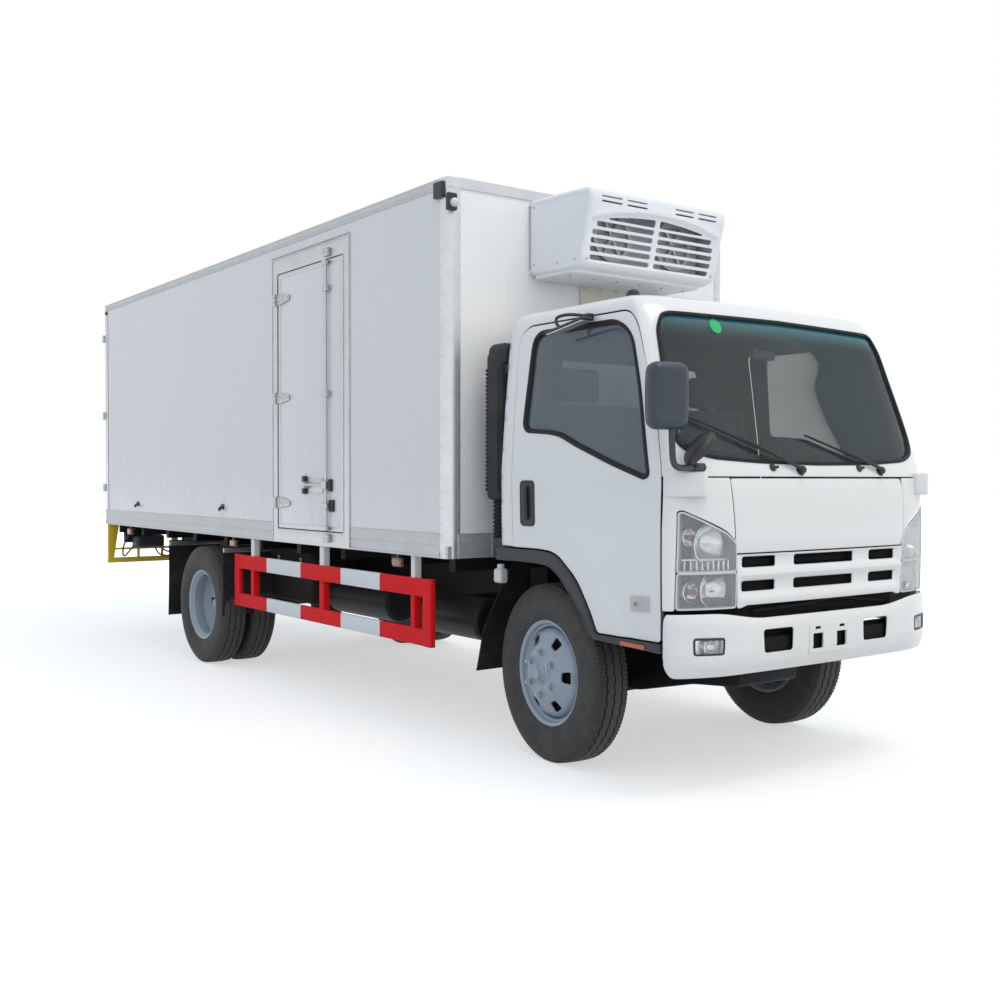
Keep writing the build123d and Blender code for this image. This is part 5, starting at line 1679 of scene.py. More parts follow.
def unit_slots():
    """Openings of the cooler's front as (across, down): six rows each side of a post under an arch,
    thin slots above.
    """
    loops = []
    reaches = (0.370, 0.454, 0.476, 0.480, 0.477, 0.468)
    for side in (-1, 1):
        for row, outer in enumerate(reaches):
            middle = 0.742 + (row - 1) * 0.0465
            top, foot = middle - 0.0145, middle + 0.0145
            corners = [(0.017, top), (outer, top), (outer - 0.004, foot), (0.018, foot)]
            radius = 0.0138
            if row == 0:
                corners = [
                    (0.016, 0.672), (0.12, 0.676), (0.24, 0.686), (outer, 0.703),
                    (outer - 0.006, 0.712), (0.018, 0.713)]
                radius = (0.012, 0.05, 0.05, 0.004, 0.004, 0.012)
            loops.append(smooth_loop(np.array(corners) * vec(side, 1), radius, 0.02))
        for start, stop in ((0.110, 0.262), (0.300, 0.452)):
            for low in (0.583, 0.613):
                corners = [(start, low), (stop, low), (stop, low + 0.010), (start, low + 0.010)]
                loops.append(smooth_loop(np.array(corners) * vec(side, 1), 0.0045, 0.02))
    return loops


def build_unit_shell():
    """The cooler's moulded shell with its openings, closed by end walls, and its tray.
    """
    wrap = UNIT_PROFILE[-1, 0]
    outline = [(-UNIT_HALF, 0.0), (UNIT_HALF, 0.0), (UNIT_HALF, wrap), (-UNIT_HALF, wrap)]
    outline = resample(outline, 0.035)
    shape = sheet_panel([outline, *unit_slots()], unit_skin, 0.010, 0.001, 0.013)
    down = np.linspace(0, wrap, 90)
    rim = np.column_stack(
        [smooth_table(UNIT_PROFILE[:, 0], UNIT_PROFILE[:, k], down) for k in (1, 2)])

    shape.join(
        slab(grown(rim, -0.020), UNIT_HALF - 0.012, UNIT_HALF - 0.001, to_side, 0.004).both())
    tray = soft_box((-UNIT_HALF + 0.02, 0.300, 2.638), (UNIT_HALF - 0.02, 0.670, 2.664), 0.008)
    return shape.join(tray)


def build_unit_fittings():
    """Screws along the shell's foot and ends, and under the tray."""
    shape = Shape()
    places = [(x, 0.205, 2.700) for x in (-0.49, 0.49)] + [
        (x, 0.40, 2.634) for x in np.linspace(-0.45, 0.45, 6)]
    for place, way in [
            (p, (0, -1, -0.2)) for p in places[:2]] + [(p, (0, 0, -1)) for p in places[2:]]:
        shape.join(studs([place], way, 0.008, 0.005))
    for y, z in ((0.63, 2.72), (0.63, 3.05), (0.26, 2.70), (0.42, 2.70)):
        shape.join(studs([(UNIT_HALF + 0.0, y, z)], (1, 0, 0), 0.007, 0.004).both())
    return shape


def build_unit_coil():
    """The condenser behind the shell's openings: a finned block and two fan rings with spokes.
    """
    shape = soft_box((-0.469, 0.300, 2.705), (0.469, 0.390, 3.030), 0.004, finish=0)
    for x in (-0.24, 0.24):
        ring = [(0.0, 0.12), (0.0, 0.145), (0.03, 0.145), (0.03, 0.12), (0.0, 0.12)]
        shape.join(turned(ring, (x, 0.275, 2.86), (0, 1, 0), 40, 1))
        for turn in np.arange(6) * math.pi / 3:
            tip = vec(x + 0.115 * math.cos(turn), 0.285, 2.86 + 0.115 * math.sin(turn))
            shape.join(bar([vec(x, 0.285, 2.86), tip], 0.012, 6, 1))
    return shape


def build_service_plate():
    """Cream pipe cover on the box front below the cooler, with its screws."""
    outline = oblong(-0.148, 0.545, 2.36, 2.650, 0.012)
    shape = slab(outline, -0.6755, -0.660, to_front, 0.003)
    spots = [(x, 0.659, z) for x in np.linspace(-0.12, 0.52, 6) for z in (2.385, 2.625)]
    return shape.join(studs(spots, (0, -1, 0), 0.007, 0.004, 1))


# ---- insulated box -----------------------------------------------------------------------
BOX_HALF, BOX_FRONT, BOX_REAR, BOX_LOW, BOX_TOP = 1.100, 0.675, 6.687, 1.030, 3.160
FOOT_RAIL, HEAD_RAIL, RAIL_FACE = 0.142, 0.062, 1.104
DOOR_FRONT, DOOR_REAR, DOOR_LOW, DOOR_TOP = 1.880, 2.820, 1.133, 2.908
HINGE_HEIGHTS = (1.308, 2.043, 2.735)


def plate_x(low_y, high_y, low_z, high_z, inner_x, outer_x, radius=0.004, edge=0.0012, finish=0):
    """A thin rounded plate that lies on a side of the box."""
    outline = oblong(low_y, high_y, low_z, high_z, radius)
    return slab(outline, inner_x, outer_x, to_side, edge, finish)


def build_box_posts():
    """Rounded front corner posts with their caps and rivets."""
    shape = Shape()
    turn = np.linspace(0, math.pi / 2, 9)
    arc = np.column_stack(
        [BOX_HALF - 0.048 + 0.052 * np.sin(turn), BOX_FRONT + 0.048 - 0.052 * np.cos(turn)])
    outer = np.vstack(
        [[(BOX_HALF - 0.080, BOX_FRONT - 0.004)], arc, [(BOX_HALF + 0.004, BOX_FRONT + 0.075)]])
    inner = np.vstack(
        [
            [(BOX_HALF + 0.0005, BOX_FRONT + 0.075)], arc[::-1] - vec(0.0035, -0.0035),
            [(BOX_HALF - 0.080, BOX_FRONT - 0.0005)]])
    section = np.vstack([outer, inner])
    heights = np.array(
        [BOX_LOW + FOOT_RAIL, BOX_LOW + 0.145, 2.0, BOX_TOP - 0.063, BOX_TOP - 0.060])
    shape.tube(np.stack([points_at(*section.T, z) for z in heights]))
    for low, high, more in (
            (BOX_LOW, BOX_LOW + FOOT_RAIL, 0.0015), (BOX_TOP - HEAD_RAIL, BOX_TOP - 0.0004, 0.003)):
        drawn_in, fat = grown(section, more - 0.002), grown(section, more)
        rings = ((drawn_in, low), (fat, low + 0.003), (fat, high - 0.003), (drawn_in, high))
        shape.tube(np.stack([points_at(*ring.T, z) for ring, z in rings]))
    rivet_z = np.arange(BOX_LOW + 0.20, BOX_TOP - 0.10, 0.085)
    shape.join(studs(points_at(BOX_HALF + 0.004, BOX_FRONT + 0.064, rivet_z),
                     (1, 0, 0), 0.0045, 0.0025, 1, 8))
    shape.join(studs(points_at(BOX_HALF - 0.070, BOX_FRONT - 0.004, rivet_z),
                     (0, -1, 0), 0.0045, 0.0025, 1, 8))
    return shape.both()


def build_box_front_rails():
    """Aluminium along the foot and the head of the box's front wall."""
    shape = Shape()
    for low, high in ((BOX_LOW, BOX_LOW + FOOT_RAIL), (BOX_TOP - HEAD_RAIL, BOX_TOP)):
        outline = oblong(-1.022, 1.022, low, high, 0.002)
        shape.join(slab(outline, BOX_FRONT - 0.004, BOX_FRONT + 0.001, to_rear, 0.001))
    return shape


def rail_runs(side):
    """The lengths (from, to) of the skirt rail on a side: the right one stops at the side door's
    frame.
    """
    if side < 0:
        return ((BOX_FRONT + 0.075, 1.786), (2.922, BOX_REAR))
    return ((BOX_FRONT + 0.075, BOX_REAR),)


def build_skirt_rails():
    """Skirt rails with a long groove and a lip, and the head rails with theirs."""
    shape = Shape()
    foot = np.array(
        [
            (0.0, 0.0), (0.006, 0.0), (0.008, 0.004), (0.008, 0.012), (0.004, 0.016),
            (0.004, 0.064), (0.002, 0.067), (0.002, 0.073), (0.004, 0.076), (0.004, 0.136),
            (0.006, 0.139), (0.005, 0.142), (0.0, 0.142)])
    head = np.array(
        [
            (0.0, 0.0), (0.004, 0.0), (0.005, 0.004), (0.004, 0.020), (0.002, 0.023),
            (0.002, 0.028), (0.004, 0.031), (0.005, 0.056), (0.002, 0.0610), (0.0, 0.0615),
            (-0.004, 0.0615), (-0.004, 0.050)])
    for side in (-1, 1):
        for section, level, runs in (
                (foot, BOX_LOW, rail_runs(side)),
                (head, BOX_TOP - HEAD_RAIL, ((BOX_FRONT + 0.075, BOX_REAR),))):
            for start, stop in runs:
                ys = np.linspace(start, stop, 9)
                rings = [points_at(BOX_HALF + section[:, 0], y, level + section[:, 1]) for y in ys]
                shape.join(Shape().tube(np.stack(rings)).on(side))
    rivets = np.arange(BOX_FRONT + 0.15, BOX_REAR - 0.05, 0.20)
    low_row = points_at(BOX_HALF + 0.004, rivets, BOX_LOW + 0.105)
    top_row = low_row * vec(1, 1, 0) + vec(0, 0, BOX_TOP - 0.018)
    shape.join(studs(top_row, (1, 0, 0), 0.004, 0.002, 1, 8).both())
    shape.join(studs(low_row, (1, 0, 0), 0.004, 0.002, 1, 8))
    clear = (rivets < 1.75) | (rivets > 2.95)
    return shape.join(studs(low_row[clear], (1, 0, 0), 0.004, 0.002, 1, 8).mirrored())


def build_roof_edge():
    """Front and rear aluminium edges of the roof."""
    shape = Shape()
    section = np.array(
        [
            (-0.002, -0.060), (-0.005, -0.058), (-0.005, -0.003), (-0.003, -0.0005),
            (0.0005, -0.0005), (0.0005, -0.060)])
    for y, turn in ((BOX_FRONT, 1), (BOX_REAR, -1)):
        xs = np.linspace(-1.03, 1.03, 7)
        rings = [points_at(x, y + turn * section[:, 0], BOX_TOP + section[:, 1]) for x in xs]
        shape.tube(np.stack(rings))
    return shape


def build_side_door_frame():
    """Drawn aluminium frame round the side doorway: two posts, a header over it and a sill under
    it.
    """
    shape = Shape()
    face, back = -(BOX_HALF + 0.007), -(BOX_HALF + 0.0005)
    front, rear, top = 1.788, 2.920, 3.035
    front_in, rear_in, head, sill = 1.872, 2.828, 2.916, 1.125
    for plate in ((front, front_in, BOX_LOW, top), (rear_in, rear, BOX_LOW, top),
                  (front_in, rear_in, head, top), (front_in, rear_in, BOX_LOW, sill)):
        shape.join(plate_x(*plate, face, back, 0.002))
    for raised in ((1.792, 1.800, BOX_LOW + 0.01, 3.025), (2.908, 2.916, BOX_LOW + 0.01, 3.025),
                   (1.80, 2.91, 3.012, 3.020), (1.866, front_in, 1.13, 2.91),
                   (rear_in, 2.834, 1.13, 2.91)):
        shape.join(plate_x(*raised, face - 0.004, face + 0.001, 0.002))
    gutter = plate_x(1.790, 2.925, 3.030, 3.037, -(BOX_HALF + 0.024), -(BOX_HALF - 0.001), 0.002)
    shape.join(gutter)
    spots = [(face, y, z) for y in (1.83, 2.87) for z in np.arange(1.10, 3.0, 0.21)]
    return shape.join(studs(spots, (-1, 0, 0), 0.005, 0.002, 1, 8))


def build_side_door():
    """The side door's leaf: a flush panel in an aluminium edge."""
    face = -(BOX_HALF + 0.003)
    inset, width = 0.030, 0.031
    front, rear = DOOR_FRONT + inset, DOOR_REAR - inset
    shape = plate_x(front, rear, DOOR_LOW + inset, DOOR_TOP - inset, face, -1.022, 0.003, 0.001, 0)
    for edge in ((DOOR_FRONT, DOOR_FRONT + width, DOOR_LOW, DOOR_TOP),
                 (DOOR_REAR - width, DOOR_REAR, DOOR_LOW, DOOR_TOP),
                 (front, rear, DOOR_TOP - width, DOOR_TOP),
                 (front, rear, DOOR_LOW, DOOR_LOW + width)):
        shape.join(plate_x(*edge, face - 0.003, -1.030, 0.003, 0.0015, 1))
    return shape


def strap_hinge(y_axis, z, reach, x_face):
    """A cast hinge: a tapered strap with a raised rib, its knuckle and five domed bolts."""
    def place(u, v, w):
        return np.stack([-w, u, v], axis=-1)

    outline = rounded(
        [
            (y_axis + 0.006, z - 0.040), (y_axis + 0.006, z + 0.040),
            (y_axis - reach * 0.45, z + 0.034), (y_axis - reach, z + 0.018),
            (y_axis - reach, z - 0.018), (y_axis - reach * 0.45, z - 0.034)],
        [0.003, 0.003, 0.02, 0.012, 0.012, 0.02])
    shape = slab(resample(outline, 0.02), x_face, x_face + 0.007, place, 0.002)
    face = -(x_face + 0.007)
    shape.join(
        bar([(face, y_axis - 0.012, z), (-(x_face + 0.006), y_axis - reach * 0.85, z)], 0.006, 8))
    for low, high in ((-0.042, -0.016), (-0.013, 0.013), (0.016, 0.042)):
        knuckle = [
            (low, 0.0), (low, 0.010), (low + 0.002, 0.012), (high - 0.002, 0.012), (high, 0.010),
            (high, 0.0)]
        shape.join(turned(knuckle, (-1.118, y_axis, z), (0, 0, 1), 18))
    bolts = ((0.25, 0.022), (0.25, -0.022), (0.55, 0.018), (0.55, -0.018), (0.88, 0.0))
    spots = [(face, y_axis - reach * share, z + up) for share, up in bolts]
    return shape.join(studs(spots, (-1, 0, 0), 0.0075, 0.005))


def build_side_door_hinges():
    """Three strap hinges of the side door."""
    shape = Shape()
    for z in HINGE_HEIGHTS:
        shape.join(strap_hinge(2.850, z, 0.21, 1.106))
    return shape


def build_side_door_hinge_leaves():
    """The fixed halves of the hinges on the door frame."""
    shape = Shape()
    for z in HINGE_HEIGHTS:
        shape.join(plate_x(2.862, 2.905, z - 0.038, z + 0.038, -1.112, -1.1065, 0.006, 0.0015))
        shape.join(
            studs(
                [(-1.112, 2.884, z - 0.022), (-1.112, 2.884, z + 0.022)], (-1, 0, 0), 0.0075, 0.005)
        )
    return shape


def build_side_door_lock():
    """Lock bar of the side door: a long zinc tube with cam ends in their keepers, guides and a
    lever handle.
    """
    x, y = -1.124, 2.075
    shape = bar([(x, y, z) for z in (DOOR_LOW + 0.01, 1.6, 2.2, DOOR_TOP - 0.01)], 0.0100, 14)
    for z in (1.30, 2.032, 2.72):
        shape.join(
            soft_box((x - 0.018, y - 0.030, z - 0.020), (-1.1035, y + 0.030, z + 0.020), 0.008))
        shape.join(
            studs([(-1.108, y - 0.040, z), (-1.108, y + 0.040, z)], (-1, 0, 0), 0.007, 0.005))
        shape.join(
            plate_x(y - 0.052, y + 0.052, z - 0.016, z + 0.016, -1.108, -1.103, 0.006, 0.0012))
    for z in (DOOR_LOW + 0.02, DOOR_TOP - 0.02):
        shape.join(
            soft_box((x - 0.016, y - 0.022, z - 0.016), (x + 0.014, y + 0.034, z + 0.016), 0.006))
    low = 1.435
    lever = curved(
        [
            (x - 0.008, y, low), (x - 0.015, y + 0.05, low), (x - 0.016, y + 0.20, low + 0.002),
            (x - 0.014, y + 0.335, low)],
        20)
    shape.join(bar(lever, 0.0095, 12))
    shape.join(
        soft_box((x - 0.024, y - 0.026, low - 0.026), (x + 0.012, y + 0.026, low + 0.026), 0.008))
    shape.join(
        plate_x(y + 0.075, y + 0.335, low - 0.050, low + 0.050, -1.110, -1.103, 0.010, 0.0015))
    shape.join(
        soft_box(
            (-1.130, y + 0.300, low - 0.062), (-RAIL_FACE, y + 0.345, low + 0.062), 0.010, finish=1)
    )
    shape.join(
        soft_box(
            (-1.130, y - 0.060, low - 0.040), (-RAIL_FACE, y - 0.030, low + 0.040), 0.006, finish=1)
    )
    for back in (-0.075, -0.040):
        shape.join(
            soft_box(
                (-1.124, y + back - 0.010, 1.262), (-RAIL_FACE, y + back + 0.010, 1.340), 0.004,
                finish=1))
    shape.join(
        soft_box((x - 0.024, y + 0.280, low - 0.022), (-1.108, y + 0.320, low + 0.022), 0.006))
    return shape


def build_side_door_keepers():
    """Keepers of the lock bar on the door frame, over and under the leaf."""
    shape = Shape()
    for z in (DOOR_LOW - 0.045, DOOR_TOP + 0.045):
        shape.join(soft_box((-1.134, 2.040, z - 0.028), (-1.1065, 2.110, z + 0.028), 0.006))
        shape.join(studs([(-1.134, 2.058, z), (-1.134, 2.092, z)], (-1, 0, 0), 0.007, 0.004))
    return shape


def build_box_fittings():
    """Ribbed plate at the foot of the box front, lashing hooks, and two brackets at the right front
    corner, where the round lamp sits.
    """
    shape = Shape()
    plate = oblong(-1.033, -0.797, 1.032, 1.170, 0.003)
    shape.join(slab(plate, -0.6712, -0.6690, to_front, 0.001))
    ribs = [(-1.03, -0.80, low, low + 0.006) for low in (1.163, 1.118, 1.074, 1.034)]
    for rib in [(-1.036, -1.028, 1.031, 1.172), (-0.802, -0.795, 1.031, 1.172), *ribs]:
        shape.join(slab(oblong(*rib, 0.002), -0.6700, -0.6650, to_front, 0.001))
    for y, z in ((5.768, 1.235), (3.827, 1.248)):
        ring = curved(
            [
                (-RAIL_FACE, y - 0.022, z + 0.012), (-1.126, y - 0.018, z - 0.006),
                (-1.130, y, z - 0.020), (-1.126, y + 0.018, z - 0.006),
                (-RAIL_FACE, y + 0.022, z + 0.012)],
            18)
        shape.join(bar(ring, 0.006, 8, 1)).join(
            plate_x(y - 0.03, y + 0.03, z - 0.012, z + 0.03, -1.105, -1.0995, 0.006, 0.001, 1))
    shape.join(soft_box((-1.128, 0.700, 3.045), (-1.103, 0.790, 3.135), 0.006, finish=1))
    shape.join(soft_box((-1.122, 0.640, 2.965), (-1.060, 0.672, 3.060), 0.006, finish=1))
    return shape


def build_marker_lamps():
    """Small lamps: three that hang under each side, one round white one at the box's right front
    corner.
    """
    shape = Shape()
    for y in (6.059, 3.671, 1.249):
        shape.join(soft_box((1.060, y - 0.048, 0.952), (1.094, y + 0.048, 1.006), 0.010, finish=0))
        shape.join(soft_box((1.058, y - 0.014, 1.002), (1.082, y + 0.014, 1.034), 0.002, finish=1))
    shape = shape.both()
    cap = [(0.0, 0.0), (0.0, 0.026), (0.014, 0.024), (0.022, 0.014), (0.024, 0.0)]
    return shape.join(turned(cap, (-1.085, 0.640, 3.005), (0, -1, 0), 24, 2))


def build_rear_frame():
    """Rear door frame in aluminium: two rounded posts, a sill and a header."""
    shape = Shape()
    y0, y1 = BOX_REAR - 0.060, BOX_REAR + 0.006

    post = oblong(1.030, RAIL_FACE, BOX_LOW + FOOT_RAIL, BOX_TOP - 0.06, 0.004)
    shape.join(slab(post, y0, y1, to_rear, 0.003).both())
    for low, high in ((BOX_LOW, BOX_LOW + 0.143), (BOX_TOP - 0.098, BOX_TOP - 0.0005)):
        band = oblong(-RAIL_FACE, RAIL_FACE, low, high, 0.004)
        shape.join(slab(band, BOX_REAR - 0.004 if low < 2 else y0, y1, to_rear, 0.003))
    return shape


def build_rear_door(sign):
    """A rear door's leaf: panel, aluminium edge, strap hinges, lock rods and levers."""
    low_x, high_x, low_z, high_z = 0.003, 1.024, 1.136, 3.054
    inset, width = 0.03, 0.031
    panel = oblong(low_x + inset, high_x - inset, low_z + inset, high_z - inset, 0.003)
    shape = slab(panel, 6.612, 6.6885, to_rear, 0.001, 0)
    for edge in ((low_x, low_x + width, low_z, high_z), (high_x - width, high_x, low_z, high_z),
                 (low_x + inset, high_x - inset, low_z, low_z + width),
                 (low_x + inset, high_x - inset, high_z - width, high_z)):
        shape.join(slab(oblong(*edge, 0.003), 6.615, 6.6905, to_rear, 0.0015, 1))
    for z in (1.385, 2.085, 2.835):
        strap = rounded(
            [
                (0.86, z - 0.018), (1.03, z - 0.036), (1.112, z - 0.036), (1.112, z + 0.036),
                (1.03, z + 0.036), (0.86, z + 0.018)],
            0.012)
        shape.join(slab(strap, 6.6905, 6.698, to_rear, 0.002, 2))
        knuckle = [
            (-0.036, 0.0), (-0.036, 0.010), (-0.033, 0.0125), (0.033, 0.0125), (0.036, 0.010),
            (0.036, 0.0)]
        shape.join(turned(knuckle, (1.115, 6.702, z), (0, 0, 1), 18, 2))
        shape.join(
            studs(
                [
                    (x, 6.698, z + up)
                    for x, up in ((0.88, 0.0), (0.95, 0.016), (0.95, -0.016), (1.02, 0.0))],
                (0, 1, 0), 0.0075, 0.005, 2))
    for x in (0.190, 0.620):
        shape.join(bar([(x, 6.713, z) for z in (1.150, 1.8, 2.4, 3.045)], 0.0125, 14, 2))
        for z in (1.325, 2.025, 2.725):
            shape.join(
                soft_box(
                    (x - 0.038, 6.690, z - 0.022), (x + 0.038, 6.731, z + 0.022), 0.008, finish=2))
        for z in (1.16, 3.03):
            shape.join(
                soft_box(
                    (x - 0.022, 6.690, z - 0.022), (x + 0.030, 6.731, z + 0.022), 0.006, finish=2))
        lever = curved(
            [
                (x, 6.716, 1.52), (x + 0.05, 6.720, 1.52), (x + 0.18, 6.721, 1.522),
                (x + 0.30, 6.719, 1.52)],
            16)
        shape.join(bar(lever, 0.0095, 12, 2)).join(
            soft_box((x + 0.25, 6.690, 1.49), (x + 0.31, 6.731, 1.55), 0.006, finish=2))
    return shape.on(sign)


def build_seals():
    """Dark rubber seals that show in the gaps round the rear leaves and the side door."""
    shape = Shape()
    for strip in ((-1.030, -1.0245, 1.13, 3.06), (1.0245, 1.030, 1.13, 3.06),
                  (-1.030, 1.030, 1.129, 1.135), (-1.030, 1.030, 3.055, 3.061)):
        shape.join(slab(oblong(*strip, 0.001), 6.60, 6.684, to_rear, 0.0005))
    for strip in ((1.8735, 1.8795, 1.127, 2.914), (2.8205, 2.8265, 1.127, 2.914),
                  (1.8735, 2.8265, 1.127, 1.1325), (1.8735, 2.8265, 2.9085, 2.914)):
        shape.join(plate_x(*strip, -BOX_HALF, -1.03, 0.001, 0.0005))
    return shape


# ---- guards, lamps, wheels ---------------------------------------------------------------


GUARD_UPRIGHTS = ((1.047, 1.090), (2.182, 2.242), (3.282, 3.337))


def build_side_guard():
    """Side guard for the right: two box rails, end plates, and uprights that go on up as white
    hangers.
    """
    shape = Shape()
    x0, x1 = -1.095, -1.065
    for low, high in ((0.796, 0.900), (0.512, 0.608)):
        shape.join(plate_x(0.859, 3.613, low, high, x0, x1, 0.006, 0.004, 0))
    for low_y, high_y in ((0.857, 0.945), (3.527, 3.615)):
        shape.join(plate_x(low_y, high_y, 0.510, 0.902, x0 - 0.002, x1 + 0.001, 0.006, 0.004, 0))
    for low_y, high_y in GUARD_UPRIGHTS:
        shape.join(
            soft_box((x0 + 0.006, low_y, 0.596), (x1 + 0.028, high_y, 0.812), 0.004, finish=0))
        shape.join(
            soft_box(
                (x0 + 0.008, low_y + 0.001, 0.890), (x1 + 0.030, high_y - 0.001, 1.030), 0.004,
                finish=1))
        for height in (0.56, 0.85):
            shape.join(
                studs([(x0 + 0.0005, (low_y + high_y) / 2, height)], (-1, 0, 0), 0.007, 0.004, 0))
    return shape


def build_underrun():
    """Yellow rear underrun frame: bar with capped ends, raked outer posts, inner posts with gussets
    and bolts.
    """
    shape = soft_box((-1.103, 6.630, 0.650), (1.103, 6.670, 0.700), 0.007)

    outer = rounded([(0.994, 1.030), (1.100, 1.030), (1.100, 0.655), (1.052, 0.655)], 0.006)
    inner = oblong(0.401, 0.461, 1.030, 0.655, 0.006)
    shape.join(
        slab(outer, 6.632, 6.668, to_rear, 0.004).both()
    ).join(slab(inner, 6.632, 6.668, to_rear, 0.004).both())
    for x in (0.30, 0.56, 0.80):
        shape.join(soft_box((x - 0.012, 6.640, 0.700), (x + 0.012, 6.660, 0.780), 0.004).both())
    shape.join(soft_box((-1.055, 6.645, 0.775), (1.055, 6.660, 0.795), 0.005))
    return shape.join(
        studs([(x, 6.670, 0.675) for x in (-0.9, -0.43, 0.43, 0.9)], (0, 1, 0), 0.010, 0.007))


def build_underrun_box():
    """Black junction box inside the rear frame, and the cables that hang from it."""
    shape = soft_box((-0.90, 6.40, 0.80), (-0.62, 6.56, 0.92), 0.020)
    loops = (
        [
            (-0.88, 6.50, 0.84), (-0.98, 6.52, 0.72), (-1.00, 6.50, 0.80), (-0.96, 6.46, 0.93),
            (-0.90, 6.44, 0.99)],
        [(-0.66, 6.52, 0.82), (-0.52, 6.56, 0.745), (-0.40, 6.55, 0.80), (-0.30, 6.50, 0.93)],
        [
            (-0.70, 6.50, 0.82), (-0.60, 6.54, 0.715), (-0.35, 6.55, 0.73), (-0.10, 6.50, 0.90),
            (0.1, 6.44, 0.98)],)
    for loop in loops:
        shape.join(bar(curved(loop, 30), 0.008, 8))
    return shape


def build_tail_lamps():
    """Tail lamps: dark tray, three lenses a side, with their brackets."""
    shape = Shape()
    y0 = 6.590
    shape.join(soft_box((0.655, y0, 0.845), (0.955, y0 + 0.040, 0.985), 0.010, finish=0))
    for low, high, finish in ((0.662, 0.752, 3), (0.758, 0.850, 1), (0.856, 0.948, 2)):
        shape.join(
            soft_box((low, y0 + 0.030, 0.855), (high, y0 + 0.060, 0.975), 0.010, finish=finish))
    shape.join(soft_box((0.760, y0, 0.98), (0.850, y0 + 0.010, 1.03), 0.003, finish=0))
    return shape.both()


# Height and outer reach of the front flap, which follows the arch.
ARCH_REACH = np.array(
    [(0.40, 0.945), (0.46, 0.934), (0.63, 0.906), (0.89, 0.781), (1.00, 0.710), (1.06, 0.680)])


def build_underbody():
    """Tray under the engine, the battery box behind the right guard, and a plain near-black box on
    the left that is painted shade under the body.
    """
    outline = [
        (-0.86, 0.600), (-0.86, 0.467), (-0.55, 0.440), (-0.16, 0.352), (0.15, 0.330),
        (0.45, 0.420), (0.45, 0.600)]
    shape = slab(smooth_loop(outline, 0.03, 0.05), -0.43, 0.0, to_side, 0.010)
    shape.join(soft_box((-0.860, 2.780, 0.570), (-0.440, 3.480, 0.960), 0.018))
    shape.join(soft_box((-0.872, 2.770, 0.880), (-0.440, 3.490, 0.965), 0.012))
    for y in (2.95, 3.31):
        shape.join(soft_box((-0.876, y - 0.02, 0.840), (-0.866, y + 0.02, 0.900), 0.004, finish=1))
    # painted shade: a plain near-black block that darkens the view under the body
    shape.join(soft_box((0.460, 1.780, 0.540), (0.860, 3.300, 0.960), 0.018))
    return shape


def build_mudflaps():
    """Rubber flaps behind and ahead of the wheels, the front ones narrowing upwards, with their
    clamp strips.
    """
    shape = Shape()
    for x0, x1, y, low, high in (
            (0.590, 0.985, 0.585, 0.400, 1.060), (0.700, 1.150, 4.850, 0.316, 0.953),
            (0.700, 1.150, 3.70, 0.42, 0.953)):
        t = np.linspace(0, 1, 24)
        height = high + (low - high) * t
        outer = (
            np.interp(height, ARCH_REACH[:, 0], ARCH_REACH[:, 1]) if y < 1 else np.full(len(t), x1))
        u = x0 + (outer - x0)[:, None] * np.linspace(0, 1, 9)
        lean = 0.030 * t**2
        sway = 0.006 * np.sin(t[:, None] * 3.0 + u * 7.0)
        front = np.stack(np.broadcast_arrays(u, y + lean[:, None] + sway, height[:, None]), axis=-1)
        back = front[:, ::-1] + vec(0, 0.008, 0)
        shape.tube(np.concatenate([front, back], axis=1))
        if y > 1:
            shape.join(
                soft_box(
                    (x0, y - 0.006, high - 0.045), (x1, y + 0.016, high - 0.010), 0.003, finish=1))
    return shape.both()

# ---- wheels and cabin --------------------------------------------------------------------
WHEEL_Z = TYRE_RADIUS = 0.4675
STEER_REST = math.radians(5.26)
KINGPIN_X, FRONT_WHEEL_X = 0.742, 0.8295
REAR_WHEEL_XS = (1.0445, 0.7945)
REAR_AXLE = 4.175
STUD_CIRCLE, HAND_HOLE_CIRCLE = 0.1111, 0.182


def tyre_section():
    """Half of the tyre's section from the bead to the crown, as (reach from the middle plane,
    radius).
    """
    knots = np.array(
        [
            (0.0805, 0.262), (0.0880, 0.276), (0.0925, 0.288), (0.1000, 0.315), (0.1062, 0.350),
            (0.1075, 0.380), (0.1050, 0.412), (0.0985, 0.438), (0.0900, 0.4525)])
    return smooth_line(knots, 20)


def smooth_line(knots, count):
    """A smooth open line through knots, points evenly shared between them."""
    at = np.linspace(0, len(knots) - 1, count)
    return np.column_stack([smooth_table(np.arange(len(knots)), knots[:, k], at) for k in range(2)])


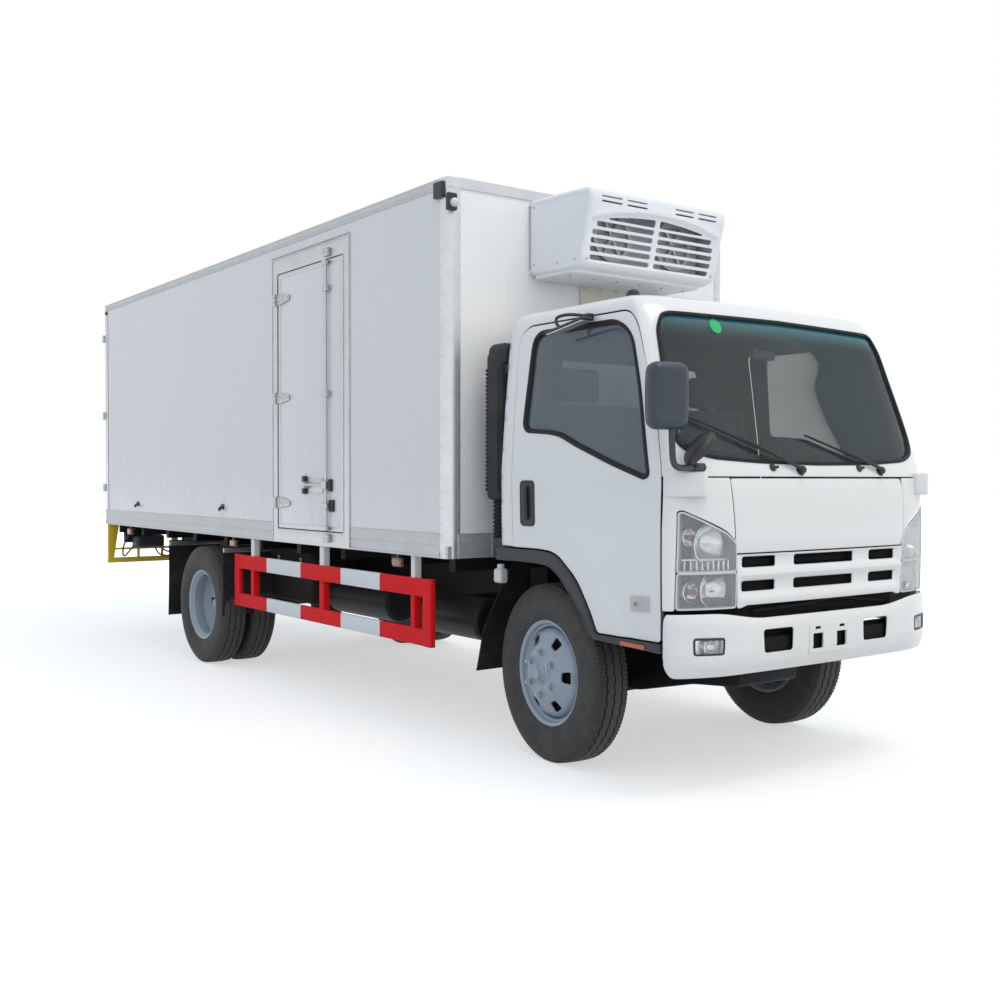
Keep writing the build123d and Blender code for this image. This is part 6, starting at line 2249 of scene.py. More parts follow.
def build_tyre(zigzag, notch):
    """A tyre about X: a closed section turned round, with zigzag grooves and shoulder notches.

    The crown is r = R - c (|x| / w)^2.4; a groove's columns shift sideways by a triangle wave of
    the angle, so its walls follow the wave.
    """
    around = 384
    turn = np.arange(around) * 2 * math.pi / around
    wave = np.abs(((np.arange(around) / 8.0) % 1.0) - 0.5) * 4 - 1
    wall = tyre_section()
    grooves = (-0.046, 0.0, 0.046)
    offsets, deeps = (-0.0068, -0.0052, -0.0036, 0.0036, 0.0052, 0.0068), [0, 0, 0.010, 0.010, 0, 0]
    columns = [centre + offset for centre in grooves for offset in offsets]
    columns = np.array([-0.082, -0.074] + columns + [0.074, 0.082])
    depths = np.array([0, 0] + deeps * len(grooves) + [0, 0])
    follow = np.array([0, 0.2] + [1.0] * (len(columns) - 4) + [0.2, 0])
    x = columns[None] + zigzag * wave[:, None] * follow[None]
    crown = TYRE_RADIUS - 0.004 * (np.abs(x) / 0.082) ** 2.4
    side = np.abs(columns) > 0.07
    notched = (np.arange(around) % 3 == 0)[:, None]
    cuts = notched * side[None] * notch
    radius = crown - depths[None] - cuts
    left = np.broadcast_to(wall[None], (around,) + wall.shape).copy()
    shoulder = np.clip((wall[:, 1] - 0.436) / 0.016, 0, 1)
    left[..., 1] -= notched * shoulder[None] * notch
    ribs = ((0.0012, 0.330, 0.004), (0.0016, 0.424, 0.003))
    rib = sum(high * np.exp(-(((wall[:, 1] - at) / wide) ** 2)) for high, at, wide in ribs)
    left[..., 0] += rib[None]
    first = left * vec(-1, 1)
    last = left[:, ::-1]
    tread = np.stack([x, radius], axis=-1)
    bead_in = np.array([(-0.070, 0.256), (-0.045, 0.300), (0.045, 0.300), (0.070, 0.256)])[::-1]
    inside_ring = np.broadcast_to(bead_in[None], (around, 4, 2))
    section = np.concatenate([first, tread, last, inside_ring], axis=1)
    x, radius = section[..., 0], section[..., 1]
    cos, sin = np.cos(turn)[:, None], np.sin(turn)[:, None]
    points = np.stack([x, radius * cos, radius * sin], axis=-1)
    return Shape().grid(points, 0, True, True)


def build_rim():
    """A steel wheel about X that faces +X: rolled rim, pressed disc with rounded-square hand holes
    and stud seats.
    """
    lip = np.array(
        [
            (0.0850, 0.2860), (0.0875, 0.2845), (0.0885, 0.2800), (0.0865, 0.2700),
            (0.0800, 0.2590), (0.0700, 0.2545), (0.0640, 0.2520), (0.0600, 0.2440),
            (0.0540, 0.2400), (-0.0300, 0.2350), (-0.0560, 0.2390), (-0.0640, 0.2500),
            (-0.0800, 0.2580), (-0.0870, 0.2700), (-0.0885, 0.2800), (-0.0870, 0.2850),
            (-0.0840, 0.2850), (-0.0820, 0.2640), (-0.0660, 0.2560), (-0.0580, 0.2430),
            (0.0500, 0.2440), (0.0620, 0.2560), (0.0790, 0.2620), (0.0815, 0.2820)])
    shape = turned(lip, (0, 0, 0), (1, 0, 0), 72)
    shape.join(turned(lip[[-1, 0]], (0, 0, 0), (1, 0, 0), 72))
    form = np.array(
        [
            (0.0, 0.125), (0.080, 0.125), (0.098, 0.1255), (0.128, 0.1265), (0.142, 0.123),
            (0.160, 0.112), (0.180, 0.100), (0.205, 0.088), (0.222, 0.074), (0.232, 0.055),
            (0.2365, 0.030)])

    def disc(u, v, depth):
        reach = np.hypot(u, v)
        return np.stack([smooth_table(form[:, 0], form[:, 1], reach) - depth, u, v], axis=-1)

    loops = [circle(0.2372, 96)]
    for k in range(6):
        angle = k * math.pi / 3
        out, across = vec(math.cos(angle), math.sin(angle)), vec(-math.sin(angle), math.cos(angle))
        corners = [(-0.024, -0.025), (0.026, -0.033), (0.026, 0.033), (-0.024, 0.025)]
        hole = rounded([out * (HAND_HOLE_CIRCLE + a) + across * b for a, b in corners], 0.014)
        loops.append(resample(hole, 0.008))
    shape.join(sheet_panel(loops, disc, 0.011, 0.003, 0.016))
    for k in range(6):
        angle = (k + 0.5) * math.pi / 3
        middle = STUD_CIRCLE * vec(math.cos(angle), math.sin(angle))
        seat = [(0.1255, 0.0), (0.1255, 0.0245), (0.1290, 0.0225), (0.1290, 0.0)]
        shape.join(turned(seat, (0, middle[0], middle[1]), (1, 0, 0), 24))
    return shape


def build_nuts(face, finish=0):
    """Six domed hexagon nuts on their studs, on a face at that reach."""
    shape = Shape()
    for k in range(6):
        angle = (k + 0.5) * math.pi / 3
        y, z = STUD_CIRCLE * math.cos(angle), STUD_CIRCLE * math.sin(angle)
        collar = [(0.0, 0.0), (0.0, 0.0195), (0.004, 0.0190), (0.005, 0.0)]
        hexagon = [(0.004, 0.0), (0.004, 0.0172), (0.020, 0.0172), (0.0225, 0.0145), (0.0235, 0.0)]
        stud = [(0.022, 0.0), (0.022, 0.0095), (0.031, 0.0090), (0.033, 0.0070), (0.033, 0.0)]
        for profile, around in ((collar, 24), (hexagon, 6), (stud, 16)):
            shape.join(
                turned([(face + a, r) for a, r in profile], (0, y, z), (1, 0, 0), around, finish))
    return shape


def build_hub(face, reach, radius):
    """A hub: stepped boss with a flange, bolts round it and a domed grease cap."""
    flange = [(face - 0.10, 0.0), (face - 0.10, radius), (face + 0.004, radius),
              (face + 0.006, radius - 0.004), (face + 0.010, radius * 0.80)]
    steps = ((0.55, 0.62), (0.62, 0.60), (0.64, 0.50), (0.92, 0.46), (0.99, 0.36), (1.0, 0.0))
    cap = [(face + reach * share, radius * size) for share, size in steps]
    shape = turned(flange + cap, (0, 0, 0), (1, 0, 0), 40)
    bolts = circle(0.70 * radius, 8)
    spots = points_at(face + reach * 0.30, bolts[:, 0], bolts[:, 1])
    return shape.join(studs(spots, (1, 0, 0), 0.006, 0.006, 0, 6))


def at_front(sign):
    """The change that puts a wheel about X at one front corner, turned as it rests."""
    cos, sin = math.cos(-STEER_REST), math.sin(-STEER_REST)

    def change(points):
        x = sign * (points[:, 0] + FRONT_WHEEL_X - KINGPIN_X)
        y = points[:, 1]
        return np.column_stack(
            [sign * KINGPIN_X + x * cos - y * sin, x * sin + y * cos, points[:, 2] + WHEEL_Z])

    return change


def at_rear(sign, middle, facing):
    """The change that puts a wheel about X on one side of the rear axle; facing -1 turns its face
    inwards.
    """
    def change(points):
        x = sign * (middle + facing * points[:, 0])
        return np.column_stack([x, points[:, 1] * facing + REAR_AXLE, points[:, 2] + WHEEL_Z])

    return change


def build_drum(back, face):
    """A brake drum about X: a cup with cooling ribs, open at the back, its floor at face."""
    ribs = np.linspace(back, face - 0.012, 33)
    skirt = np.column_stack([ribs, 0.203 + 0.004 * np.cos((ribs - back) * 2 * math.pi / 0.030)])
    floor_of_cup = [
        (face, 0.190), (face + 0.003, 0.090), (face - 0.005, 0.090), (face - 0.010, 0.180),
        (face - 0.022, 0.190)]
    profile = np.vstack([[(back, 0.190)], skirt, floor_of_cup, [(back, 0.190)]])
    return turned(profile, (0, 0, 0), (1, 0, 0), 48, 2)


def build_front_wheel(sign):
    """Rim, nuts, hub and brake drum of one front wheel."""
    shape = build_rim().join(build_nuts(0.129), 1).join(build_hub(0.120, 0.045, 0.062), 0)
    return shape.join(build_drum(-0.085, 0.066)).moved(at_front(sign))


def build_rear_wheel(sign):
    """Both rims of one rear corner, bolted face to face, with their nuts, hub and the half-shaft
    flange.
    """
    outer, inner = REAR_WHEEL_XS
    shape = build_rim().moved(at_rear(sign, outer, -1)).join(
        build_rim().moved(at_rear(sign, inner, 1)))
    between = at_rear(sign, (outer + inner) / 2, 1)
    shape.join(build_nuts(0.016).moved(between), 1)
    shape.join(build_drum(-0.210, -0.044).moved(between))
    return shape.join(build_hub(0.0, 0.115, 0.078).moved(between))


def cushion_block(low, high, crown, radius, channels, along):
    """A padded block: soft box whose top swells by crown (1-u^2)(1-v^2), with piped channels
    across.
    """
    grid = dense_box(low, high, radius)
    low, high = vec(*low), vec(*high)
    middle, half = (low + high) / 2, (high - low) / 2

    def swell(points):
        share = (points - middle) / half
        top = smooth_step(share[:, 2], 0.2, 0.9)
        bulge = crown * np.clip(1 - share[:, 0] ** 2, 0, 1) * np.clip(1 - share[:, 1] ** 2, 0, 1)
        seam = 0.010 * np.abs(np.sin(channels * math.pi * (share[:, along] + 1) / 2)) - 0.010
        piped = np.abs(share[:, 1 - along]) < 0.9
        return points + points_at(0.0, 0.0, top * (bulge + seam * piped))

    return grid.moved(swell)


def dense_box(low, high, radius, steps=26):
    """A rounded box on a fine grid: a cube's six faces, each point moved onto a box grown by its
    corner radius.
    """
    low, high = vec(*low), vec(*high)
    middle, half = (low + high) / 2, (high - low) / 2
    core = half - radius
    t = np.linspace(-1, 1, steps)
    t = np.sign(t) * np.abs(t) ** 0.75
    u, v = np.meshgrid(t, t, indexing="ij")
    shape = Shape()
    for axis in range(3):
        for side in (-1, 1):
            cube = np.zeros((steps, steps, 3))
            cube[..., axis] = side
            cube[..., (axis + 1) % 3], cube[..., (axis + 2) % 3] = u, v
            wide = cube * half
            inner = np.clip(wide, -core, core)
            push = wide - inner
            shape.grid(middle + inner + unit(push) * radius, 0)
    return shape


def build_seats():
    """Driver's seat and the double seat: swelled cushions and backrests with piped channels,
    headrests on posts.
    """
    cos, sin = math.cos(math.radians(80)), math.sin(math.radians(80))

    def stand(points):
        y = 0.215 - points[:, 2] * sin + points[:, 1] * cos
        z = 1.590 + points[:, 1] * sin + points[:, 2] * cos
        return np.column_stack([points[:, 0], y, z])

    shape = Shape()
    for low_x, high_x, heads in ((0.230, 0.780, (0.505,)), (-0.780, -0.080, (-0.500,))):
        shape.join(
            cushion_block((low_x, -0.230, 1.170), (high_x, 0.230, 1.330), 0.030, 0.045, 4, 0))
        rest = cushion_block(
            (low_x + 0.02, -0.300, 0.0), (high_x - 0.02, 0.290, 0.105), 0.024, 0.040, 4, 0)
        shape.join(rest.moved(stand))
        for x in heads:
            shape.join(dense_box((x - 0.13, 0.222, 1.905), (x + 0.13, 0.300, 2.090), 0.032, 14))
            for reach in (-0.06, 0.06):
                shape.join(bar([(x + reach, 0.262, 1.86), (x + reach, 0.262, 1.93)], 0.006, 8, 1))
    return shape


def build_dashboard():
    """Dashboard with a hooded binnacle, vents, a radio shelf and its padded top edge."""
    outline = np.array(
        [
            (-0.925, 1.250), (-0.690, 1.215), (-0.645, 1.290), (-0.655, 1.400), (-0.740, 1.468),
            (-0.895, 1.488)])

    shape = slab(smooth_loop(outline, 0.03, 0.04), -0.835, 0.835, to_side, 0.012)
    shape.join(soft_box((0.26, -0.80, 1.44), (0.70, -0.64, 1.545), 0.04))
    for x in (-0.70, -0.16, 0.10, 0.74):
        shape.join(
            soft_box((x - 0.055, -0.672, 1.352), (x + 0.055, -0.645, 1.402), 0.010, finish=1))
    shape.join(soft_box((-0.13, -0.670, 1.26), (0.10, -0.642, 1.33), 0.008, finish=1))
    for side in (-1, 1):
        shape.join(
            soft_box((side * 0.82 - 0.02, -0.90, 0.935), (side * 0.82 + 0.02, -0.80, 1.26), 0.006))
    return shape


def build_steering_wheel():
    """Steering wheel: a round-section rim, three flat spokes, boss and raked column."""
    centre, tilt = vec(0.480, -0.455, 1.500), math.radians(55.0)
    axis = vec(0, math.cos(tilt), math.sin(tilt))
    ring = np.linspace(0, 2 * math.pi, 17)[:-1]
    profile = np.column_stack([0.0145 * np.sin(ring), 0.205 + 0.0145 * np.cos(ring)])
    shape = turned(np.vstack([profile, profile[:1]]), centre, axis, 64)
    boss = [
        (-0.035, 0.0), (-0.035, 0.045), (0.0, 0.058), (0.018, 0.050), (0.024, 0.030), (0.026, 0.0)]
    shape.join(turned(boss, centre, axis, 28))
    across = vec(1, 0, 0)
    up = np.cross(axis, across)
    for angle in (-90, 20, 160):
        a = math.radians(angle)
        way = across * math.cos(a) + up * math.sin(a)
        spoke = [
            centre + way * 0.03 - axis * 0.004, centre + way * 0.12 + axis * 0.002,
            centre + way * 0.205]
        shape.join(bar(spoke, 0.012, 10))
    return shape.join(bar([centre - axis * 0.02, centre - axis * 0.24], 0.028, 14))


def build_lining():
    """Pale lining under the roof, sun visors, a tray before the double seat and the inner mirror.
    """
    shape = Shape()
    ways = np.linspace(-REAR_CENTRE, REAR_CENTRE, 81)[:-1]
    rim = cab_skin(ways, 2.285, 0.052)
    middle = vec(0, -0.14, 2.318)
    shares = np.linspace(0, 1, 8)
    under = middle + (rim - middle) * (1 - shares)[:, None, None]
    under[..., 2] = 2.285 + 0.033 * (1 - (1 - shares[:, None]) ** 2)
    over = under[::-1] + vec(0, 0, 0.008)
    over[-1] = under[0]
    shape.grid(np.concatenate([under, over]), 0, close_columns=True)
    for x in (-0.45, 0.45):
        shape.join(dense_box((x - 0.21, -0.640, 2.185), (x + 0.21, -0.615, 2.262), 0.012, 8))
    shape.join(soft_box((-0.64, -0.36, 1.171), (0.10, -0.25, 1.21), 0.02, finish=1))
    return shape.join(soft_box((-0.085, -0.64, 2.10), (0.085, -0.60, 2.15), 0.015, finish=1))

# ---- stage -------------------------------------------------------------------------------


def seen_direct(paint):
    """One for rays that come from the camera, from gloss or through glass."""
    light_path = paint.tree.nodes.new("ShaderNodeLightPath")
    names = ("Is Camera Ray", "Is Glossy Ray", "Is Transmission Ray")
    first, second, third = (Wire(paint, light_path.outputs[name]) for name in names)
    return first.high(second).high(third)


def build_floor():
    """A wide round floor: rings about the truck's middle, each point at (r cos a, r sin a, 0)."""
    ring = np.array([0.0, 2.0, 4.0, 6.0, 9.0, 14.0, 24.0, 45.0, 90.0])
    turn = full_turn(72)
    flat = ring[:, None, None] * np.stack([np.cos(turn), np.sin(turn), turn * 0], axis=-1)[None]
    mesh = bpy.data.meshes.new("floor")
    quads = grid_quads(len(ring), len(turn), False, True)
    mesh.from_pydata(flat.reshape(-1, 3).tolist(), [], quads.tolist())
    paint = Paint("floor_white")
    cloud = paint.noise(0.4, 2.0)
    pale = paint.mix((0.60, 0.595, 0.585), (0.62, 0.615, 0.605), cloud)
    matt = paint.node("ShaderNodeBsdfDiffuse", None, {"Color": pale})
    reach = (paint.axis("X") * paint.axis("X") + paint.axis("Y") * paint.axis("Y")) ** 0.5
    glow = paint.node(
        "ShaderNodeEmission", None,
        {"Color": (1, 1, 1), "Strength": reach.step(5.0, 14.0) * 0.45 + 0.55})
    both = paint.node("ShaderNodeAddShader", None, {0: matt, 1: glow})
    mixed = paint.node("ShaderNodeMixShader", None, {0: seen_direct(paint), 1: matt, 2: both})
    paint.tree.links.new(mixed.socket, paint.out.inputs["Surface"])
    mesh.materials.append(paint.material)
    floor = bpy.data.objects.new("floor", mesh)
    bpy.context.scene.collection.objects.link(floor)
    return floor


def build_world(stage):
    """White where it is seen; for light, a soft blue sky that turns white and stronger ahead of the
    truck.
    """
    world = bpy.data.worlds.new("studio")
    bpy.context.scene.world = world
    world.use_nodes = True
    paint = Paint.__new__(Paint)
    paint.tree = world.node_tree
    paint.tree.nodes.clear()
    out = paint.tree.nodes.new("ShaderNodeOutputWorld")
    paint.place = paint.node("ShaderNodeTexCoord", output="Generated")
    ahead = paint.node("ShaderNodeSeparateXYZ", None, {"Vector": paint.place}, "Y") * -1
    share = ahead.step(0.0, 0.9)
    sky = paint.mix((0.74, 0.86, 1.0), (0.99, 0.99, 0.97), share)
    strength = share * (0.42 * stage.sky_strength) + stage.sky_strength
    light = paint.node("ShaderNodeBackground", None, {"Color": sky, "Strength": strength})
    white = paint.node("ShaderNodeBackground", None, {"Color": (1, 1, 1), "Strength": 1.0})
    mixed = paint.node("ShaderNodeMixShader", None, {0: seen_direct(paint), 1: light, 2: white})
    paint.tree.links.new(mixed.socket, out.inputs["Surface"])


def area_lamp(name, place, target, size, power, colour):
    """A soft lamp of a square metre size that faces a target."""
    data = bpy.data.lights.new(name, "AREA")
    data.shape, data.size, data.energy, data.color = "SQUARE", size, power, colour
    lamp = bpy.data.objects.new(name, data)
    bpy.context.scene.collection.objects.link(lamp)
    lamp.location = place
    lamp.rotation_euler = (Vector(target) - Vector(place)).to_track_quat("-Z", "Y").to_euler()
    return lamp


CAMERA_PLACE = (-4.66108, -7.48007, 1.48287)
CAMERA_TURN = (88.81601, 0.0, -36.07431)
CAMERA_ROLL = 0.0792
CAMERA_LENS, CAMERA_SHIFT = 41.357, (0.00617, 0.00188)


def build_camera():
    """The view that the truck is shown from: low, off its right front corner."""
    data = bpy.data.cameras.new("camera")
    data.lens, data.sensor_width = CAMERA_LENS, 36.0
    data.shift_x, data.shift_y = CAMERA_SHIFT
    data.clip_end = 300.0
    camera = bpy.data.objects.new("camera", data)
    bpy.context.scene.collection.objects.link(camera)
    camera.location = CAMERA_PLACE
    turn = Euler([math.radians(angle) for angle in CAMERA_TURN]).to_matrix()
    camera.rotation_euler = (turn @ Matrix.Rotation(math.radians(CAMERA_ROLL), 3, "Z")).to_euler()
    bpy.context.scene.camera = camera
    return camera


# ---- add-on ------------------------------------------------------------------------------


class TruckColours(bpy.types.PropertyGroup):
    """Colours that the finishes start from."""

    cab_white: bpy.props.FloatVectorProperty(
        name="Cab white", description="Gloss white of the cab", subtype="COLOR", size=3,
        default=(0.82, 0.822, 0.82))
    box_white: bpy.props.FloatVectorProperty(
        name="Box white", description="White of the box panels", subtype="COLOR", size=3,
        default=(0.79, 0.79, 0.79))
    aluminium: bpy.props.FloatVectorProperty(
        name="Aluminium", description="Rails, posts and door frames", subtype="COLOR", size=3,
        default=(0.66, 0.68, 0.70))
    guard_red: bpy.props.FloatVectorProperty(
        name="Guard red", description="Red of the side guards", subtype="COLOR", size=3,
        default=(0.78, 0.006, 0.010))
    guard_yellow: bpy.props.FloatVectorProperty(
        name="Guard yellow", description="Yellow of the rear frame", subtype="COLOR", size=3,
        default=(0.78, 0.52, 0.02))


class TruckSizes(bpy.types.PropertyGroup):
    """Sizes of what the frame leaves open."""

    tread_wave: bpy.props.FloatProperty(
        name="Tread wave", description="Sideways reach of the tread grooves", subtype="DISTANCE",
        unit="LENGTH", default=0.0042)
    tread_notch: bpy.props.FloatProperty(
        name="Tread notch", description="Depth of the shoulder notches", subtype="DISTANCE",
        unit="LENGTH", default=0.006)


class TruckStage(bpy.types.PropertyGroup):
    """Light for the view."""

    sky_strength: bpy.props.FloatProperty(
        name="Sky strength", description="Strength of the soft sky", default=0.80)
    key_power: bpy.props.FloatProperty(
        name="Key power", description="Power of the large lamp ahead of the truck", unit="POWER",
        default=560.0)


def sided(name, side):
    """The name of a piece on one side."""
    return f"{name}_{side}"


class PieceMaker:
    """What the operators share: execute runs the operator's own work and reports that it finished.
    """

    bl_options = {"REGISTER"}

    def execute(self, context):
        self.work(context.scene)
        return {"FINISHED"}


class TRUCK_OT_finishes(PieceMaker, bpy.types.Operator):
    """Make every finish and put one on each piece of the frame that stays in sight."""

    bl_idname = "truck.finishes"
    bl_label = "Finishes"

    def work(self, scene):
        mix_finishes(scene.truck_colours)
        for node, finish in FRAME_FINISH.items():
            mesh = frame["nodes"][node].data
            mesh.materials.clear()
            mesh.materials.append(FINISH[finish])


class TRUCK_OT_cab_shell(PieceMaker, bpy.types.Operator):
    """Build the cab's pressed shell: pillars, windscreen frame, back wall, roof and the fixed front
    corners.
    """

    bl_idname = "truck.cab_shell"
    bl_label = "Cab shell"

    def work(self, scene):
        build_cab_shell().piece(
            "cab_shell", "cab", "cab_white", ["cab", "lining"],
            replaces=("cab_cowl", "cab_roof", "cab_back"))
        build_front_corners().piece("front_corners", "cab", "cab_white", ["cab", "trim"])
        build_flares().piece(
            "arch_flares", "cab", "black_plastic", ["plastic"], replaces=("wheel_arches",))
        build_reflectors().piece("sill_reflectors", "cab", "lamp_red", ["reflector"])
        build_dome().piece("aerial_dome", "cab", "black_plastic", ["plastic"])


class TRUCK_OT_cab_glass(PieceMaker, bpy.types.Operator):
    """Build the windscreen and rear window with their rubbers, and the plain disc on the screen."""

    bl_idname = "truck.cab_glass"
    bl_label = "Cab glass"

    def work(self, scene):
        build_panes().piece("panes", "cab", "glass", ["screen"], replaces=("cab_glass",))
        build_screen_rubber().piece("screen_rubber", "cab", "black_plastic", ["rubber"])
        build_sticker().piece("screen_disc", "cab", "cab_white", ["sticker"])


class TRUCK_OT_cab_front(PieceMaker, bpy.types.Operator):
    """Build the plain front panel, the grille with its dark duct, and the wipers."""

    bl_idname = "truck.cab_front"
    bl_label = "Front panel and grille"

    def work(self, scene):
        build_front_panel().piece(
            "front_panel_skin", "cab", "cab_white", ["cab"], replaces=("front_panel",))
        build_grille().piece(
            "grille_moulding", "cab", "cab_white", ["cab", "dark"], replaces=("grille",))
        build_grille_back().piece("grille_duct", "cab", "black_plastic", ["dark"])
        build_wipers().piece("wipers", "cab", "black_plastic", ["plastic"])


class TRUCK_OT_headlamps(PieceMaker, bpy.types.Operator):
    """Build the two-tier headlamps."""

    bl_idname = "truck.headlamps"
    bl_label = "Headlamps"

    def work(self, scene):
        build_lamp_bodies().piece(
            "headlamp_bodies", "cab", "lamp_clear", ["chrome", "amber", "tray"],
            replaces=("headlamps",))
        build_lamp_lenses().piece("headlamp_lenses", "cab", "lamp_clear", ["lens"])
        build_lamp_frames().piece("headlamp_frames", "cab", "lamp_clear", ["alloy_dull"])


class TRUCK_OT_bumper(PieceMaker, bpy.types.Operator):
    """Build the bumper with its openings, the dark trays behind them and the fog lamps."""

    bl_idname = "truck.bumper"
    bl_label = "Bumper"

    def work(self, scene):
        build_bumper().piece(
            "bumper_skin", "chassis", "cab_white", ["bumper", "dark"], replaces=("bumper",))
        build_bumper_back().piece("bumper_trays", "chassis", "black_plastic", ["dark"])
        build_fog_lamps().piece("fog_lamps", "chassis", "lamp_clear", ["chrome", "lens", "plastic"])


class TRUCK_OT_cab_doors(PieceMaker, bpy.types.Operator):
    """Build both cab doors with glass, rubbers, handles and repeater lamps."""

    bl_idname = "truck.cab_doors"
    bl_label = "Cab doors"

    def work(self, scene):
        for side, sign in SIDES:
            door = sided("cab_door", side)
            build_door().on(sign).piece(
                door + "_skin", door, "cab_white", ["cab", "trim"], replaces=(door,))
            build_door_rubber().on(sign).piece(door + "_rubber", door, "black_plastic", ["rubber"])
            build_door_pane().on(sign).piece(
                door + "_pane", door, "glass", ["glass"], replaces=(sided("door_glass", side),))
            build_door_handle().on(sign).piece(door + "_handle", door, "black_plastic", ["plastic"])
            build_repeater().on(sign).piece(
                door + "_repeater", door, "lamp_clear", ["alloy_dull", "lens", "amber"])


class TRUCK_OT_mirrors(PieceMaker, bpy.types.Operator):
    """Build the two mirrors of the right front corner and the small one over the right door."""

    bl_idname = "truck.mirrors"
    bl_label = "Mirrors"

    def work(self, scene):
        # the main mirror's housing takes the bluish finish with the painted sky reflection
        build_main_mirror().piece(
            "main_mirror", "cab", "black_plastic", ["mirror_back", "mirror"], replaces=("mirrors",))
        build_front_mirror().piece(
            "front_mirror", "cab", "black_plastic", ["plastic", "mirror", "zinc"])
        build_over_door_mirror().piece(
            "over_door_mirror", "cab", "black_plastic", ["plastic", "mirror"])


class TRUCK_OT_intake(PieceMaker, bpy.types.Operator):
    """Build the air intake behind the cab and the washer bottle."""

    bl_idname = "truck.intake"
    bl_label = "Air intake"

    def work(self, scene):
        build_intake().piece("intake", "cab", "black_plastic", ["hose"], replaces=("intake_stack",))
        build_washer_bottle().piece("washer_bottle", "cab", "black_plastic", ["bottle"])


class TRUCK_OT_cabin(PieceMaker, bpy.types.Operator):
    """Build the seats, dashboard, steering wheel and lining."""

    bl_idname = "truck.cabin"
    bl_label = "Cabin"

    def work(self, scene):
        seats = build_seats().piece(
            "seats_padded", "cab", "seat_fabric", ["cloth", "zinc"], replaces=("seats",), sharp=60)
        build_dashboard().piece(
            "dashboard_moulding", "cab", "interior_grey", ["trim", "plastic"],
            replaces=("dashboard",))
        build_steering_wheel().piece(
            "steering_wheel_moulding", "cab", "interior_grey", ["plastic"],
            replaces=("steering_wheel",))
        build_lining().piece("cab_lining", "cab", "interior_grey", ["lining", "trim"])


class TRUCK_OT_cooler(PieceMaker, bpy.types.Operator):
    """Build the cooling unit's shell, coil and screws, and the service plate under it."""

    bl_idname = "truck.cooler"
    bl_label = "Cooling unit"

    def work(self, scene):
        build_unit_shell().piece(
            "cooler_shell", "chassis", "unit_white", ["unit"], replaces=("refrigeration_unit",))
        build_unit_fittings().piece("cooler_screws", "chassis", "steel_dark", ["zinc"])
        build_unit_coil().piece(
            "cooler_coil", "chassis", "coil_grey", ["coil", "alloy_dull"], replaces=("unit_coil",))
        build_service_plate().piece("service_plate", "chassis", "unit_white", ["cream", "zinc"])


class TRUCK_OT_box_trim(PieceMaker, bpy.types.Operator):
    """Build the box's rails, posts, edges, vent, hooks, marker lamps, rear frame and seals."""

    bl_idname = "truck.box_trim"
    bl_label = "Box trim"

    def work(self, scene):
        build_box_posts().piece("box_posts", "chassis", "aluminium", ["alloy_up", "zinc"])
        build_box_front_rails().piece("box_front_rails", "chassis", "aluminium", ["alloy_across"])
        build_skirt_rails().piece(
            "skirt_and_head_rails", "chassis", "aluminium", ["alloy_long", "zinc"],
            replaces=("box_rails",))
        build_roof_edge().piece("roof_edges", "chassis", "aluminium", ["alloy_across"])
        build_box_fittings().piece(
            "box_fittings", "chassis", "aluminium", ["alloy_dull", "plastic"])
        build_marker_lamps().piece(
            "marker_lamps", "chassis", "lamp_red", ["marker", "plastic", "white_lamp"])
        build_rear_frame().piece(
            "rear_frame_skin", "chassis", "aluminium", ["alloy_up"], replaces=("rear_frame",))
        build_seals().piece("door_seals", "chassis", "black_plastic", ["rubber"])


class TRUCK_OT_side_door(PieceMaker, bpy.types.Operator):
    """Build the side door, its frame, hinges and lock bar."""

    bl_idname = "truck.side_door"
    bl_label = "Side door"

    def work(self, scene):
        build_side_door().piece(
            "side_door_leaf", "side_door", "box_white", ["door", "alloy_frame"],
            replaces=("side_door",))
        build_side_door_hinges().piece("side_door_hinges", "side_door", "steel_dark", ["zinc"])
        build_side_door_lock().piece(
            "side_door_lock", "side_door", "steel_dark", ["zinc", "plastic"])
        build_side_door_frame().piece("side_door_frame", "chassis", "aluminium", ["alloy_frame"])
        build_side_door_hinge_leaves().piece("side_hinge_leaves", "chassis", "steel_dark", ["zinc"])
        build_side_door_keepers().piece("side_lock_keepers", "chassis", "steel_dark", ["zinc"])


class TRUCK_OT_rear_doors(PieceMaker, bpy.types.Operator):
    """Build both rear doors with hinges and lock rods."""

    bl_idname = "truck.rear_doors"
    bl_label = "Rear doors"

    def work(self, scene):
        for side, sign in SIDES:
            door = sided("rear_door", side)
            build_rear_door(sign).piece(
                door + "_leaf", door, "box_white", ["door", "alloy_up", "zinc"], replaces=(door,))


class TRUCK_OT_guards(PieceMaker, bpy.types.Operator):
    """Build the side guards, mudflaps, underbody, rear underrun frame, its junction box and the
    tail lamps.
    """

    bl_idname = "truck.guards"
    bl_label = "Guards and tail"

    def work(self, scene):
        for side, sign in SIDES:
            node = sided("side_guard", side)
            guard = build_side_guard() if sign < 0 else build_side_guard().mirrored()
            guard.piece(
                node + "_frame", "chassis", "guard_red", ["stripes", "post_white"], replaces=(node,)
            )
        build_underrun().piece(
            "underrun_frame", "chassis", "guard_yellow", ["yellow"], replaces=("rear_underrun",))
        build_underrun_box().piece("junction_box", "chassis", "black_plastic", ["plastic"])
        build_underbody().piece(
            "engine_tray_and_battery_box", "chassis", "frame_black", ["chassis", "zinc"])
        build_tail_lamps().piece(
            "tail_lamp_units", "chassis", "lamp_red", ["plastic", "red", "amber", "lens"],
            replaces=("tail_lamps",))
        build_mudflaps().piece(
            "mudflap_sheets", "chassis", "black_plastic", ["flap", "zinc"], replaces=("mudflaps",))


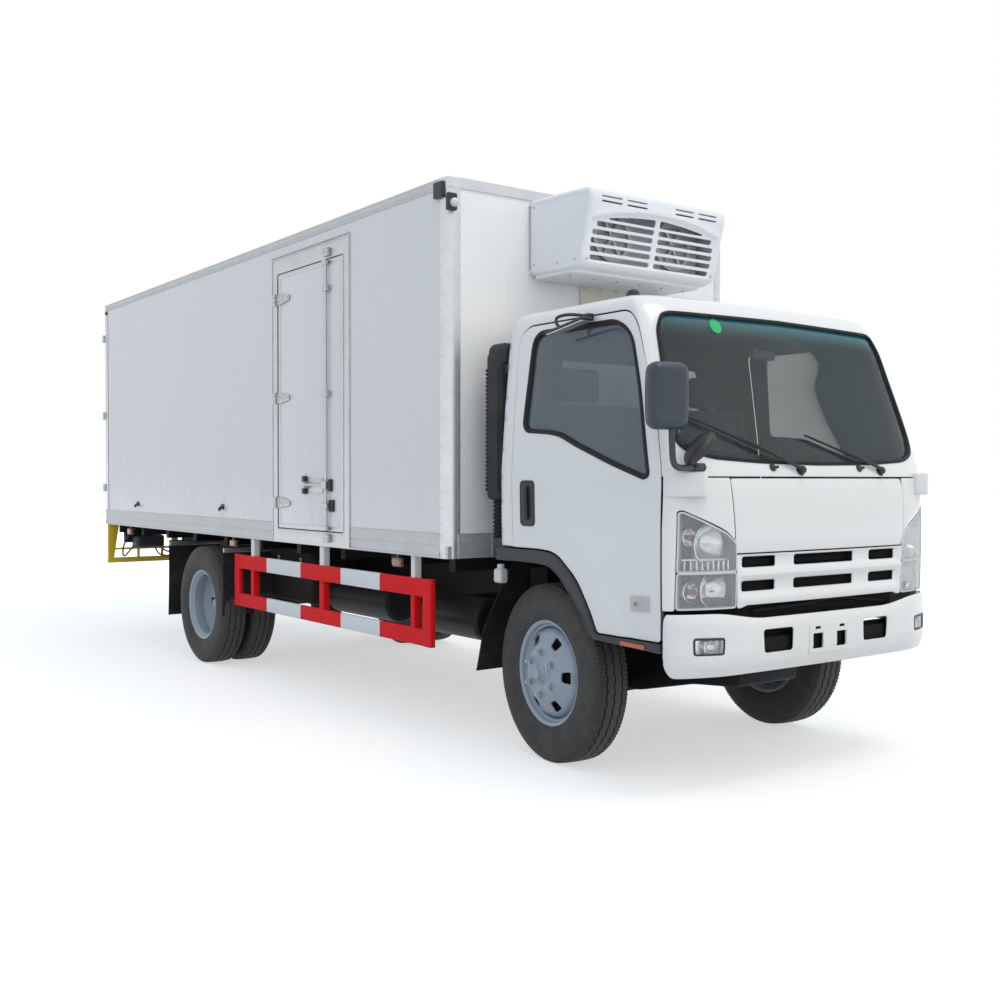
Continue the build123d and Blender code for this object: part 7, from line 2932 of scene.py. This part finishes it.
class TRUCK_OT_wheels(PieceMaker, bpy.types.Operator):
    """Build the tyres with their tread and the steel wheels with nuts and hubs."""

    bl_idname = "truck.wheels"
    bl_label = "Wheels"

    def work(self, scene):
        sizes = scene.truck_sizes
        tyre = build_tyre(sizes.tread_wave, sizes.tread_notch)
        for side, sign in SIDES:
            body = sided("front_wheel", side)
            tyre.moved(at_front(sign)).piece(
                body + "_tyre", body, "tyre", ["front_tyre"], replaces=(sided("front_tyre", side),))
            build_front_wheel(sign).piece(
                body + "_rim", body, "wheel_silver", ["wheel", "nut", "axle"],
                replaces=(sided("front_rim", side),))
            body = sided("rear_wheels", side)
            pair = Shape()
            for middle in REAR_WHEEL_XS:
                pair.join(tyre.moved(at_rear(sign, middle, 1)))
            pair.piece(
                body + "_tyres", body, "tyre", ["rear_tyre"], replaces=(sided("rear_tyres", side),))
            build_rear_wheel(sign).piece(
                body + "_rims", body, "wheel_silver", ["wheel", "nut", "axle"],
                replaces=(sided("rear_rims", side),))


class TRUCK_OT_stage(PieceMaker, bpy.types.Operator):
    """Lay the floor, light the truck and set the camera."""

    bl_idname = "truck.stage"
    bl_label = "Stage"

    def work(self, scene):
        stage = scene.truck_stage
        scene.view_settings.view_transform = "Standard"
        build_world(stage)
        key = area_lamp(
            "key", (1.5, -9.0, 16.0), (0, -2, 1.5), 6.0, stage.key_power, (1.0, 0.945, 0.86))
        build_floor()
        build_camera()


OPERATORS = (
    TRUCK_OT_finishes, TRUCK_OT_cab_shell, TRUCK_OT_cab_glass, TRUCK_OT_cab_front,
    TRUCK_OT_headlamps, TRUCK_OT_bumper, TRUCK_OT_cab_doors, TRUCK_OT_mirrors, TRUCK_OT_intake,
    TRUCK_OT_cabin, TRUCK_OT_cooler, TRUCK_OT_box_trim, TRUCK_OT_side_door, TRUCK_OT_rear_doors,
    TRUCK_OT_guards, TRUCK_OT_wheels, TRUCK_OT_stage,)
GROUPS = {"truck_colours": TruckColours, "truck_sizes": TruckSizes, "truck_stage": TruckStage}


class TRUCK_PT_panel(bpy.types.Panel):
    """The truck's operators and their values in the sidebar."""

    bl_idname = "TRUCK_PT_panel"
    bl_label = "Refrigerated truck"
    bl_space_type = "VIEW_3D"
    bl_region_type = "UI"
    bl_category = "Truck"

    def draw(self, context):
        column = self.layout.column(align=True)
        for operator in OPERATORS:
            column.operator(operator.bl_idname)
        for name, group in GROUPS.items():
            box = self.layout.box()
            for key in group.__annotations__:
                box.prop(getattr(context.scene, name), key)


CLASSES = (*GROUPS.values(), *OPERATORS, TRUCK_PT_panel)


def register():
    for one in CLASSES:
        bpy.utils.register_class(one)
    for name, group in GROUPS.items():
        setattr(bpy.types.Scene, name, bpy.props.PointerProperty(type=group))


def unregister():
    for name in GROUPS:
        delattr(bpy.types.Scene, name)
    for one in reversed(CLASSES):
        bpy.utils.unregister_class(one)


def main():
    register()
    for operator in OPERATORS:
        call = getattr(bpy.ops.truck, operator.bl_idname.split(".")[1])
        if call() != {"FINISHED"}:
            raise RuntimeError(operator.bl_label + " did not finish")


if __name__ == "__main__":
    main()
